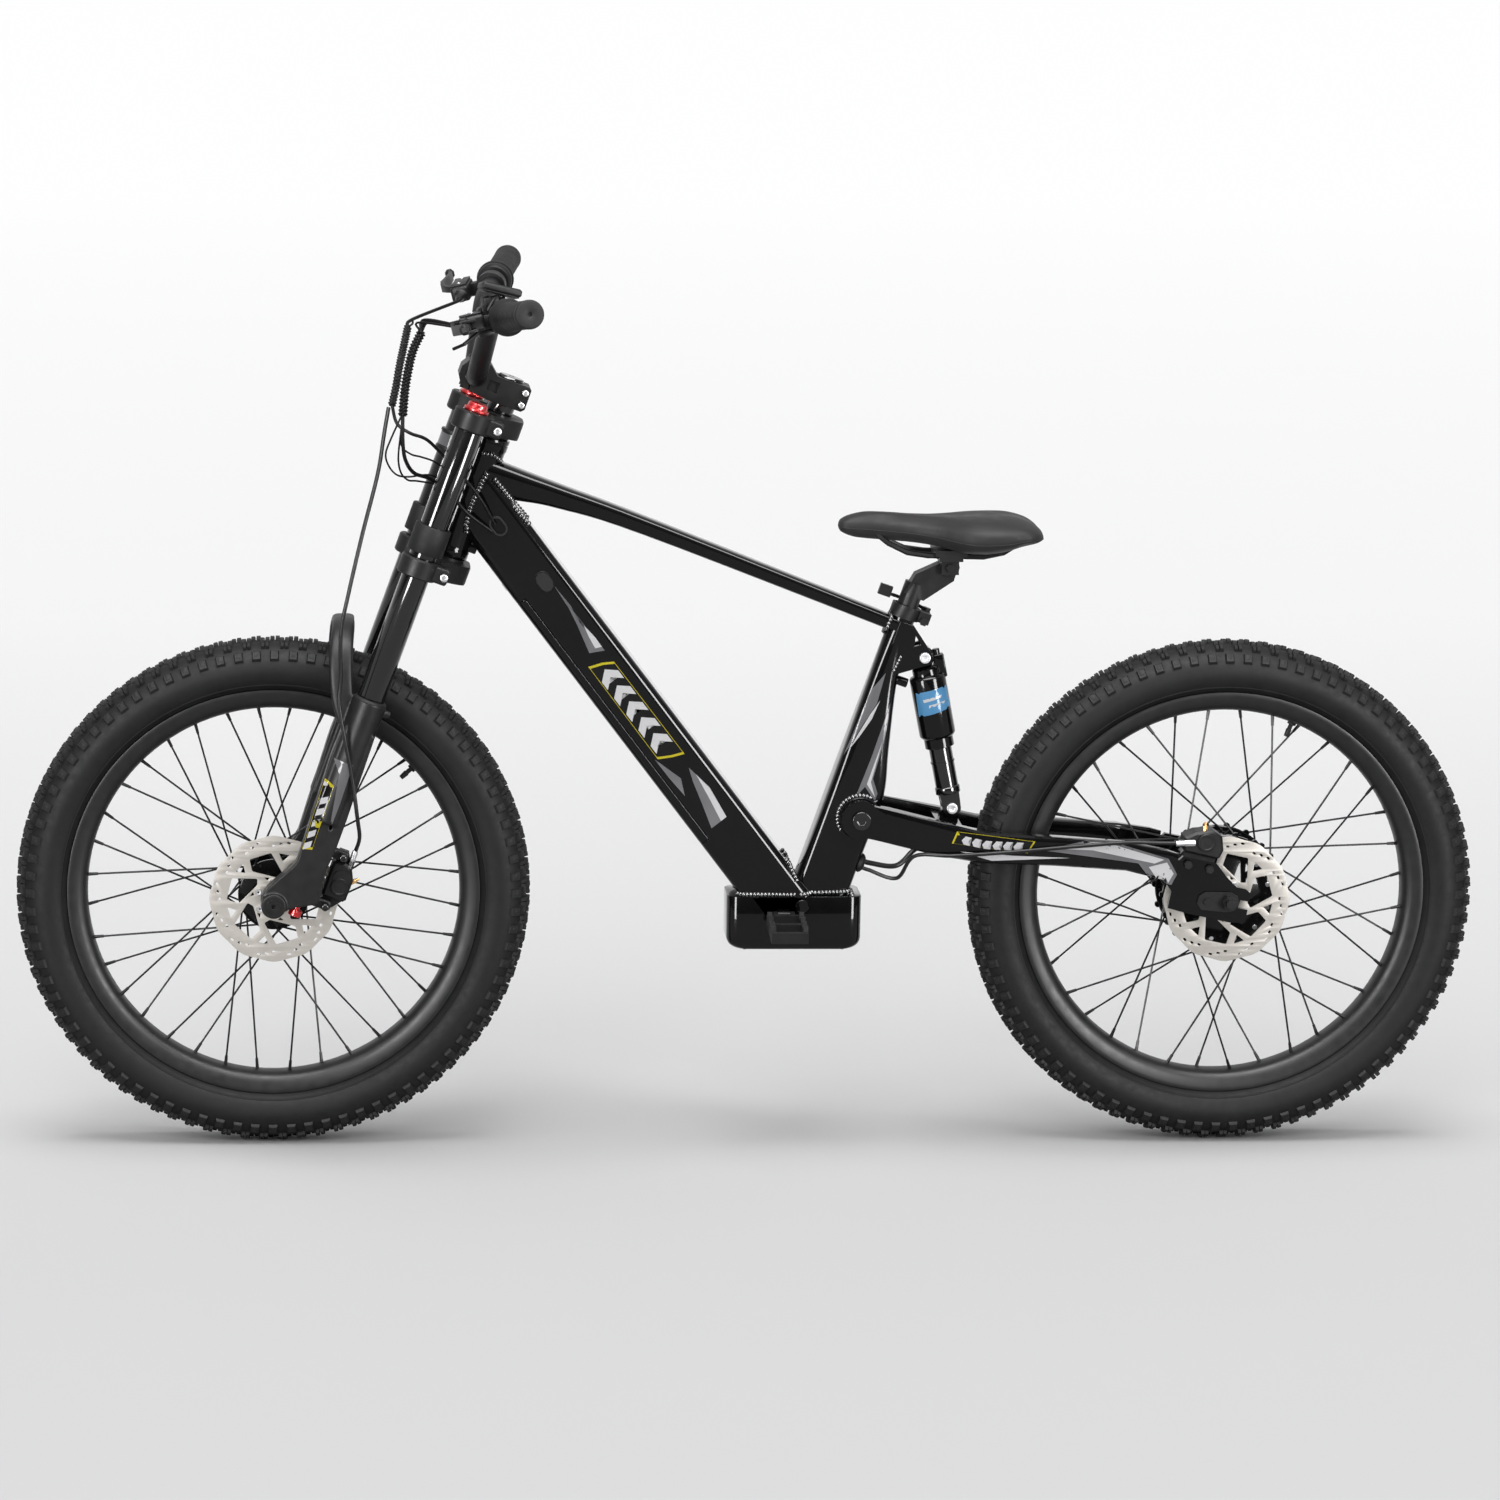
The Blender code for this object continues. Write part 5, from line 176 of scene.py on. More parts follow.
def paint_of(name, dark, light, rough=0.16):
    """Gloss paint under a clear coat, with the slight ripple of sprayed paint."""
    made, tree, shader = new_material(name)
    place = object_place(tree)
    drift = ranged(tree, noise_of(tree, place, 14.0, 3.0), 0.0, 1.0)
    tree.links.new(mixed(tree, drift, dark, light), shader.inputs["Base Color"])
    spread = ranged(tree, noise_of(tree, place, 55.0, 3.0), rough * 0.9, rough * 1.25)
    tree.links.new(spread, shader.inputs["Roughness"])
    set_inputs(shader, {"Specular IOR Level": 0.05, "Coat Weight": 1.0, "Coat IOR": 1.26,
                        "Coat Roughness": 0.03})
    bumped(tree, shader, noise_of(tree, place, 260.0, 1.0), 0.06, 0.0002)
    return made


GLOSS = paint_of("gloss_paint", (0.0035, 0.0035, 0.004), (0.0055, 0.0055, 0.0062))
WHITE_PAINT = paint_of("white_graphic", (0.72, 0.72, 0.73), (0.80, 0.80, 0.81), rough=0.25)
GREY_PAINT = paint_of("grey_graphic", (0.17, 0.17, 0.18), (0.24, 0.24, 0.25), rough=0.28)
YELLOW_PAINT = paint_of("yellow_graphic", (0.62, 0.52, 0.02), (0.72, 0.61, 0.03), rough=0.25)
BLUE_PAINT = paint_of("blue_label", (0.10, 0.33, 0.62), (0.14, 0.40, 0.70), rough=0.30)
GLOSS_INK = paint_of("black_graphic", (0.006, 0.006, 0.0065), (0.008, 0.008, 0.0085), rough=0.22)

SATIN = finish_of("satin_black", (0.010, 0.010, 0.011), (0.014, 0.014, 0.015), 0.40, specular=0.16)
CAST = finish_of("dark_casting", (0.0130, 0.0128, 0.0126), (0.0175, 0.0172, 0.0170), 0.42, grain=1400.0,
                 specular=0.16)
CHROME = finish_of("black_chrome", (0.006, 0.006, 0.0065), (0.009, 0.009, 0.0095), 0.14, metallic=0.2,
                   coat=0.7, specular=0.2, coat_rough=0.04, grain_strength=0.02)
RUBBER = finish_of("tyre_rubber", (0.0085, 0.0085, 0.009), (0.0135, 0.0135, 0.014), 0.58, patch=40.0,
                   grain=700.0, grain_depth=0.0001, grain_strength=0.30, wear=0.15, specular=0.12)
GRIP_RUBBER = finish_of("grip_rubber", (0.012, 0.012, 0.0125), (0.017, 0.017, 0.0175), 0.58, grain=1200.0,
                        specular=0.14)
STEEL = finish_of("bright_steel", (0.44, 0.44, 0.45), (0.54, 0.54, 0.55), 0.34, metallic=1.0,
                  grain_strength=0.06)
BRASS = finish_of("brass", (0.62, 0.36, 0.14), (0.70, 0.42, 0.18), 0.30, metallic=1.0, grain_strength=0.06)
RED = finish_of("red_anodised", (0.50, 0.006, 0.008), (0.62, 0.010, 0.012), 0.30, metallic=0.45, coat=0.4,
                grain_strength=0.08)
PLASTIC = finish_of("moulded_plastic", (0.011, 0.011, 0.012), (0.015, 0.015, 0.016), 0.48, grain=1700.0,
                    grain_strength=0.35, specular=0.16)
WELD = finish_of("weld_paint", (0.012, 0.012, 0.0125), (0.020, 0.020, 0.021), 0.16, coat=1.0,
                 coat_rough=0.03, grain_strength=0.05)
CABLE = finish_of("cable_cover", (0.010, 0.010, 0.0105), (0.015, 0.015, 0.0155), 0.34, grain=1500.0,
                  grain_strength=0.15, specular=0.22)
WRAP = finish_of("cable_wrap", (0.008, 0.008, 0.0085), (0.012, 0.012, 0.0125), 0.34, specular=0.10,
                 grain=1500.0, grain_strength=0.10)
LEATHER = finish_of("saddle_vinyl", (0.034, 0.032, 0.0325), (0.041, 0.039, 0.0395), 0.52, patch=18.0,
                    grain=1100.0, grain_depth=0.00012, grain_strength=0.35, specular=0.10)
SPOKE = finish_of("spoke_black", (0.008, 0.008, 0.009), (0.012, 0.012, 0.013), 0.34, grain_strength=0.05,
                  specular=0.2)
RIM_FINISH = finish_of("rim_anodised", (0.012, 0.012, 0.0125), (0.016, 0.016, 0.0165), 0.40,
                       specular=0.22, grain=1600.0, grain_strength=0.10)


def disc_finish():
    """Ground stainless: warm grey, with fine rings round each axle."""
    made, tree, shader = new_material("ground_disc")
    place = object_place(tree)

    def sums(operation, first, second):
        """A sum of a socket with another socket or a number."""
        node = tree.nodes.new("ShaderNodeMath")
        node.operation = operation
        tree.links.new(first, node.inputs[0])
        if isinstance(second, float):
            node.inputs[1].default_value = second
        else:
            tree.links.new(second, node.inputs[1])
        return node.outputs["Value"]

    x, _, z = separated(tree, place)
    away = sums("SUBTRACT", sums("ABSOLUTE", x, 0.0), WHEELBASE / 2)
    high = sums("SUBTRACT", z, TYRE_RADIUS)
    radius = sums("SQRT", sums("ADD", sums("MULTIPLY", away, away), sums("MULTIPLY", high, high)), 0.0)
    rings = tree.nodes.new("ShaderNodeTexNoise")
    rings.noise_dimensions = "1D"
    set_inputs(rings, {"Scale": 2600.0, "Detail": 2.0})
    tree.links.new(radius, rings.inputs["W"])
    scratches = rings.outputs["Fac"]
    drift = ranged(tree, noise_of(tree, place, 30.0), 0.0, 1.0)
    colour = mixed(tree, drift, (0.58, 0.55, 0.505), (0.66, 0.63, 0.585))
    tree.links.new(mixed(tree, ranged(tree, scratches, 0.0, 0.25), colour, (0.52, 0.48, 0.42)),
                   shader.inputs["Base Color"])
    tree.links.new(ranged(tree, scratches, 0.36, 0.48), shader.inputs["Roughness"])
    set_inputs(shader, {"Metallic": 0.10, "Specular IOR Level": 0.12})
    bumped(tree, shader, scratches, 0.12, 0.00005)
    return made


FINISHES = {
    "frame_paint": GLOSS, "motor_paint": GLOSS, "shock_paint": GLOSS, "satin_black": SATIN, "cast_grey": CAST,
    "black_chrome": CHROME, "bright_steel": STEEL, "disc_steel": disc_finish(), "red_anodised": RED,
    "tyre_rubber": RUBBER, "soft_rubber": GRIP_RUBBER, "cable_cover": CABLE, "black_plastic": PLASTIC,
    "battery_wrap": PLASTIC, "saddle_cover": LEATHER,
}


def dress_nodes():
    """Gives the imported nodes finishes, rounded edges and smooth shading, and leaves their vertices alone."""
    for name, node in NODES.items():
        for slot in node.material_slots:
            chosen = "black_chrome" if name == "steerer_tube" else slot.material.name.split(".")[0]
            slot.material = FINISHES[chosen]
        node.data.shade_smooth()
        weld = node.modifiers.new("weld", "WELD")
        weld.merge_threshold = 0.00002
        edges = node.modifiers.new("edges", "BEVEL")
        edges.width = 0.0008
        edges.segments = 2
        edges.limit_method = "ANGLE"
        edges.angle_limit = math.radians(38)
        edges.use_clamp_overlap = True
        node.modifiers.new("normals", "WEIGHTED_NORMAL").keep_sharp = False


# Shapes are (points, faces) pairs in the row frame


def mm(*rows):
    """Rows of millimetres as a list of metres."""
    return [tuple(value / 1000 for value in row) for row in rows]


def spread_angles(count, shift=0.0):
    return [math.tau * (i + shift) / count for i in range(count)]


def circle(radius, count, centre=(0, 0), start=0.0, sweep=math.tau):
    """Points round a whole circle, or along an arc with both its ends."""
    steps = count if sweep == math.tau else count - 1
    angles = [start + sweep * i / steps for i in range(count)]
    return [(centre[0] + radius * math.cos(a), centre[1] + radius * math.sin(a)) for a in angles]


def rounded_box(width, depth, corner, per_corner, centre=(0, 0)):
    across, along_side = width / 2 - corner, depth / 2 - corner
    outline = []
    for turn, (sx, sy) in enumerate(((1, 1), (-1, 1), (-1, -1), (1, -1))):
        middle = (centre[0] + sx * across, centre[1] + sy * along_side)
        outline += circle(corner, per_corner, middle, turn * math.pi / 2, math.pi / 2)
    return outline


def squircle(width, depth, power, count, centre=(0, 0)):
    outline = []
    for angle in spread_angles(count, 0.5):
        x = math.copysign(abs(math.cos(angle)) ** (2 / power), math.cos(angle))
        y = math.copysign(abs(math.sin(angle)) ** (2 / power), math.sin(angle))
        outline.append((centre[0] + x * width / 2, centre[1] + y * depth / 2))
    return outline


def oval(length, width, per_end=13):
    """A slot outline whose length lies along Y."""
    offset = (length - width) / 2
    return (circle(width / 2, per_end, (0, offset), 0, math.pi)
            + circle(width / 2, per_end, (0, -offset), math.pi, math.pi))


def through(knots, per_span):
    """Points along a smooth curve through knots of any dimension."""
    knots = [np.array(knot, float) for knot in knots]
    ends = [2 * knots[0] - knots[1]] + knots + [2 * knots[-1] - knots[-2]]
    found = []
    for before, start, end, after in zip(ends, ends[1:], ends[2:], ends[3:]):
        square = 2 * before - 5 * start + 4 * end - after
        cube = 3 * start - before - 3 * end + after
        for step in range(per_span):
            t = step / per_span
            found.append(0.5 * (2 * start + (end - before) * t + square * t**2 + cube * t**3))
    return found + [knots[-1]]


def evenly(points, step):
    """The same path at even steps."""
    points = np.array([tuple(point) for point in points], float)
    run = np.concatenate([[0], np.cumsum(np.linalg.norm(np.diff(points, axis=0), axis=1))])
    places = np.linspace(0, run[-1], max(2, int(run[-1] / step) + 1))
    return [Vector([float(np.interp(place, run, column)) for column in points.T]) for place in places]


def rounding(first, corner, last, count):
    """So many points on the curve that leaves first and reaches last in line with the corner."""
    shares = [k / (count - 1) for k in range(count)]
    return [first * (1 - t) ** 2 + corner * 2 * t * (1 - t) + last * t**2 for t in shares]


def rounded_path(corners, radius, per_corner=4):
    """A closed outline with its corners rounded."""
    corners = [Vector(corner) for corner in corners]
    found = []
    for i, corner in enumerate(corners):
        before, after = corners[i - 1] - corner, corners[(i + 1) % len(corners)] - corner
        back = min(radius, before.length * 0.4, after.length * 0.4)
        first, last = corner + before.normalized() * back, corner + after.normalized() * back
        found += [tuple(point) for point in rounding(first, corner, last, per_corner + 1)]
    return found


def loft(sections, closed=False):
    count = len(sections[0])
    points = [tuple(point) for section in sections for point in section]
    faces = []
    spans = len(sections) if closed else len(sections) - 1
    for level in range(spans):
        low, high = level * count, (level + 1) % len(sections) * count
        for i in range(count):
            j = (i + 1) % count
            faces.append((low + i, low + j, high + j, high + i))
    if not closed:
        faces.append(tuple(range(count))[::-1])
        faces.append(tuple(range(len(points) - count, len(points))))
    return points, faces


def moved(shape, matrix):
    points, faces = shape
    flip = matrix.determinant() < 0
    return [tuple(matrix @ Vector(p)) for p in points], [f[::-1] for f in faces] if flip else faces


def together(shapes):
    points, faces = [], []
    for some_points, some_faces in shapes:
        base = len(points)
        points += some_points
        faces += [tuple(i + base for i in face) for face in some_faces]
    return points, faces


def side_plate(outline, *reach):
    """A plate of an (x, z) outline between two places on Y."""
    return loft([[(x, y, z) for x, z in outline] for y in sorted(reach)])


ACROSS = Matrix.Scale(-1, 4, (0, 1, 0))
UPRIGHT = Matrix.Rotation(math.pi / 2, 4, "X")
AXES = {
    "X": Matrix.Rotation(math.pi / 2, 4, "Y"), "Y": Matrix.Rotation(-math.pi / 2, 4, "X"),
    "Z": Matrix.Identity(4),
}


def turned(profile, steps, ring=False, axis="Z", centre=(0, 0, 0)):
    """Turns (radius, height) points about an axis."""
    sections = [[(*point, height) for point in circle(radius, steps)] for radius, height in profile]
    return moved(loft(sections, closed=ring), Matrix.Translation(centre) @ AXES[axis])


def hoop(outline, steps):
    """A ring about Y with a closed section of (y, radius) points."""
    return loft([[(r * math.cos(a), y, r * math.sin(a)) for y, r in outline] for a in spread_angles(steps)],
                closed=True)


def both_sides(right):
    """The outline closed by its own mirror image."""
    return right + [(-y, r) for y, r in right[-2:0:-1]]


def drum(radius, low, high, steps, axis="Y", centre=(0, 0, 0), edge=0.0004):
    """A cylinder between two heights with its rims just broken."""
    low, high = sorted((low, high))
    edge = min(edge, radius / 3, (high - low) / 3)
    profile = [(radius - edge, low), (radius, low + edge), (radius, high - edge), (radius - edge, high)]
    return turned(profile, steps, axis=axis, centre=centre)


def box(size, centre, edge, segments=2):
    work = bmesh.new()
    bmesh.ops.create_cube(work, size=1.0)
    bmesh.ops.scale(work, vec=size, verts=work.verts)
    if edge:
        bmesh.ops.bevel(work, geom=list(work.edges), offset=edge, segments=segments, affect="EDGES",
                        profile=0.5, clamp_overlap=True)
    bmesh.ops.translate(work, vec=centre, verts=work.verts)
    work.verts.index_update()
    shape = [tuple(v.co) for v in work.verts], [tuple(v.index for v in f.verts) for f in work.faces]
    work.free()
    return shape


def rod(start, end, radius, sides, end_radius=None):
    start, end = Vector(start), Vector(end)
    ends = ((radius, 0), (end_radius or radius, (end - start).length))
    sections = [[(*point, height) for point in circle(size, sides)] for size, height in ends]
    turn = (end - start).to_track_quat("Z", "Y").to_matrix().to_4x4()
    return moved(loft(sections), Matrix.Translation(start) @ turn)


def carried(points):
    """Each point of a path with two directions across it, which turn as little as they can."""
    normal = None
    for i, point in enumerate(points):
        ahead = (points[min(i + 1, len(points) - 1)] - points[max(i - 1, 0)]).normalized()
        normal = ahead.orthogonal() if normal is None else normal - ahead * normal.dot(ahead)
        normal = normal.normalized()
        yield point, normal, ahead.cross(normal)


def along(points, radii, sides):
    """A round bar along points, with one radius or one for each point."""
    points = [Vector(point) for point in points]
    radii = radii if hasattr(radii, "__len__") else [radii] * len(points)
    angles = spread_angles(sides)
    return loft([[point + (normal * math.cos(a) + other * math.sin(a)) * radius for a in angles]
                 for (point, normal, other), radius in zip(carried(points), radii)])


def added(name, data):
    """A new object in the scene."""
    obj = bpy.data.objects.new(name, data)
    bpy.context.scene.collection.objects.link(obj)
    return obj


def evaluated(obj):
    """A new mesh of an object as its modifiers leave it."""
    bpy.context.view_layer.update()
    return bpy.data.meshes.new_from_object(obj.evaluated_get(bpy.context.evaluated_depsgraph_get()))


def mesh_from(name, shape):
    mesh = bpy.data.meshes.new(name)
    mesh.from_pydata([tuple(p) for p in shape[0]], [], shape[1])
    work = bmesh.new()
    work.from_mesh(mesh)
    bmesh.ops.recalc_face_normals(work, faces=work.faces)
    work.to_mesh(mesh)
    work.free()
    return mesh


def shape_of(mesh):
    return [tuple(v.co) for v in mesh.vertices], [tuple(p.vertices) for p in mesh.polygons]


def tree_of(mesh):
    """A ray target from a mesh that lies in the row frame."""
    return BVHTree.FromPolygons(*shape_of(mesh))


def piece(name, shape, finish, body, stands_for=None, place=None, smooth=35, bevel=0.0, segments=2,
          bevel_angle=40, slot=None):
    """A visible piece that rides on a body, from a shape, a mesh or a list of shapes in a local frame."""
    if isinstance(shape, bpy.types.Mesh):
        mesh = shape
        mesh.materials.clear()
        if place:
            mesh.transform(place)
    else:
        whole = together(shape) if isinstance(shape, list) else shape
        mesh = mesh_from(name, moved(whole, place) if place else whole)
    obj = added(name, mesh)
    mesh.materials.append(finish)
    mesh.shade_smooth()
    if bevel:
        edges = obj.modifiers.new("edges", "BEVEL")
        edges.width = bevel
        edges.segments = segments
        edges.limit_method = "ANGLE"
        edges.angle_limit = math.radians(bevel_angle)
        edges.use_clamp_overlap = True
        edges.harden_normals = False
        obj.modifiers.new("normals", "WEIGHTED_NORMAL").keep_sharp = True
    else:
        mesh.set_sharp_from_angle(angle=math.radians(smooth))
    if body:
        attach(obj, body)
    if stands_for:
        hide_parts(stands_for)
    return obj


def combined(shape, others, operation="DIFFERENCE"):
    """The mesh of a shape after an exact Boolean with the others in turn."""
    target, *tools = [added("solid", some if isinstance(some, bpy.types.Mesh) else mesh_from("solid", some))
                      for some in [shape] + others]
    for tool in tools:
        modifier = target.modifiers.new("combine", "BOOLEAN")
        modifier.operation = operation
        modifier.solver = "EXACT"
        modifier.object = tool
    result = evaluated(target)
    for helper in tools + [target]:
        bpy.data.objects.remove(helper)
    return result


def voxel_remesh(obj, voxel):
    remesh = obj.modifiers.new("remesh", "REMESH")
    remesh.mode = "VOXEL"
    remesh.voxel_size = voxel


def cast_skin(shapes):
    """One skin round overlapping shapes, with the soft inner corners of a casting."""
    holder = added("casting", mesh_from("casting", together(shapes)))
    voxel_remesh(holder, 0.0013)
    smooth = holder.modifiers.new("smooth", "SMOOTH")
    smooth.iterations = 5
    smooth.factor = 0.6
    mesh = evaluated(holder)
    bpy.data.objects.remove(holder)
    return mesh


def leaning(point, angle):
    return Matrix.Translation(point) @ Matrix.Rotation(angle, 4, "Y")


# Places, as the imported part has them, in metres
FRONT_AXLE = Vector((-WHEELBASE / 2, 0, TYRE_RADIUS))
REAR_AXLE = Vector((WHEELBASE / 2, 0, TYRE_RADIUS))
FORK_OFFSET = 0.0589
FORK = leaning(FRONT_AXLE, math.radians(19.5)) @ Matrix.Translation((FORK_OFFSET, 0, 0))
FORK_AXLE = Vector((-FORK_OFFSET, 0, 0))
STANCHION_X, STANCHION_Y = -0.033, 0.084
CROWN_TOP = 0.664
HEAD_TUBE_FOOT = 0.486
BOX_TOP = 0.321
HEAD_JOIN = FORK @ Vector((0, 0, HEAD_TUBE_FOOT + 0.0725))
DOWN_TUBE_FOOT = Vector((0.0322, 0, BOX_TOP))
DOWN_TUBE_RUN = HEAD_JOIN - DOWN_TUBE_FOOT
DOWN_TUBE_LENGTH = DOWN_TUBE_RUN.length
DOWN_TUBE = leaning(DOWN_TUBE_FOOT, math.atan2(DOWN_TUBE_RUN.x, DOWN_TUBE_RUN.z))
CABLE_PORT = DOWN_TUBE @ Matrix.Translation((0.004, -0.027, DOWN_TUBE_LENGTH - 0.052)) @ UPRIGHT
CHARGE_PORT = DOWN_TUBE @ Matrix.Translation((0.008, -0.038, DOWN_TUBE_LENGTH - 0.142)) @ UPRIGHT
SEAT_TUBE = leaning((0.0675, 0, BOX_TOP), math.radians(19.0))
PIVOT = Vector((0.1365, 0, 0.4205))
ARM_RUN = REAR_AXLE - PIVOT
ARM_LENGTH = ARM_RUN.length
SWINGARM = leaning(PIVOT, math.atan2(-ARM_RUN.z, ARM_RUN.x))
SHOCK_TOP, SHOCK_FOOT = Vector((0.2154, 0, 0.6235)), Vector((0.2544, 0, 0.4303))
SHOCK_RUN = SHOCK_TOP - SHOCK_FOOT
SHOCK = leaning(SHOCK_TOP, math.atan2(SHOCK_RUN.x, SHOCK_RUN.z))
BAR_CLAMP = Vector((-0.044, 0, CROWN_TOP + 0.0355))
BAR_RADIUS = 0.0127
BAR_KNOTS = [
    Vector((BAR_CLAMP.x, 0.045, BAR_CLAMP.z)),
    Vector((BAR_CLAMP.x - 0.0135, 0.130, BAR_CLAMP.z + 0.082)),
    Vector((BAR_CLAMP.x + 0.0119, 0.343, BAR_CLAMP.z + 0.122)),
]
BAR_END = (BAR_KNOTS[2] - BAR_KNOTS[1]).length


def bar_frame():
    """At the upper bend of the far side: Y runs out along the bar and -X towards the brake lever."""
    bend, end = (FORK @ knot for knot in BAR_KNOTS[1:])
    out = (end - bend).normalized()
    forward = Vector((-math.cos(math.radians(14)), 0, -math.sin(math.radians(14))))
    rear = -(forward - out * forward.dot(out)).normalized()
    matrix = Matrix((rear, out, rear.cross(out))).transposed().to_4x4()
    matrix.translation = bend
    return matrix


FAR_BAR = bar_frame()
NEAR_BAR = ACROSS @ FAR_BAR @ ACROSS
# Puts a shape that is drawn in the far bar's frame on the near side
MIRRORED_BAR = ACROSS @ FAR_BAR
SIDES = ((1, "right"), (-1, "left"))


def stanchion_centre(side):
    return (STANCHION_X, side * STANCHION_Y, 0)


# Wheels

PITCHES = 84
FLANGE_Y = 0.031
SPOKES_A_SIDE = 18
NIPPLE_RADIUS, NIPPLE_Y = 0.2345, 0.006
ROTOR_RADIUS, ROTOR_Y = 0.0800, -0.058
ROTOR_BOLT = (0.0212, -6)


def knob(origin, forward, across, up, length, width, height):
    """A tread block: a frustum on the carcass with broken top edges."""
    points = []
    for rise, grow in ((-0.0014, 1.06), (0.72 * height, 0.96), (height, 0.80)):
        for sx, sy in ((1, 1), (-1, 1), (-1, -1), (1, -1)):
            place = origin + forward * (sx * length / 2 * grow) + across * (sy * width / 2 * grow)
            points.append(tuple(place + up * rise))
    faces = [(3, 2, 1, 0), (8, 9, 10, 11)]
    for level in (0, 4):
        for i in range(4):
            j = (i + 1) % 4
            faces.append((level + i, level + j, level + 4 + j, level + 4 + i))
    return points, faces


def carcass_line():
    """From the middle of the crown to the bead, as (y, radius)."""
    knots = mm((0, 317.6), (10.5, 316.6), (20, 312.4), (28, 305), (33.2, 296.5), (35.6, 287.5), (35.2, 279),
               (32.4, 270.5), (27.5, 263.6), (21.8, 259.2))
    return [tuple(point) for point in through(knots, 4)]


def tread(rng):
    """Three rows of blocks on each side: two of split blocks, and stepped ones on the shoulder."""
    step = 0.0005
    line = evenly(carcass_line(), step)
    shapes = []
    for run, phase, length, width, height in (
        (0.0072, 0.0, 0.0125, 0.0098, 0.0052), (0.0195, 0.5, 0.0100, 0.0082, 0.0046),
        (0.0345, 0.0, 0.0108, 0.0128, 0.0036),
    ):
        k = int(run / step)
        (y, radius), tangent = line[k], (line[k + 1] - line[k - 1]).normalized()
        near_middle, on_shoulder = run < 0.01, run > 0.03
        for pitch in range(PITCHES):
            for side in (1, -1):
                shift = phase + (0.5 if side < 0 and near_middle else 0.0)
                angle = math.tau * (pitch + shift + rng.uniform(-0.02, 0.02)) / PITCHES
                out = Vector((math.cos(angle), 0, math.sin(angle)))
                forward = Vector((-math.sin(angle), 0, math.cos(angle)))
                across = (Vector((0, side * tangent[0], 0)) + out * tangent[1]).normalized()
                up = (Vector((0, -side * tangent[1], 0)) + out * tangent[0]).normalized()
                origin = out * radius + Vector((0, side * y, 0))
                tall = height * rng.uniform(0.93, 1.0)
                if on_shoulder:
                    above = origin - across * 0.0012 + up * tall * 0.9
                    shapes.append(knob(origin, forward, across, up, length, width, tall))
                    shapes.append(knob(above, forward, across, up, length * 0.5, width * 0.5, tall * 0.22))
                    continue
                for half, drop in ((1, 0.0004), (-1, 0.0)):
                    shapes.append(knob(origin + forward * (half * length * 0.262), forward, across, up,
                                       length * 0.45, width, tall - drop))
    return shapes


def tyre(prefix, place, seed):
    line = carcass_line()
    rib = mm((30.4, 266.5), (30.3, 265.8), (29, 265))
    right = [p for p in line if p[1] > 0.2665] + rib + [p for p in line if p[1] < 0.2645]
    right += mm((20.6, 256), (20.4, 252), (16.5, 251.9), (17.5, 260), (27, 270.5), (31.2, 285), (26.2, 300),
                (12, 311.5), (0, 312.7))
    shapes = [hoop(both_sides(right), 168)] + tread(random.Random(seed))
    piece(prefix + "_tyre_fine", shapes, RUBBER, prefix + "_wheel", prefix + "_tyre", place, smooth=38,
          slot="tyre_rubber")


def rim(prefix, place):
    right = mm((0, 233.1), (8, 233.6), (14, 235.2), (18.8, 239.2), (21.9, 245.5), (23.6, 253), (24, 256.8),
               (23.6, 258.3), (22.2, 258.5), (20.9, 258), (20.7, 252), (14, 250.5), (0, 249))
    piece(prefix + "_rim_fine", hoop(both_sides(right), 144), RIM_FINISH, prefix + "_wheel", prefix + "_rim",
          place, smooth=40, slot="satin_black")


def spokes(prefix, place, hole_radius, crossings):
    """Single spokes with bent heads at the flanges and nipples at the rim."""
    step = math.tau / SPOKES_A_SIDE
    bars, ends = [], []
    for side in (1, -1):
        for k in range(SPOKES_A_SIDE):
            lean = 1 if k % 2 else -1
            depth = lean * 0.0014
            hub = (k + 0.25 * side) * step
            far = hub - lean * crossings * step
            start = Vector((hole_radius * math.cos(hub), side * FLANGE_Y + depth,
                            hole_radius * math.sin(hub)))
            finish = Vector((NIPPLE_RADIUS * math.cos(far), side * NIPPLE_Y + depth,
                             NIPPLE_RADIUS * math.sin(far)))
            out = Vector((0, lean, 0))
            head = start + out * 0.0016
            bars.append(rod(start, finish, 0.00125, 8))
            bars.append(rod(start - out * 0.0042, start + out * 0.0012, 0.0011, 8))
            bars.append(drum(0.0019, -0.0003, 0.0007, 10, centre=head, edge=0.0002))
            ends.append(rod(finish - (finish - start).normalized() * 0.0135, finish, 0.0018, 8, 0.0023))
    for name, shapes in (("_spokes", bars), ("_nipples", ends)):
        piece(prefix + name, shapes, SPOKE, prefix + "_wheel", place=place, slot="satin_black")


def flat_holes(paths, thickness):
    """A flat plate with holes and broken edges, from its closed outline and those of the holes."""
    edge = 0.00025
    curve = bpy.data.curves.new("plate", "CURVE")
    curve.dimensions = "2D"
    curve.fill_mode = "BOTH"
    curve.extrude = thickness / 2 - edge
    curve.bevel_depth = edge
    curve.bevel_resolution = 1
    for path in paths:
        spline = curve.splines.new("POLY")
        spline.points.add(len(path) - 1)
        for point, (x, y) in zip(spline.points, path):
            point.co = (x, y, 0, 1)
        spline.use_cyclic_u = True
    holder = added("plate", curve)
    mesh = evaluated(holder)
    bpy.data.objects.remove(holder)
    work = bmesh.new()
    work.from_mesh(mesh)
    bmesh.ops.remove_doubles(work, verts=work.verts, dist=0.000004)
    work.to_mesh(mesh)
    work.free()
    return mesh


def polar(points, turn):
    """Points of (radius, degrees) round a disc, all turned on by an angle."""
    return [(r * math.cos(math.radians(a) + turn), r * math.sin(math.radians(a) + turn)) for r, a in points]


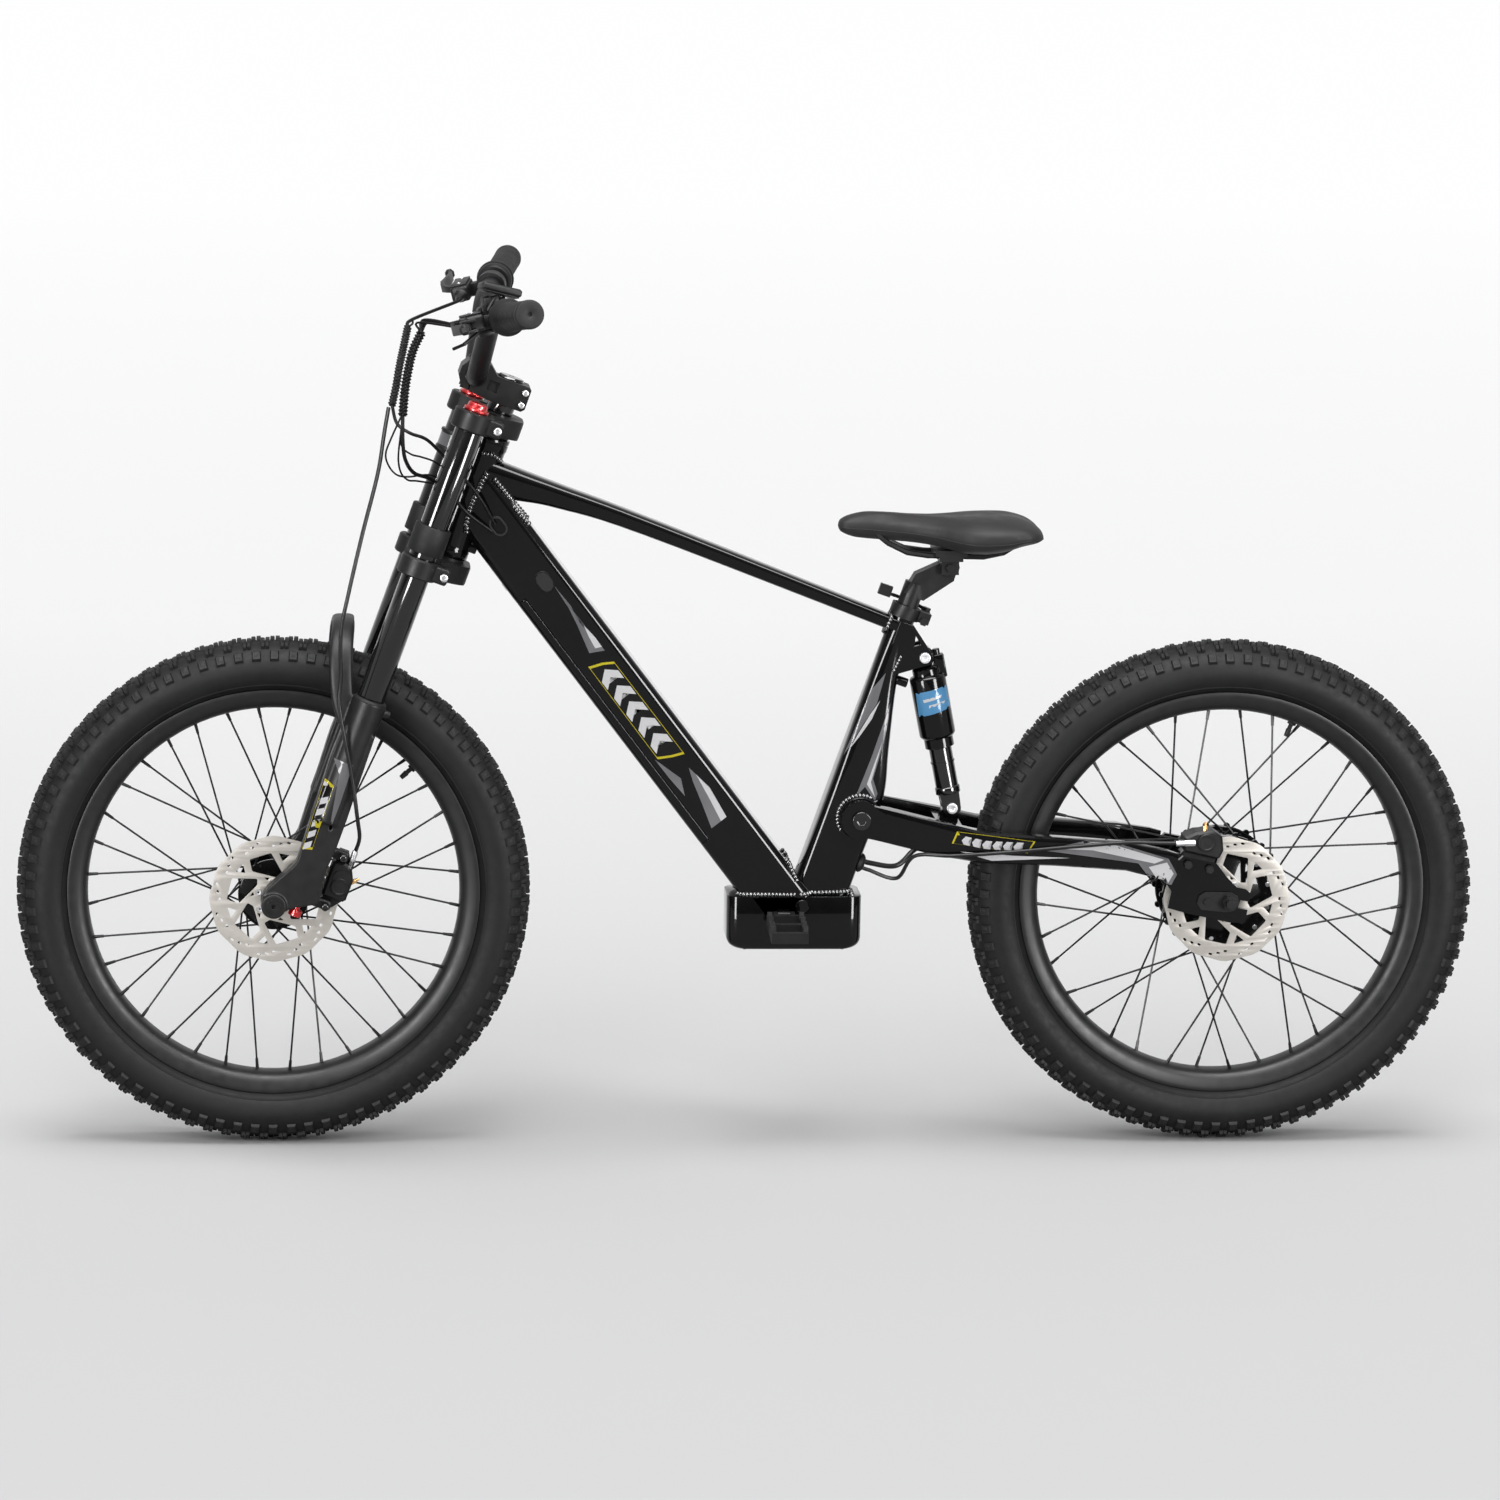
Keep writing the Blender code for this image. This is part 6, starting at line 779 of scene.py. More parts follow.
def rotor(prefix, centre, turn):
    """Brake disc: waved edge, six slanting arms, large and small windows between them, and slots."""
    arms = [turn + k * math.tau / 6 for k in range(6)]
    outline = []
    for angle in spread_angles(360):
        radius = ROTOR_RADIUS - 0.0009 * (1 - math.cos(12 * angle))
        outline.append((radius * math.cos(angle), radius * math.sin(angle)))
    paths = [outline, circle(0.0160, 48)]
    for at in arms:
        for corners, rounding_radius in (
            ([(0.0330, -33), (0.0268, -22), (0.0440, 27), (0.0590, 20), (0.0590, -8)], 0.0022),
            ([(0.0480, -24), (0.0590, -31), (0.0590, -17)], 0.0014),
            ([(0.0245, 8), (0.0275, -2), (0.0305, 14)], 0.0010),
        ):
            paths.append(rounded_path(polar(corners, at), rounding_radius))
        paths.append(circle(0.0024, 12, polar([ROTOR_BOLT], at)[0]))
        for group in range(2):
            for i, r in enumerate((0.0735, 0.0705, 0.0675)):
                a = -26 + 30 * group + 7.5 * i
                slot = [(r - 0.0019, a - 1.5), (r + 0.0013, a - 2.4), (r + 0.0019, a + 1.5),
                        (r - 0.0013, a + 2.4)]
                paths.append(rounded_path(polar(slot, at), 0.0008, 3))
    place = Matrix.Translation(centre + Vector((0, ROTOR_Y, 0))) @ UPRIGHT
    piece(prefix + "_disc_fine", flat_holes(paths, 0.0023), FINISHES["disc_steel"], prefix + "_wheel",
          prefix + "_brake_disc", place, smooth=30, slot="disc_steel")
    head = mm((1.2, -2.2), (3.6, -2.4), (4.3, -1.2), (4.3, 0), (2.4, 0), (2.4, 4), (1.1, 4))
    bolts = []
    for at in arms:
        x, z = polar([ROTOR_BOLT], at)[0]
        bolts.append(turned(head, 16, True, "Y", (centre.x + x, ROTOR_Y - 0.0012, centre.z + z)))
    piece(prefix + "_disc_bolts", bolts, STEEL, prefix + "_wheel", slot="bright_steel")


def valve(prefix, place, angle):
    """Air tube with its valve stem, nut and cap."""
    section = mm((15, 253.5), (25.5, 272), (30, 285), (24.5, 298.5), (10.5, 309.5))
    outline = section + [(-y, r) for y, r in section[::-1]]
    out = Vector((math.cos(angle), 0, math.sin(angle)))
    stem = [rod(out * 0.2560, out * 0.2140, 0.0029, 16), rod(out * 0.2332, out * 0.2300, 0.0058, 6)]
    piece(prefix + "_air_tube_fine", [hoop(outline, 96)] + stem, RUBBER, prefix + "_wheel",
          prefix + "_inner_tube", place, slot="tyre_rubber")
    piece(prefix + "_valve_cap", rod(out * 0.2230, out * 0.2135, 0.0038, 12, 0.0030), PLASTIC,
          prefix + "_wheel", place=place, slot="black_plastic")


def front_hub():
    profile = mm(
        (6.4, -60.8), (16, -61), (16.4, -60), (16.4, -56.8), (24, -56.6), (24.3, -55.6), (23.8, -50),
        (20.5, -40), (20.5, -34.5), (43, -33.8), (44.8, -33), (45, -30.5), (44.5, -28.6), (23, -28.2),
        (20, -26), (18.5, -15), (18, 0), (18.5, 15), (20, 26), (23, 28.2), (44.5, 28.6), (45, 31),
        (44.6, 33.4), (21, 34.5), (18, 40), (15, 56), (14, 60.6), (6.4, 60.8),
    )
    shape = turned(profile, 64, True, "Y", FRONT_AXLE)
    piece("front_hub_shell", shape, GLOSS, "front_wheel", "front_hub", smooth=30, slot="satin_black")


def motor_hub():
    """Hub motor: shell with cooling steps, flanges, domed covers with their screws."""
    profile = mm(
        (6.4, -65.8), (16, -66), (16.4, -65), (16.4, -56.8), (24, -56.6), (24.4, -55.6), (26.2, -50),
        (40, -45.5), (56, -40.5), (61, -39.2), (62.8, -38.6), (63.2, -35.2), (66, -34), (75.5, -33.6),
        (77, -32.6), (77, -29.6), (75.5, -28.6), (70, -28.4), (69.2, -27),
        (69.2, 27), (70, 28.4), (75.5, 28.6), (77, 29.6), (77, 32.6), (75.5, 33.6), (66, 34.2), (63.2, 36),
        (62.8, 42), (56, 44.5), (40, 48.5), (26.2, 50), (24, 52), (17, 56), (15, 65.6), (6.4, 65.8),
    )
    shape = turned(profile, 96, True, "Y", REAR_AXLE)
    piece("motor_shell", shape, GLOSS, "rear_wheel", "rear_hub_motor", smooth=30, slot="motor_paint")

    def round_axle(radius, angle, y=0):
        return Vector((REAR_AXLE.x + radius * math.cos(angle), y, REAR_AXLE.z + radius * math.sin(angle)))

    screws = [drum(0.0030, -0.0016, 0.0016, 12, centre=round_axle(0.0570, angle, y), edge=0.0005)
              for y in (-0.0400, 0.0432) for angle in spread_angles(12, 0.5)]
    lobes = [drum(0.0042, y - 0.0019, y + 0.0019, 14, centre=round_axle(0.0770, angle), edge=0.0006)
             for angle in spread_angles(18) for y in (-0.0311, 0.0311)]
    piece("motor_screws", screws, STEEL, "rear_wheel", slot="bright_steel")
    piece("motor_flange_lobes", lobes, GLOSS, "rear_wheel", slot="motor_paint")


def wheels():
    for prefix, centre, valve_degrees, hole_radius, crossings, seed, rotor_turn in (
        ("front", FRONT_AXLE, 42, 0.0400, 3, 11, 0.72), ("rear", REAR_AXLE, 68, 0.0720, 2, 12, 0.20),
    ):
        place = Matrix.Translation(centre)
        tyre(prefix, place, seed)
        rim(prefix, place)
        spokes(prefix, place, hole_radius, crossings)
        rotor(prefix, centre, rotor_turn)
        valve(prefix, place, math.radians(valve_degrees))
    front_hub()
    motor_hub()


# Details laid on a surface

# A distance to the side that is outside every part
OUTSIDE = 0.3


def surface_point(target, place, point, side, lift):
    """Where a side view point of a local frame lies on a surface, seen from that side, lifted off it."""
    start = place @ Vector((point[0], side * OUTSIDE, point[1]))
    found = target.ray_cast(start, Vector((0, -side, 0)))
    if found[0] is None:
        found = target.find_nearest(place @ Vector((point[0], side * 0.03, point[1])))
    normal = found[1] if found[1].y * side > 0 else -found[1]
    return found[0] + normal * lift


def weld(target, place, knots, side, radius):
    """A stacked bead along a line drawn in side view."""
    pitch, waves = 0.0046, 6
    path = [surface_point(target, place, knot, side, 0.40 * radius) for knot in through(knots, 12)]
    path = evenly(path, pitch / waves)
    ripple = [radius * (0.55 + 0.45 * abs(math.sin(math.pi * i / waves)) ** 0.6) for i in range(len(path))]
    ripple[0] = ripple[-1] = radius * 0.3
    return along(path, ripple, 10)


def draped(target, place, outline, side, lift):
    """A thin graphic over a surface, from its outline in side view."""
    work = bmesh.new()
    corners = [Vector(point) for point in outline]
    for start, end in zip(corners, corners[1:] + corners[:1]):
        steps = max(1, int((end - start).length / 0.006))
        for i in range(steps):
            point = start.lerp(end, i / steps)
            work.verts.new((point.x, 0, point.y))
    work.faces.new(work.verts[:])
    bmesh.ops.triangulate(work, faces=work.faces[:])
    for _ in range(2):
        long_edges = [edge for edge in work.edges if edge.calc_length() > 0.007]
        bmesh.ops.subdivide_edges(work, edges=long_edges, cuts=2)
        bmesh.ops.triangulate(work, faces=[face for face in work.faces if len(face.verts) > 3])
    work.verts.index_update()
    outer, inner = ([surface_point(target, place, (v.co.x, v.co.z), side, share * lift) for v in work.verts]
                    for share in (1, 0.35))
    faces = [tuple(v.index for v in face.verts) for face in work.faces]
    border = [tuple(v.index for v in edge.verts) for edge in work.edges if edge.is_boundary]
    work.free()
    count = len(outer)
    solid = faces + [tuple(i + count for i in face[::-1]) for face in faces]
    solid += [(a, b, b + count, a + count) for a, b in border]
    return [tuple(point) for point in outer + inner], solid


def graphics(name, target, place, layers, body):
    """Painted shapes in several colours on both sides of a surface, kept generic."""
    for k, (finish, outlines) in enumerate(layers):
        lift = 0.00030 + 0.00012 * k
        shapes = [draped(target, place, outline, side, lift) for outline in outlines for side in (-1, 1)]
        piece(name + "_" + str(k), shapes, finish, body, slot="frame_paint", smooth=50)


def inset(outline, share):
    """The same outline drawn in towards its middle."""
    middle = Vector((sum(x for x, _ in outline) / len(outline), sum(z for _, z in outline) / len(outline)))
    return [tuple(middle + (Vector(point) - middle) * share) for point in outline]


def ring_plate(length, width, wall, low, high):
    """A raised oval ring whose length lies along Y."""
    edge = 0.0006
    sections = []
    for trim, height in ((0, low), (0, high - edge), (2 * edge, high), (2 * wall - edge, high),
                         (2 * wall, high - edge), (2 * wall, low)):
        sections.append([(x, y, height) for x, y in oval(length - trim, width - trim)])
    return loft(sections, closed=True)


# Frame

SHOCK_EYE = SEAT_TUBE.inverted() @ SHOCK_TOP


def down_tube():
    """The box-section tube, slanted at its front end, and the battery tray cut from its lower side."""
    seam, low, high = -0.0235, 0.1115, DOWN_TUBE_LENGTH - 0.145
    sections = []
    for height, width, slant in ((-0.030, 0.076, 0.0), (DOWN_TUBE_LENGTH - 0.132, 0.076, 0.0),
                                 (DOWN_TUBE_LENGTH - 0.004, 0.046, 0.65)):
        sections.append([(x, y, height + slant * x) for x, y in rounded_box(0.073, width, 0.0115, 9)])
    whole = loft(sections)
    room = box((0.03, 0.09, high - low), (seam - 0.015, 0, (low + high) / 2), 0)
    lid = box((0.03, 0.09, high - low - 0.0012), (seam - 0.0156, 0, (low + high) / 2), 0)
    down = piece("down_tube", combined(whole, [room]), GLOSS, "frame", "main_frame", DOWN_TUBE, bevel=0.0005)
    piece("battery_tray", combined(whole, [lid], "INTERSECT"), GLOSS, "frame", "battery_cover", DOWN_TUBE,
          bevel=0.0007)
    return down.data


def seat_tube():
    """A boxy foot that draws in to a round top, bored for the seatpost."""
    stations = [
        (-0.018, 0.070, 0.056, 5), (0.070, 0.070, 0.056, 5), (0.150, 0.070, 0.056, 5),
        (0.210, 0.0553, 0.0498, 4.5), (0.290, 0.0371, 0.0392, 3), (0.350, 0.0318, 0.0318, 2),
        (0.388, 0.0318, 0.0318, 2),
    ]
    sections = []
    for height, depth, width, power in through(stations, 5):
        outline = squircle(depth, width, power, 64, (depth / 2 - 0.0159, 0))
        sections.append([(x, y, height) for x, y in outline])
    bored = combined(loft(sections), [drum(0.0138, 0.186, 0.395, 48, "Z")])
    return moved(shape_of(bored), SEAT_TUBE)


def top_tube():
    """A slim tube that grows and deepens towards the head tube."""
    rear, front = SEAT_TUBE @ Vector((0, 0, 0.3605)), FORK @ Vector((0.010, 0, 0.589))
    run = front - rear
    line = leaning(rear, math.atan2(-run.z, run.x) + math.pi)
    stations = [(0, 0, 1, 0), (0.62, 0.13, 1.12, 0.006), (0.82, 0.35, 1.22, 0.003),
                (0.91, 0.62, 1.32, -0.001), (1, 1, 1.44, -0.006)]
    sections = []
    for share, growth, widen, rise in through(stations, 6):
        outline = squircle(0.032 * widen, 0.0185 + growth * 0.0315, 3.6, 48)
        sections.append([(-share * run.length, y, z + rise) for y, z in outline])
    return moved(loft(sections), line)


def head_tube():
    profile = mm((25.5, 474.6), (26, 475.2), (26, 485), (25.4, 486.5), (25, 490), (25, 616), (25.4, 619),
                 (26, 620), (26, 627), (25.2, 627.5), (25.2, 628.5), (26, 629), (26, 633.8), (25.5, 634.4))
    return moved(turned(profile, 64), FORK)


def housing():
    """The controller's box under the frame, rounded at its lower edges."""
    foot, round_x, round_y = 0.2528, 0.015, 0.004
    levels = []
    for k in range(9):
        angle = k * math.pi / 16
        trim = 1 - math.sin(angle)
        levels.append((foot + round_x * (1 - math.cos(angle)), round_x * trim, round_y * trim))
    levels += [(0.3195, 0, 0), (0.3205, 0.0004, 0.0004), (0.3210, 0.0015, 0.0015)]
    sections = []
    for height, trim_x, trim_y in levels:
        corner = 0.017 - min(trim_x, 0.002)
        outline = rounded_box(0.1705 - 2 * trim_x, 0.076 - 2 * trim_y, corner, 8, (0.0552, 0))
        sections.append([(x, y, height) for x, y in outline])
    return loft(sections)


def shock_plates():
    """Two lugs behind the seat tube that hold the shock's upper bolt."""
    eye = SHOCK_EYE
    outline = [(-0.004, eye.z - 0.034), (0.012, eye.z - 0.034), (eye.x + 0.002, eye.z - 0.0115)]
    outline += circle(0.0105, 14, (eye.x, eye.z), -math.radians(70), math.radians(130))
    outline += [(0.014, eye.z + 0.034), (-0.004, eye.z + 0.034)]
    window = [(0.024, eye.z + 0.009), (0.031, eye.z + 0.014), (0.021, eye.z + 0.023)]
    for side, name in ((1, "far"), (-1, "near")):
        plate = combined(side_plate(outline, side * 0.0113, side * 0.0163), [side_plate(window, -0.03, 0.03)])
        piece("shock_plate_" + name, plate, GLOSS, "frame", place=SEAT_TUBE, bevel=0.0008, slot="frame_paint")


def peg_lugs():
    """On each side a hinge barrel with its root for the foot peg, and the housing's bolt boss above."""
    shapes = []
    for side in (1, -1):
        hinge = Vector((0.0402, side * 0.050, 0.2975))
        shapes.append(drum(0.008, -0.008, 0.008, 28, "X", hinge))
        shapes.append(box((0.016, 0.016, 0.016), (hinge.x, side * 0.0420, hinge.z), 0.0012))
        shapes.append(drum(0.0085, side * 0.030, side * 0.0430, 28, centre=(0.0642, 0, 0.3095), edge=0.001))
    return shapes


def weld_beads(whole, seat):
    """The beads along the frame's seams, on the surfaces of the whole frame and of the seat tube."""
    pivot_ring = [(PIVOT.x + 0.0290 * math.cos(a), PIVOT.z + 0.0290 * math.sin(a))
                  for a in [math.radians(degrees) for degrees in range(60, 215, 14)]]
    plate_seam = [(x, SHOCK_EYE.z + z) for x, z in mm((9, -30), (11.5, -12), (12.5, 10), (12, 31))]
    row_frame = Matrix.Identity(4)
    lines = [
        (whole, DOWN_TUBE, 0.0040, mm((33, 650), (27.6, 647.5), (1.4, 635), (-20, 620.5), (-34.5, 605))),
        (whole, DOWN_TUBE, 0.0036, mm((35, 640), (36.8, 601.4), (38, 565.1))),
        (whole, FORK, 0.0030, mm((-4, 612), (10, 613.5), (22.5, 608))),
        (whole, SEAT_TUBE, 0.0028, mm((-15, 376), (-17, 360), (-15, 345))),
        (whole, row_frame, 0.0032, mm((47, 372), (46.8, 361.7), (57.3, 340))),
        (whole, row_frame, 0.0032, pivot_ring),
        (whole, row_frame, 0.0032, mm((-18.5, 324.5), (18.75, 324.15), (56, 323.8))),
        (whole, row_frame, 0.0032, mm((60, 323.8), (96.05, 324.9), (132.1, 326))),
        (seat, SEAT_TUBE, 0.0022, plate_seam),
    ]
    beads = [weld(target, place, knots, side, radius)
             for side in (1, -1) for target, place, radius, knots in lines]
    piece("weld_beads", beads, WELD, "frame", slot="frame_paint", smooth=60)


def openings():
    """The cable port, the charge port's rim and the grommet for the rear cables."""
    core = [[(x, y, height) for x, y in oval(0.0212, 0.0132, 20)] for height in (-0.004, 0.0010)]
    piece("cable_port", [ring_plate(0.027, 0.019, 0.0028, -0.004, 0.0098), loft(core)], GRIP_RUBBER, "frame",
          place=CABLE_PORT, slot="soft_rubber")
    piece("charge_rim", ring_plate(0.029, 0.019, 0.0011, -0.001, 0.0024), PLASTIC, "frame",
          place=CHARGE_PORT, slot="black_plastic")
    profile = mm((9.8, 42), (10, 51.5), (11.8, 53.5), (12.4, 56), (11.2, 58), (8.5, 60), (6, 60.2))
    piece("rear_grommet", turned(profile, 32, False, "X", (0, -0.012, 0.060)), GRIP_RUBBER, "frame",
          place=SEAT_TUBE, slot="soft_rubber")


def frame_graphics(down, seat):
    slate = [
        mm((14.5, 488), (15.8, 455), (11.8, 429), (16, 401), (15.8, 384), (-1.5, 393), (3, 412), (7.5, 430),
           (12.5, 456)),
        mm((-17.2, 235), (-8, 204), (-5.5, 196), (-15, 174.5), (-17, 205)),
        mm((10.5, 201), (16.5, 165), (10.8, 121.5), (-13, 121), (-2, 160), (4, 183)),
    ]
    pale = [
        mm((14, 426), (16.2, 404), (15.8, 390), (8, 393.5), (10.5, 411)),
        mm((12.5, 188), (16, 164), (10.8, 121.5), (2, 121.3), (8, 156)),
    ]
    badge = mm((-13, 380), (3.5, 374), (16.5, 366), (16.8, 218), (2, 224), (-14, 233))
    chevrons = []
    for k in range(5):
        foot, left, right = 350 - 25.5 * k, -11.2, 14.2
        chevrons.append(mm((left, foot + 4), (1.5, foot + 15), (right, foot + 4), (right, foot - 8.5),
                           (1.5, foot + 2.5), (left, foot - 8.5)))
    graphics("tube_graphic", down, DOWN_TUBE, [
        (GREY_PAINT, slate), (WHITE_PAINT, pale), (YELLOW_PAINT, [badge]),
        (GLOSS_INK, [inset(badge, 0.955)]), (WHITE_PAINT, chevrons),
    ], "frame")
    graphics("seat_graphic", seat, SEAT_TUBE, [
        (GREY_PAINT, [
            mm((1, 300), (-8.5, 275), (-10.5, 246), (-12, 210), (-13.5, 185), (-10, 200), (-4, 230),
               (3.5, 260)),
            mm((19.5, 266), (20, 194), (19, 165), (18, 140), (25, 156), (43, 143), (43, 153), (31, 169),
               (29, 210), (25.5, 240)),
        ]),
        (WHITE_PAINT, [
            mm((6, 265), (0, 244), (-5.5, 218), (-9.5, 195), (-3.5, 213), (4, 240)),
            mm((26.5, 218), (26, 176), (26, 160), (42, 147), (30, 164), (28, 195)),
        ]),
    ], "frame")


def welded_frame():
    """Tubes, housing and brackets, with their weld beads, openings and graphics."""
    down = down_tube()
    seat = seat_tube()
    shapes = [seat, top_tube(), head_tube(), housing()]
    shapes.append(drum(0.027, -0.033, 0.033, 56, centre=PIVOT, edge=0.0012))
    shapes.append(moved(box((0.014, 0.020, 0.010), (0.026, 0, 0.492), 0.0015, 3), FORK))
    shock_plates()
    shapes.append(moved(drum(0.006, 0.010, 0.034, 24, "X", (0, 0, SHOCK_EYE.z - 0.040)), SEAT_TUBE))
    shapes += peg_lugs()
    piece("frame_joined", shapes, GLOSS, "frame", "main_frame", smooth=42)

    down_tree = tree_of(down)
    seat_tree = tree_of(mesh_from("seat_surface", seat))
    whole_tree = tree_of(mesh_from("whole_surface", together(shapes + [shape_of(down)])))
    weld_beads(whole_tree, seat_tree)
    openings()
    frame_graphics(down_tree, seat_tree)


# Saddle

SADDLE_NOSE = 0.0985
SADDLE_STATIONS = mm(
    (1.5, 6, 792.5, 787), (5, 12, 798.5, 783), (14, 17, 801.8, 780), (30, 19.5, 803.4, 777.8),
    (60, 22, 802.8, 775.5), (95, 29, 800.6, 773), (125, 42, 799.4, 769), (150, 59, 799.6, 763.2),
    (170, 69.5, 800.6, 760), (190, 72.8, 801.2, 759.7), (215, 73, 801.2, 762.8), (235, 70.8, 799.8, 768.5),
    (250, 65, 796, 772), (259, 55, 789, 774.5), (262.5, 44, 784, 777.5),
)


def puffed(shape):
    """A cushion's mesh, pressed out a little by its filling, with every move capped."""
    mesh = mesh_from("cushion", shape)
    pressure, cap, last_step = 4.0, 0.004, 20
    scene = bpy.context.scene
    cushion = added("cushion", mesh)
    voxel_remesh(cushion, 0.0045)
    even = evaluated(cushion)
    cushion.modifiers.clear()
    cushion.data = even
    before = [v.co.copy() for v in even.vertices]
    cloth = cushion.modifiers.new("cloth", "CLOTH")
    cloth.settings.quality = 6
    cloth.settings.use_pressure = True
    cloth.settings.uniform_pressure_force = pressure
    cloth.settings.effector_weights.gravity = 0.0
    cloth.point_cache.frame_start, cloth.point_cache.frame_end = 1, last_step
    for step in range(1, last_step + 1):
        scene.frame_set(step)
    pressed = cushion.evaluated_get(bpy.context.evaluated_depsgraph_get()).data
    after = [v.co.copy() for v in pressed.vertices]
    cushion.modifiers.clear()
    scene.frame_set(1)
    for vertex, old, new in zip(even.vertices, before, after):
        move = new - old
        vertex.co = old + move * min(1.0, cap / max(move.length, 1e-9))
    cushion.modifiers.new("smooth", "SMOOTH").iterations = 3
    cushion.modifiers.new("finer", "SUBSURF").levels = 1
    result = evaluated(cushion)
    bpy.data.objects.remove(cushion)
    return result


def share_of(value, low, high):
    """How far a value has come from low to high, from 0 to 1."""
    return min(1.0, max(0.0, (value - low) / (high - low)))


def saddle_section(place, half, high, low):
    """Crowned above with a shallow channel along the middle, tucked in and hollow below."""
    middle = low + 0.42 * (high - low)
    points = []
    for angle in spread_angles(44, 0.5):
        side = math.copysign(abs(math.cos(angle)) ** 0.80, math.cos(angle))
        rise = abs(math.sin(angle))
        if math.sin(angle) > 0:
            channel = 0.0016 * math.exp(-(side / 0.20) ** 2) * share_of(place, 0.05, 0.13)
            height = middle + (high - middle) * rise ** 0.72 - channel
        else:
            hollow = 0.40 * share_of(half, 0.030, 0.060) * math.exp(-(side / 0.55) ** 2)
            height = middle - (middle - low) * rise ** 0.42 * (1 - hollow)
            side *= 1 - 0.10 * rise
        points.append((SADDLE_NOSE + place, half * side, height))
    return points


def saddle():
    stations = [tuple(float(value) for value in station) for station in through(SADDLE_STATIONS, 4)]
    mesh = puffed(loft([saddle_section(*station) for station in stations]))
    cushion = piece("saddle_cushion", mesh, LEATHER, "seat", "saddle", smooth=60)
    surface = tree_of(cushion.data)
    for side, name in ((1, "far"), (-1, "near")):
        seam = []
        for place, _, high, low in stations[3:-4]:
            start = Vector((SADDLE_NOSE + place, side * OUTSIDE, low + 0.34 * (high - low)))
            found = surface.ray_cast(start, Vector((0, -side, 0)))
            if found[0]:
                seam.append(found[0] + Vector((0, side * 0.00015, 0)))
        bead = along(evenly(seam, 0.004), 0.00075, 8)
        piece("saddle_seam_" + name, bead, LEATHER, "seat", slot="saddle_cover")


# Cords


def wound(points, radius):
    """A wound wrap with a small knob at each crossing."""
    pitch, lobes, step = 0.0044, 4, 0.0006
    sections = []
    for i, (point, normal, other) in enumerate(carried(evenly(through(points, 12), step))):
        turn = math.pi * i * step / pitch
        ring = []
        for angle in spread_angles(36):
            rise = abs(math.cos(lobes * angle / 2 + turn) * math.cos(lobes * angle / 2 - turn)) ** 0.9
            out = normal * math.cos(angle) + other * math.sin(angle)
            ring.append(point + out * radius * (0.62 + 0.38 * rise))
        sections.append(ring)
    return loft(sections)


def placed(place, *points):
    """Points of a local frame in the row frame."""
    return [place @ Vector(point) for point in points]


def lead(points, radius, sides=12):
    return along(evenly(through(points, 10), 0.003), radius, sides)


def harness_right():
    """From the far controls, wrapped in front of the head tube, into the frame."""
    start = placed(FAR_BAR, (-0.036, 0.020, 0), (-0.0365, 0.008, 0))
    start += placed(FORK, (-0.1379, 0.058, 0.7305))
    wrap = placed(FORK, (-0.1403, 0.042, 0.7212), (-0.1381, 0.018, 0.6986), (-0.1360, -0.005, 0.6771),
                  (-0.1323, -0.020, 0.6537), (-0.1300, -0.035, 0.6316))
    tail = placed(FORK, (-0.1168, -0.043, 0.6128), (-0.0980, -0.050, 0.6078), (-0.0743, -0.050, 0.6067),
                  (-0.0395, -0.047, 0.5893), (0.0069, -0.0455, 0.5633))
    tail += placed(CABLE_PORT, (-0.002, 0.0040, 0.0070))
    shapes = [lead(start + wrap[:1], 0.0022), wound(wrap, 0.0056), lead(wrap[-1:] + tail, 0.0021)]
    for shift in (-0.004, 0.004):
        middle = start[-1].lerp(wrap[0], 0.5) + Vector((shift, shift, 0))
        shapes.append(lead([start[-1], middle, wrap[0]], 0.0013))
    far = piece("cable_wrap_far", shapes, WRAP, None, "harness_right", smooth=50)
    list(placed(FORK, (0.0069, -0.0455, 0.5633), (-0.0900, -0.050, 0.6070)))
    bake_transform(far)


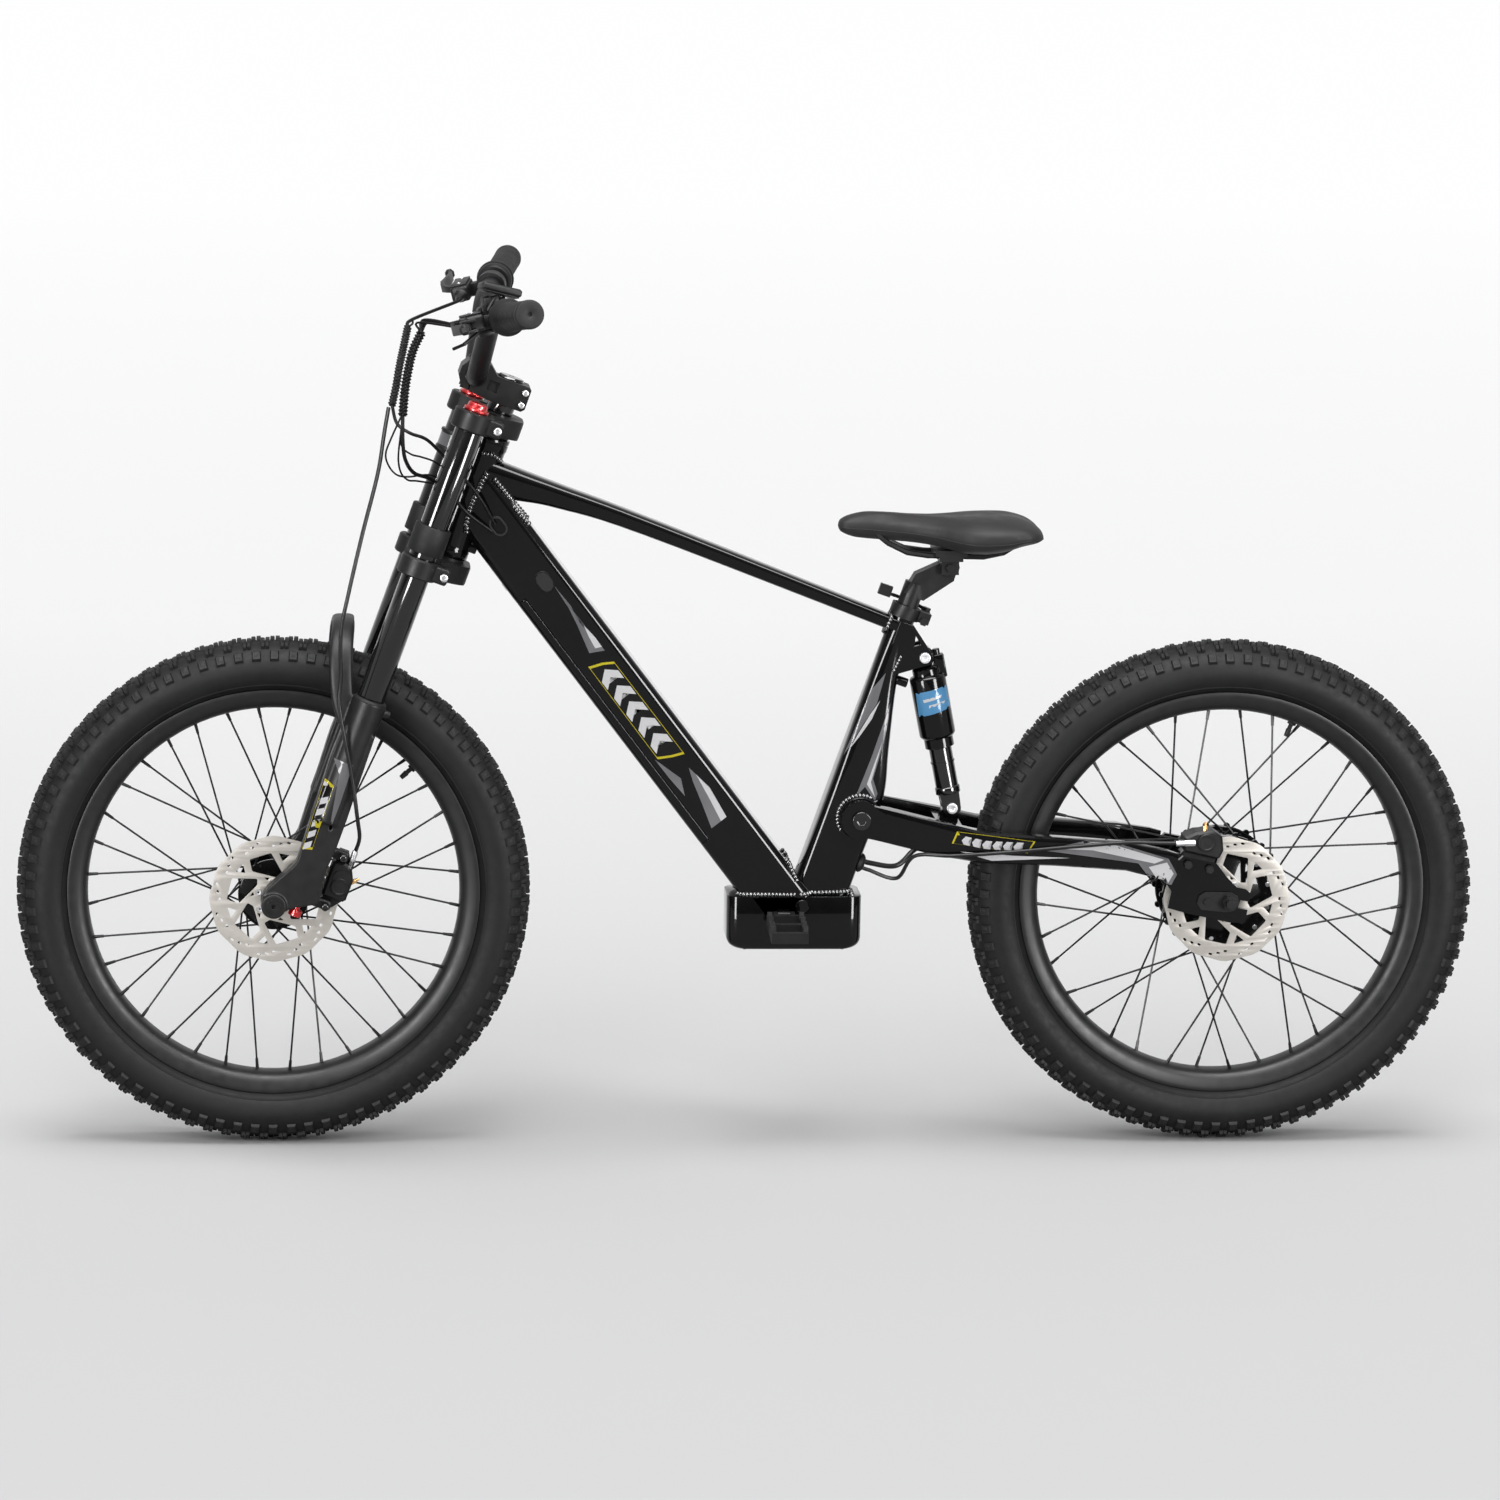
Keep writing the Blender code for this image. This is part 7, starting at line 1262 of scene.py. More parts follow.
def harness_left():
    """From the near controls, wrapped, into the frame, with three loose loops beside it."""
    start = placed(NEAR_BAR, (-0.036, -0.022, 0), (-0.037, -0.010, -0.001))
    start += placed(FORK, (-0.1320, -0.112, 0.7517))
    wrap = placed(FORK, (-0.1310, -0.112, 0.7360), (-0.1326, -0.104, 0.7116), (-0.1298, -0.098, 0.6874),
                  (-0.1246, -0.094, 0.6604), (-0.1164, -0.092, 0.6299))
    tail = placed(FORK, (-0.1050, -0.090, 0.5990), (-0.0940, -0.084, 0.5785), (-0.0776, -0.070, 0.5652),
                  (-0.0545, -0.052, 0.5627), (-0.0243, -0.047, 0.5522), (0.0034, -0.0455, 0.5371))
    tail += placed(CABLE_PORT, (-0.0100, -0.002, 0.0060))
    loops = [
        placed(FORK, (-0.1175, -0.092, 0.6330), (-0.1199, -0.088, 0.5980), (-0.1195, -0.083, 0.5777),
               (-0.1114, -0.078, 0.5648), (-0.0979, -0.074, 0.5565), (-0.0828, -0.068, 0.5580),
               (-0.0546, -0.055, 0.5680), (-0.0200, -0.047, 0.5600)),
        placed(FORK, (-0.1120, -0.090, 0.6120), (-0.1035, -0.086, 0.5788), (-0.0936, -0.080, 0.5613),
               (-0.0818, -0.074, 0.5549), (-0.0701, -0.064, 0.5565), (-0.0400, -0.048, 0.5600)),
        placed(FORK, (-0.1130, -0.090, 0.6150), (-0.1044, -0.086, 0.5935), (-0.0899, -0.078, 0.5869),
               (-0.0758, -0.068, 0.5867), (-0.0579, -0.056, 0.5852), (-0.0350, -0.048, 0.5780)),
    ]
    shapes = [lead(start + wrap[:1], 0.0024), wound(wrap, 0.0062), lead(wrap[-1:] + tail, 0.0024)]
    shapes += [lead(loop, 0.0012, 8) for loop in loops]
    for shift in (-0.006, 0.005, 0.009):
        first = start[0] + Vector((0.006, shift, -0.004))
        middle = start[-1].lerp(wrap[0], 0.3) + Vector((shift, shift * 0.6, 0.002))
        shapes.append(lead([first, middle, wrap[0]], 0.0014, 8))
    near = piece("cable_wrap_near", shapes, WRAP, None, "harness_left", smooth=50)
    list(placed(FORK, (0.0034, -0.0455, 0.5371), (-0.0900, -0.084, 0.5785)))
    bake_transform(near)


def hoses():
    """The front hose down the near fork leg, and the rear hose and motor cable along the swingarm."""
    knots = placed(
        FORK, (-0.1332, -0.042, 0.6277), (-0.1282, -0.058, 0.5971), (-0.1200, -0.080, 0.5501),
        (-0.1139, -0.108, 0.4759), (-0.1050, -0.118, 0.3989), (-0.0978, -0.118, 0.3543),
        (-0.0780, -0.112, 0.2989), (-0.0700, -0.111, 0.270), (-0.0480, -0.111, 0.230),
        (-0.0225, -0.107, 0.186), (0.0010, -0.104, 0.140), (0.0130, -0.088, 0.115), (0.0155, -0.071, 0.094),
        (0.0155, -0.071, 0.082),
    )
    front = piece("front_hose", lead(knots, 0.0025, 16), CABLE, None, "front_brake_hose", smooth=60)
    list(placed(FORK, (-0.1200, -0.080, 0.5501), (-0.0900, -0.116, 0.3300)))
    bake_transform(front)

    foot = placed(SEAT_TUBE, (0.0560, -0.017, 0.0555), (0.0680, -0.017, 0.0555))
    knots = foot + [PIVOT + Vector((0.0475, -0.032, -0.0765))] + placed(
        SWINGARM, (0.075, -0.0520, -0.0290), (0.120, -0.0715, -0.0150), (0.190, -0.0730, 0.0050),
        (0.260, -0.0755, 0.0270), (0.330, -0.0775, 0.0480), (0.3736, -0.0755, 0.0560),
        (0.3924, -0.0755, 0.0597),
    )
    rear = piece("rear_hose", lead(knots, 0.0025, 16), CABLE, None, "rear_brake_hose", smooth=60)
    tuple(foot[1])
    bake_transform(rear)

    foot = placed(SEAT_TUBE, (0.0560, -0.008, 0.0630), (0.0680, -0.008, 0.0630))
    knots = foot + [PIVOT + Vector((0.0495, -0.0120, -0.0645))] + placed(
        SWINGARM, (0.085, 0.0060, -0.0290), (0.122, 0.0420, -0.0275), (0.157, 0.0550, -0.0235),
        (0.205, 0.0570, -0.0150), (0.250, 0.0585, -0.0070), (0.338, 0.0620, 0.0060), (0.385, 0.0630, 0.0000),
        (0.4436, 0.0628, -0.0160),
    )
    cable = piece("motor_lead", lead(knots, 0.0033, 18), CABLE, None, "motor_cable", smooth=60)
    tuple(foot[1])
    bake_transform(cable)


# Handlebar and controls

# Along the bar from its upper bend
CLAMP = 0.060
GRIP_LENGTH, THROTTLE_LENGTH = 0.124, 0.118

DISPLAY = Matrix.Translation((0.010, 0.042, 0.0335)) @ Matrix.Rotation(math.radians(27), 4, "Y")


def cornered(points, cut):
    """A path whose corners are rounded off, each starting a set distance before it."""
    path = [Vector(points[0])]
    for before, corner, after, back in zip(points, points[1:], points[2:], cut):
        first = corner + (before - corner).normalized() * back
        last = corner + (after - corner).normalized() * back
        path += rounding(first, corner, last, 9)
    return path + [Vector(points[-1])]


def bolt_head(radius, height, place, side, matrix):
    """A button head with its socket, facing out on one side."""
    shares = [(1.0, 0.45), (0.86, 0.85), (0.66, 1.0), (0.50, 1.0), (0.46, 0.9), (0.46, 0.30), (0.02, 0.25)]
    profile = [(radius, -0.0006)] + [(share * radius, rise * height) for share, rise in shares]
    flip = ACROSS if side < 0 else Matrix.Identity(4)
    return moved(turned(profile, 28, axis="Y"), matrix @ Matrix.Translation(place) @ flip)


def heights_from(base, *rows):
    """(radius, height) rows of millimetres, with their heights counted from a place in metres."""
    return [(radius, base + height) for radius, height in mm(*rows)]


def knurled(start, end, radius):
    """A sleeve along Y with a fine crossed grain."""
    lobes = 34
    sections = []
    count = int((end - start) / 0.0016)
    for i in range(count + 1):
        place = start + (end - start) * i / count
        ring = []
        for angle in spread_angles(4 * lobes):
            bump = math.cos(lobes * angle / 2 + i * 0.9) * math.cos(lobes * angle / 2 - i * 0.9)
            here = radius * (1 + 0.022 * bump)
            ring.append((here * math.cos(angle), place, here * math.sin(angle)))
        sections.append(ring)
    return loft(sections)


def grip_end(end):
    """The rounded end of a grip, with the small hole in its middle."""
    return heights_from(end, (17.6, -5), (17.6, 1.2), (16.8, 3.2), (15.2, 3.9), (3.2, 3.9), (2.6, 3.4),
                        (2.4, 1), (0.2, 1))


def grip_profile(start, end):
    """Flange, waist, ribbed body and rounded end of a rubber grip."""
    profile = heights_from(start, (13.4, 0), (22.4, 0), (23, 0.8), (23, 3.2), (22, 4.4), (19.6, 7.5),
                           (18.6, 10.5))
    place = start + 0.016
    while place < end - 0.014:
        profile += heights_from(place, (17.2, 0), (17.2, 5.2), (16.7, 5.8), (16.7, 6.8))
        place += 0.0074
    return profile + [(0.0172, end - 0.008)] + grip_end(end)


def bar_and_grips():
    half = cornered([Vector((BAR_CLAMP.x, 0, BAR_CLAMP.z))] + BAR_KNOTS, [0.018, 0.024])
    path = [Vector((p.x, -p.y, p.z)) for p in half[:0:-1]] + half
    bar = along(evenly(path, 0.004), BAR_RADIUS, 40)
    piece("bar_tube", bar, SATIN, "steering", "handlebar", FORK, smooth=60)
    end = BAR_END
    grip = turned(grip_profile(end - GRIP_LENGTH, end), 56, axis="Y")
    piece("grip_fine", grip, GRIP_RUBBER, "steering", "left_grip", MIRRORED_BAR, smooth=40)
    start = end - THROTTLE_LENGTH
    flange = heights_from(start, (13.6, 0), (23.4, 0), (24, 0.7), (24, 2.6), (23.2, 3.4), (20, 6), (18.4, 12),
                          (17.6, 16), (13.6, 16.5))
    sleeve = [turned(flange, 56, True, "Y"), knurled(start + 0.014, end - 0.004, 0.0171),
              turned([(0.0160, end - 0.006)] + grip_end(end), 56, axis="Y")]
    piece("throttle_fine", sleeve, GRIP_RUBBER, "throttle", "throttle_grip", FAR_BAR, smooth=40)
    high = start - 0.0004
    profile = heights_from(high, (13.1, -14), (19.6, -14), (20.6, -13), (22.2, -10), (22.5, -9), (22.5, -0.6),
                           (21.9, 0), (13.1, 0))
    boss = moved(rod((0.012, high - 0.007, 0), (0.0265, high - 0.007, 0), 0.0045, 20),
                 Matrix.Rotation(math.radians(145), 4, "Y"))
    piece("throttle_ring", [turned(profile, 56, True, "Y"), boss], PLASTIC, "steering", "throttle_housing",
          FAR_BAR, smooth=40)


def master_cylinder():
    """Clamp ring, body, lid, lever fork with its pin, and the hose's ribbed boot."""
    ring = heights_from(CLAMP, (12.9, 0), (17.8, 0), (18.5, 0.8), (18.5, 13.2), (17.8, 14), (12.9, 14))
    boot = heights_from(CLAMP, (8.2, -20), (8.4, -23), (7.2, -24), (7.6, -26.5), (6.4, -28), (6.8, -30.5),
                        (5.6, -32), (5.8, -34.5), (4, -40), (3.2, -43))
    return [
        turned(ring, 48, True, "Y"),
        box((0.016, 0.013, 0.017), (-0.0235, CLAMP + 0.007, 0), 0.0012),
        box((0.024, 0.046, 0.021), (-0.0370, CLAMP + 0.001, 0.0018), 0.0045, 4),
        box((0.020, 0.040, 0.0030), (-0.0370, CLAMP + 0.001, 0.0132), 0.0012, 3),
        box((0.018, 0.016, 0.0035), (-0.0460, CLAMP + 0.022, 0.0064), 0.0010),
        box((0.018, 0.016, 0.0035), (-0.0460, CLAMP + 0.022, -0.0064), 0.0010),
        drum(0.0036, -0.0092, 0.0092, 20, "Z", (-0.048, CLAMP + 0.022, 0)),
        turned(boot, 28, axis="Y", centre=(-0.036, 0, 0)),
    ]


def near_switches():
    """What the near side has besides: reach ribs, a switch block with its ring, and a bent thumb lever."""
    knee = (-0.052, CLAMP - 0.002, -0.020)
    ribs = [box((0.0016, 0.020, 0.016), (-0.0500 - 0.0026 * k, CLAMP - 0.012, 0.002), 0.0004)
            for k in range(4)]
    return ribs + [
        box((0.030, 0.022, 0.026), (-0.006, CLAMP - 0.030, 0.006), 0.0050, 4),
        drum(0.0180, CLAMP - 0.041, CLAMP - 0.019, 40, edge=0.0016),
        box((0.008, 0.012, 0.010), (-0.024, CLAMP - 0.030, 0.010), 0.0020, 3),
        box((0.020, 0.010, 0.006), (0.006, CLAMP - 0.030, 0.0215), 0.0016, 3),
        rod((-0.030, CLAMP - 0.006, -0.010), knee, 0.0024, 12),
        rod(knee, (-0.068, CLAMP + 0.008, -0.022), 0.0020, 12),
        drum(0.0042, -0.006, 0.008, 24, "Z", (-0.0180, CLAMP - 0.004, 0.010)),
        box((0.020, 0.012, 0.010), (-0.020, CLAMP - 0.010, -0.012), 0.002),
    ]


def brake_controls():
    screw = mm((2.6, 14), (2.6, 15.2), (1.8, 15.6), (1.6, 15), (0.2, 15))
    screws = [turned(screw, 20, centre=(-0.0370, CLAMP + 0.001 + shift, 0)) for shift in (-0.0145, 0.0145)]
    for side, name in SIDES:
        place = FAR_BAR if side > 0 else MIRRORED_BAR
        shapes = master_cylinder() + (near_switches() if side < 0 else [])
        piece("master_" + name, shapes, SATIN, "steering", name + "_brake_clamp", place, smooth=40)
        piece("master_screws_" + name, screws, STEEL, "steering", place=place, slot="bright_steel")


def display():
    """The display on its clamp, tilted back, with a glass face and a key below it."""
    ring = mm((12.9, 26), (16, 26), (16.5, 26.6), (16.5, 35.4), (16, 36), (12.9, 36))
    shapes = [
        moved(box((0.050, 0.034, 0.009), (0, 0, 0), 0.0030, 4), DISPLAY),
        moved(box((0.046, 0.030, 0.0020), (0, 0, -0.0052), 0.0009, 2), DISPLAY),
        turned(ring, 48, True, "Y"),
        box((0.010, 0.010, 0.020), (-0.008, 0.031, 0.020), 0.0014),
        box((0.020, 0.013, 0.012), (-0.004, 0.042, 0.0225), 0.0020, 3),
        rod((0.0, 0.048, 0.026), (-0.020, 0.056, 0.006), 0.0022, 12),
    ]
    piece("display_case", shapes, PLASTIC, "steering", "display_unit", MIRRORED_BAR, smooth=40)
    glass = moved(box((0.041, 0.025, 0.0008), (-0.001, 0, 0.0047), 0.0003, 1), DISPLAY)
    piece("display_glass", glass, GLOSS, "steering", place=MIRRORED_BAR, slot="satin_black")
    key = turned(mm((4, 3), (4.2, 5.4), (3.6, 6), (0.2, 6)), 28, centre=(0.0215, 0, 0))
    piece("display_key", key, GRIP_RUBBER, "button", "display_button", MIRRORED_BAR @ DISPLAY, smooth=40)


def clamp_bolts():
    """The bright bolts of the stem and of the crowns' pinched rings."""
    heads = []
    for side in (1, -1):
        heads += [bolt_head(0.0042, 0.0030, (0.0215, side * 0.0245, z), side, FORK) for z in (0.6840, 0.7000)]
        heads += [bolt_head(0.0052, 0.0034, (-0.001, side * 0.1030, z), side, FORK) for z in (0.652, 0.459)]
    piece("clamp_bolts", heads, STEEL, "steering", slot="bright_steel")


# Fork


def crown(name, low, high, collar_low, collar_high):
    """A forged crown: waisted plate, pinched rings round the stanchions, collar, relief pockets and slits."""
    half = mm((33, 24), (20, 40), (-10, 66), (-10, 84), (-52, 74), (-40, 42), (-28, 14))
    outline = rounded_path(half + [(x, -y) for x, y in half[::-1]], 0.014, 6)
    middle, edge = (low + high) / 2, 0.0022
    plate = loft([
        [(x * share, y * share, height) for x, y in outline]
        for share, height in ((0.985, low), (1, low + edge), (1, high - edge), (0.985, high))
    ])
    parts = [drum(0.0235, collar_low, collar_high, 64, "Z", edge=0.0012)]
    cuts = [drum(0.0146, low - 0.02, high + 0.02, 56, "Z")]
    pocket = high - 0.002 if collar_low < low else low + 0.002
    for side in (1, -1):
        parts.append(drum(0.0255, low, high, 72, "Z", stanchion_centre(side), 0.0018))
        parts.append(box((0.022, 0.024, 0.021), (-0.006, side * 0.088, middle), 0.0035, 4))
        cuts.append(drum(0.0177, low - 0.02, high + 0.02, 72, "Z", stanchion_centre(side)))
        cuts.append(box((0.034, 0.0018, 0.05), (-0.003, side * 0.0900, middle), 0))
        cuts.append(box((0.020, 0.022, 0.020), (-0.014, side * 0.046, pocket), 0.0045, 4))
    piece("crown_" + name, combined(combined(plate, parts, "UNION"), cuts), CAST, "steering", name + "_crown",
          FORK, bevel=0.0009, segments=3, bevel_angle=32)
    bolts = [drum(0.0040, side * 0.079, side * 0.1032, 24, centre=(-0.001, 0, middle)) for side in (1, -1)]
    piece("crown_bolts_" + name, bolts, CHROME, "steering", place=FORK, slot="black_chrome")


def arch():
    """The hooded brace between the legs, wide across its run."""
    half = mm((-93, 0, 353, 27), (-92, 34, 349, 28), (-88.5, 58, 333, 29), (-80, 72, 305, 29),
              (-66, 80, 273, 28), (-50, 83, 248, 26))
    path = through([(x, -y, z, w) for x, y, z, w in half[:0:-1]] + half, 6)
    flat = Vector((0.94, 0, 0.34)).normalized()
    sections = []
    for i, (x, y, z, width) in enumerate(path):
        before, after = path[max(0, i - 1)], path[min(len(path) - 1, i + 1)]
        ahead = Vector([after[k] - before[k] for k in range(3)]).normalized()
        wide = (flat - ahead * flat.dot(ahead)).normalized()
        thin = ahead.cross(wide)
        outline = squircle(width, 0.0115, 3.2, 32)
        sections.append([tuple(Vector((x, y, z)) + wide * a + thin * b) for a, b in outline])
    bores = [drum(0.0180, 0.200, 0.300, 48, "Z", stanchion_centre(side)) for side in (1, -1)]
    return shape_of(combined(loft(sections), bores))


def lowers():
    """Cast legs under a hooded arch, with windows, axle bosses, brake tabs and the hose guide."""
    outline = rounded_path(mm((-12.5, 245), (-10, 128), (-10, 95), (-12.5, 62), (-6, 20.6), (-38.5, 3),
                              (-46, -8), (-72, -9), (-77, 11), (-50.2, 60), (-56, 200), (-54.5, 245)), 0.008)
    window_outline = rounded_path(mm((-42.8, 203), (-22, 198), (-24.7, 101.2)), 0.004)
    shapes = []
    axle = drum(0.0068, -0.12, 0.12, 40, centre=FORK_AXLE)
    for side in (1, -1):
        bore = drum(0.0180, 0.200, 0.300, 64, "Z", stanchion_centre(side))
        window = side_plate(window_outline, side * 0.086, side * 0.12)
        leg = combined(drum(0.0215, 0.120, 0.282, 64, "Z", stanchion_centre(side), 0.0016), [bore])
        plate = combined(side_plate(outline, side * 0.069, side * 0.099), [bore, window, axle])
        boss = combined(drum(0.0155, side * 0.0625, side * 0.1055, 48, centre=FORK_AXLE), [axle])
        shapes += [shape_of(mesh) for mesh in (leg, plate, boss)]
    shapes.append(arch())
    shapes.append(box((0.012, 0.010, 0.008), (-0.009, -STANCHION_Y, 0.272), 0.002))
    shapes += [box((0.030, 0.012, 0.013), (-0.005, -0.0735, z), 0.003) for z in (0.018, 0.084)]
    return piece("lowers_cast", cast_skin(shapes), CAST, "lowers", "fork_lowers", FORK, smooth=60)


def fork():
    crown("lower", 0.447, 0.471, 0.4600, 0.4762)
    crown("upper", 0.640, 0.664, 0.6348, 0.6500)
    cap = mm((15, 707.2), (16.2, 708.2), (16.2, 710), (15.4, 711), (6.4, 711.2), (5.6, 710.4), (3.4, 710.4),
             (3, 708.2), (0.2, 708.2))
    piece("stem_cap", turned(cap, 56), GLOSS, "steering", place=FORK, slot="satin_black", smooth=40)
    cast = lowers()
    tube = mm((16.5, 254.5), (17.5, 255.7), (17.5, 662.5), (16.8, 664))
    bumper = mm((17.6, 478), (22.4, 478), (23, 478.8), (23, 512), (22.2, 513), (17.6, 513))
    seal = mm((17.8, 279.5), (21, 279.5), (21.4, 280.8), (20.6, 282.6), (19, 283.8), (17.8, 284))
    for side, name in SIDES:
        centre = stanchion_centre(side)
        piece("stanchion_" + name, turned(tube, 72, centre=centre), CHROME, "steering", name + "_stanchion",
              FORK, smooth=40)
        piece("bumper_" + name, turned(bumper, 56, True, centre=centre), GRIP_RUBBER, "steering", place=FORK,
              slot="soft_rubber", smooth=40)
    stop = mm((17.6, 588), (20.9, 588), (21.5, 588.8), (21.5, 591.5), (20.3, 592.5), (20.3, 610),
              (21.5, 610.8), (21.5, 613.2), (20.9, 614), (17.6, 614))
    band = mm((17.7, 593.5), (20.5, 593.5), (20.5, 609.2), (17.7, 609.2))
    for name, profile, finish, slot in (("travel_stop_far", stop, SATIN, "satin_black"),
                                        ("travel_band_far", band, GREY_PAINT, "soft_rubber")):
        piece(name, turned(profile, 56, True, centre=stanchion_centre(1)), finish, "steering", place=FORK,
              slot=slot, smooth=40)
    seals = [turned(seal, 56, True, centre=stanchion_centre(side)) for side in (1, -1)]
    piece("dust_seals", seals, GRIP_RUBBER, "lowers", place=FORK, slot="soft_rubber", smooth=40)
    badge = mm((-53.5, 173.5), (-40, 169), (-38, 83), (-50, 80))
    patch = mm((-52, 201), (-27, 201), (-25.5, 150), (-26.2, 110), (-33, 150), (-39, 185))
    blocks = []
    for k in range(5):
        foot = 148 - 15 * k
        blocks.append(mm((-49.5, foot), (-41.5, foot + 6), (-41.2, foot - 2.5), (-49, foot - 8.5)))
    graphics("fork_graphic", tree_of(cast.data), FORK, [
        (GREY_PAINT, [patch]), (YELLOW_PAINT, [badge]), (GLOSS_INK, [inset(badge, 0.93)]),
        (WHITE_PAINT, blocks),
    ], "lowers")


# Shock and swingarm


def shock():
    """Air can with its valve block and head, and the rod that slides in it, with its travel ring and foot."""
    can = mm((0.2, -36), (16.2, -36), (16.2, -118.2), (16.4, -118.6), (18, -118.6), (18.5, -118),
             (18.5, -106.2), (20, -105.6), (22.6, -102.2), (23, -100.8), (23, -28.5), (22.6, -27),
             (20.8, -24.8), (18, -24), (17.6, -22.5), (17.6, -16.5), (16, -15), (12, -12))
    shapes = [
        turned(can, 64), drum(0.013, -0.0108, 0.0108, 40, edge=0.0008),
        box((0.020, 0.018, 0.016), (0, 0, -0.012), 0.0015),
        box((0.014, 0.014, 0.030), (0.0180, 0, -0.0160), 0.0016, 3),
        drum(0.0048, -0.004, 0.006, 28, "Z", (0.0165, 0, 0), 0.0008),
    ]
    piece("air_can", shapes, GLOSS, "can", "shock_can", SHOCK, smooth=38)
    foot = -0.19709
    rod_profile = heights_from(foot, (15.6, 18), (15.8, 18.4), (15.8, 25.6), (15.2, 26.8), (14.5, 27.2))
    rod_profile += mm((14.5, -139.2), (15.4, -139), (15.5, -138), (15.4, -137), (14.5, -136.8), (14.5, -93))
    eye = circle(0.0115, 14, (0, foot), math.radians(185), math.radians(170))
    outline = [(-0.0125, foot + 0.020), (-0.0115, foot)] + eye + [(0.0115, foot), (0.0125, foot + 0.020)]
    shapes = [turned(rod_profile, 56)]
    shapes += [side_plate(outline, side * 0.0084, side * 0.0133) for side in (1, -1)]
    piece("shock_rod", shapes, CHROME, "shaft", "shock_shaft", SHOCK, smooth=38)
    surface = tree_of(mesh_from("can_surface", moved(drum(0.0230, -0.1008, -0.0285, 96, "Z"), SHOCK)))
    graphics("shock_label", surface, SHOCK, [
        (BLUE_PAINT, [mm((-19, -43), (20, -40), (21, -69), (-20, -74))]),
        (WHITE_PAINT, [mm((-12, -52), (12, -49.5), (10.5, -53), (-11.5, -56)),
                       mm((-6, -60), (15, -58), (13.5, -61), (-6.5, -63.5))]),
    ], "can")


def arm_graphics():
    middle_x, middle_z = (0.0, 0.157, 0.205, 0.250, 0.338, 0.410), (0.0, 0.001, 0.009, 0.0165, 0.029, 0.0275)

    def raised(*outlines):
        """The outlines carried up with the arm's middle line."""
        return [[(x, z + float(np.interp(x, middle_x, middle_z))) for x, z in outline]
                for outline in outlines]

    badge = mm((118, 14), (217, 12.5), (211, -3), (115, -2))
    blocks = []
    for k in range(6):
        x = 130 + 13 * k
        blocks.append(mm((x, 10.5), (x + 8, 10.3), (x + 4.5, 4.5), (x + 7.8, -0.2), (x - 0.4, 0),
                         (x - 3.6, 4.6)))
    graphics("arm_graphic", tree_of(NODES["swingarm"].data), SWINGARM, [
        (GREY_PAINT, raised(mm((225, 2), (286, 19), (308, 19.5), (386, 10), (401, -7), (397, -21.5),
                               (372, -22.5), (350, -4.5), (275, -1.5)))),
        (WHITE_PAINT, raised(mm((242, 4.5), (287, 16), (307, 16.5), (381, 7.5), (370, 0), (290, 6)),
                             mm((385, 5), (396.5, -7), (392.5, -20), (380, -20.5), (364, -6)),
                             mm((128, -10), (195, -7), (264, -6), (169, -15)))),
        (YELLOW_PAINT, raised(badge)), (GLOSS_INK, raised(inset(badge, 0.955))),
        (WHITE_PAINT, raised(*blocks)),
    ], "arm")


def caliper_details():
    """Crimp sleeves, bleed nipples, caps and dark bolt heads on both calipers."""
    cap_profile = mm((10.5, 75), (11.2, 75.8), (11.2, 77.5), (10.4, 78.3), (8.6, 78.3), (8, 77.8), (4, 77.6),
                     (0.2, 77.8))
    for name, body, place, depth, bolts, sleeve, nipple, cap in (
        ("front", "lowers", FORK, -0.0925, [(0.0025, 0.018), (0.0025, 0.084)],
         [(0.0155, -0.071, 0.071), (0.0155, -0.071, 0.094)],
         [(0.0235, -0.066, 0.052), (0.0290, -0.066, 0.058)], (0.012, 0.045)),
        ("rear", "arm", SWINGARM, -0.0765, [(ARM_LENGTH - 0.0625, 0.0365), (ARM_LENGTH - 0.0345, 0.0365)],
         [(ARM_LENGTH - 0.0600, -0.0755, 0.0650), (ARM_LENGTH - 0.0830, -0.0755, 0.0590)],
         [(ARM_LENGTH - 0.0480, -0.066, 0.0780), (ARM_LENGTH - 0.0500, -0.066, 0.0870)],
         (ARM_LENGTH - 0.0455, 0.0680)),
    ):
        first, last = (Vector(point) for point in sleeve)
        crimp = [rod(first.lerp(last, start), first.lerp(last, end), radius, sides)
                 for start, end, radius, sides in ((0, 0.55, 0.0042, 6), (0.5, 1, 0.0036, 24),
                                                   (0.62, 0.68, 0.0040, 24), (0.80, 0.86, 0.0040, 24))]
        piece(name + "_crimp", crimp, STEEL, body, place=place, slot="bright_steel", smooth=30)
        start, end = (Vector(point) for point in nipple)
        tip = [rod(start, end, 0.0030, 6), rod(start.lerp(end, 0.9), start.lerp(end, 1.5), 0.0019, 16)]
        piece(name + "_bleed", tip, BRASS, body, place=place, slot="bright_steel", smooth=30)
        cover = moved(turned(cap_profile, 44, axis="Y"), Matrix.Translation((cap[0], 0, cap[1])) @ ACROSS)
        piece(name + "_cap", cover, SATIN, body, place=place, slot="satin_black", smooth=30)
        heads = [bolt_head(0.0046, 0.0024, (x, depth, z), -1, place) for x, z in bolts]
        piece(name + "_bolts", heads, CHROME, body, slot="black_chrome")


# Stage


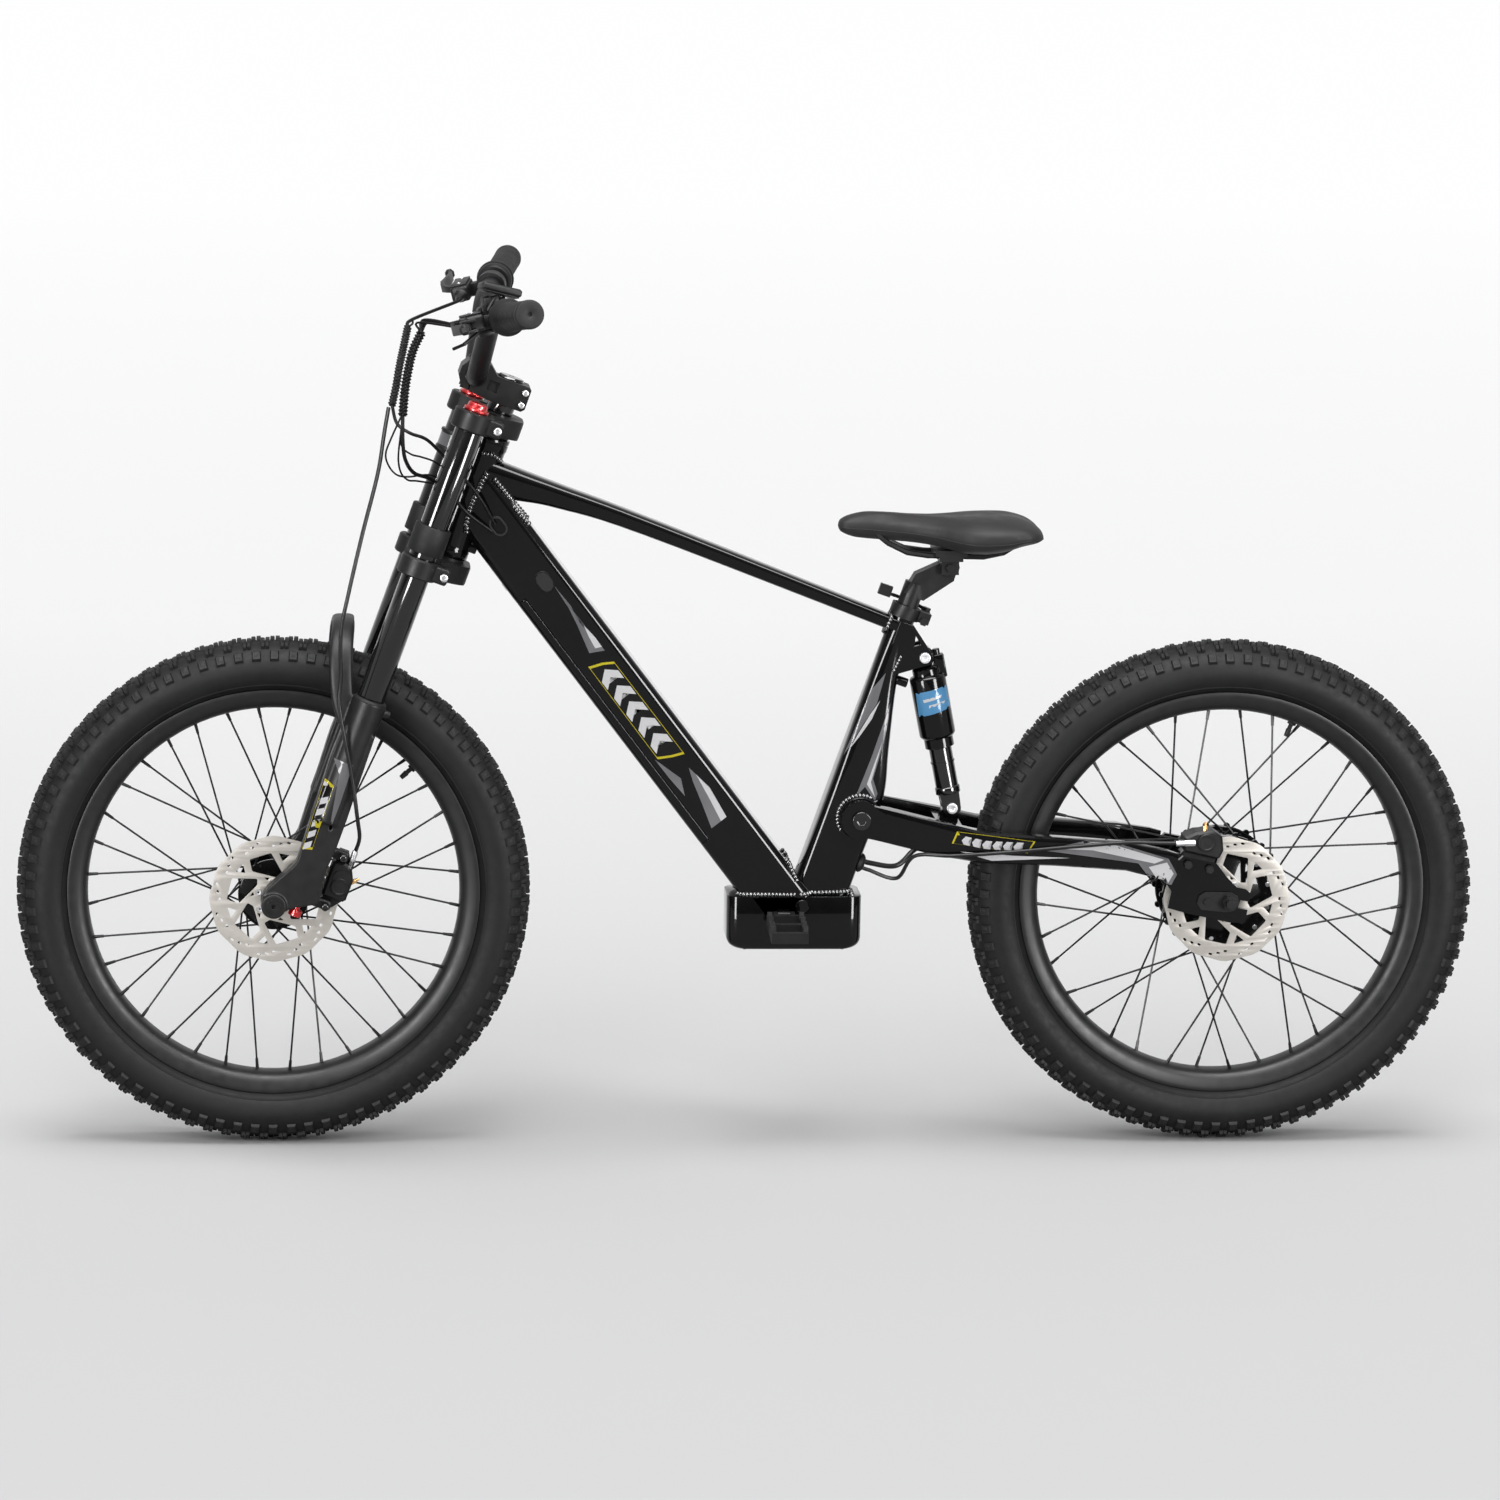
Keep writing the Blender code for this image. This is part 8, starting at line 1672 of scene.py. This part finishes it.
def add_floor():
    """A wide pale floor that turns whiter with distance, its colour carrying painted shade: darker near the
    camera, paler far off.
    """
    steps = 48
    radii = [0.5, 1.0, 2.0, 4.0, 8.0, 16.0, 40.0, 150.0]
    points = [(0, 0, 0)] + [(x, y, 0) for radius in radii for x, y in circle(radius, steps)]
    faces = [(0, 1 + i, 1 + (i + 1) % steps) for i in range(steps)]
    for low in range(1, 1 + (len(radii) - 1) * steps, steps):
        for i in range(steps):
            j = (i + 1) % steps
            faces.append((low + i, low + steps + i, low + steps + j, low + j))
    mesh = bpy.data.meshes.new("floor")
    mesh.from_pydata(points, [], faces)
    floor = added("floor", mesh)
    made, tree, shader = new_material("floor_paper")
    place = object_place(tree)
    depth = separated(tree, place)["Y"]
    # Painted shade: the floor's colour darkens towards the camera and pales far off, standing in for the
    # fall-off of the studio light.
    near = mixed(tree, ranged(tree, depth, 0.0, 1.0, -0.6, 4.0), (0.665, 0.665, 0.667), (0.83, 0.83, 0.83))
    far = ranged(tree, depth, 0.0, 1.0, 4.0, 14.0)
    tree.links.new(mixed(tree, far, near, (0.90, 0.90, 0.90)), shader.inputs["Base Color"])
    tree.links.new(ranged(tree, noise_of(tree, place, 3.0), 0.85, 0.95), shader.inputs["Roughness"])
    set_inputs(shader, {"Specular IOR Level": 0.0})
    mesh.materials.append(made)


def add_world():
    """An even white surround for the camera, a plain grey light, and a darker front for glossy surfaces."""
    world = bpy.data.worlds.new("studio")
    bpy.context.scene.world = world
    world.use_nodes = True
    tree = world.node_tree
    tree.nodes.clear()
    out = tree.nodes.new("ShaderNodeOutputWorld")
    back = tree.nodes.new("ShaderNodeBackground")
    path = tree.nodes.new("ShaderNodeLightPath")
    direction = separated(tree, tree.nodes.new("ShaderNodeTexCoord").outputs["Generated"])
    height = ranged(tree, direction["Z"], 0.0, 1.0, 0.05, 0.85)
    behind = ranged(tree, direction["Y"], 0.0, 1.0, -0.2, 0.6)
    side = mixed(tree, behind, (0.08, 0.08, 0.08), (0.85, 0.85, 0.85))
    glossy = mixed(tree, height, side, (0.95, 0.95, 0.96))
    plain = mixed(tree, path.outputs["Is Glossy Ray"], (0.50, 0.50, 0.505), glossy)
    seen = mixed(tree, path.outputs["Is Camera Ray"], plain, (0.982, 0.982, 0.982))
    tree.links.new(seen, back.inputs["Color"])
    tree.links.new(back.outputs["Background"], out.inputs["Surface"])


def add_lamp(name, kind, direction, energy):
    lamp = added(name, bpy.data.lights.new(name, kind))
    lamp.data.energy = energy
    lamp.rotation_mode = "QUATERNION"
    lamp.rotation_quaternion = Vector(direction).to_track_quat("-Z", "Y")
    return lamp


def add_lamps():
    """Two soft suns, and soft boxes that only glossy surfaces see, for the long highlights."""
    for name, direction, energy, degrees in (("key_sun", (0.04, 0.10, -1.0), 1.55, 34),
                                             ("front_sun", (0.25, 1.0, -0.9), 0.55, 30)):
        add_lamp(name, "SUN", direction, energy).data.angle = math.radians(degrees)
    for name, place, target, size, energy in (
        ("overhead_box", (0.0, -1.5, 3.2), (0, 0, 0.5), (3.6, 1.3), 290),
        ("left_box", (-2.7, -3.2, 1.1), (0, 0, 0.6), (1.0, 2.2), 270),
        ("right_box", (2.7, -3.2, 1.1), (0, 0, 0.6), (1.2, 2.2), 330),
    ):
        lamp = add_lamp(name, "AREA", Vector(target) - Vector(place), energy)
        lamp.data.shape = "RECTANGLE"
        lamp.data.size, lamp.data.size_y = size
        lamp.location = place
        lamp.visible_camera = False
        lamp.visible_diffuse = False


dress_nodes()
wheels()
welded_frame()
saddle()
harness_right()
harness_left()
hoses()
bar_and_grips()
brake_controls()
display()
clamp_bolts()
fork()
shock()
arm_graphics()
caliper_details()
add_camera()
add_floor()
add_world()
add_lamps()
bpy.context.scene.view_settings.view_transform = "Standard"
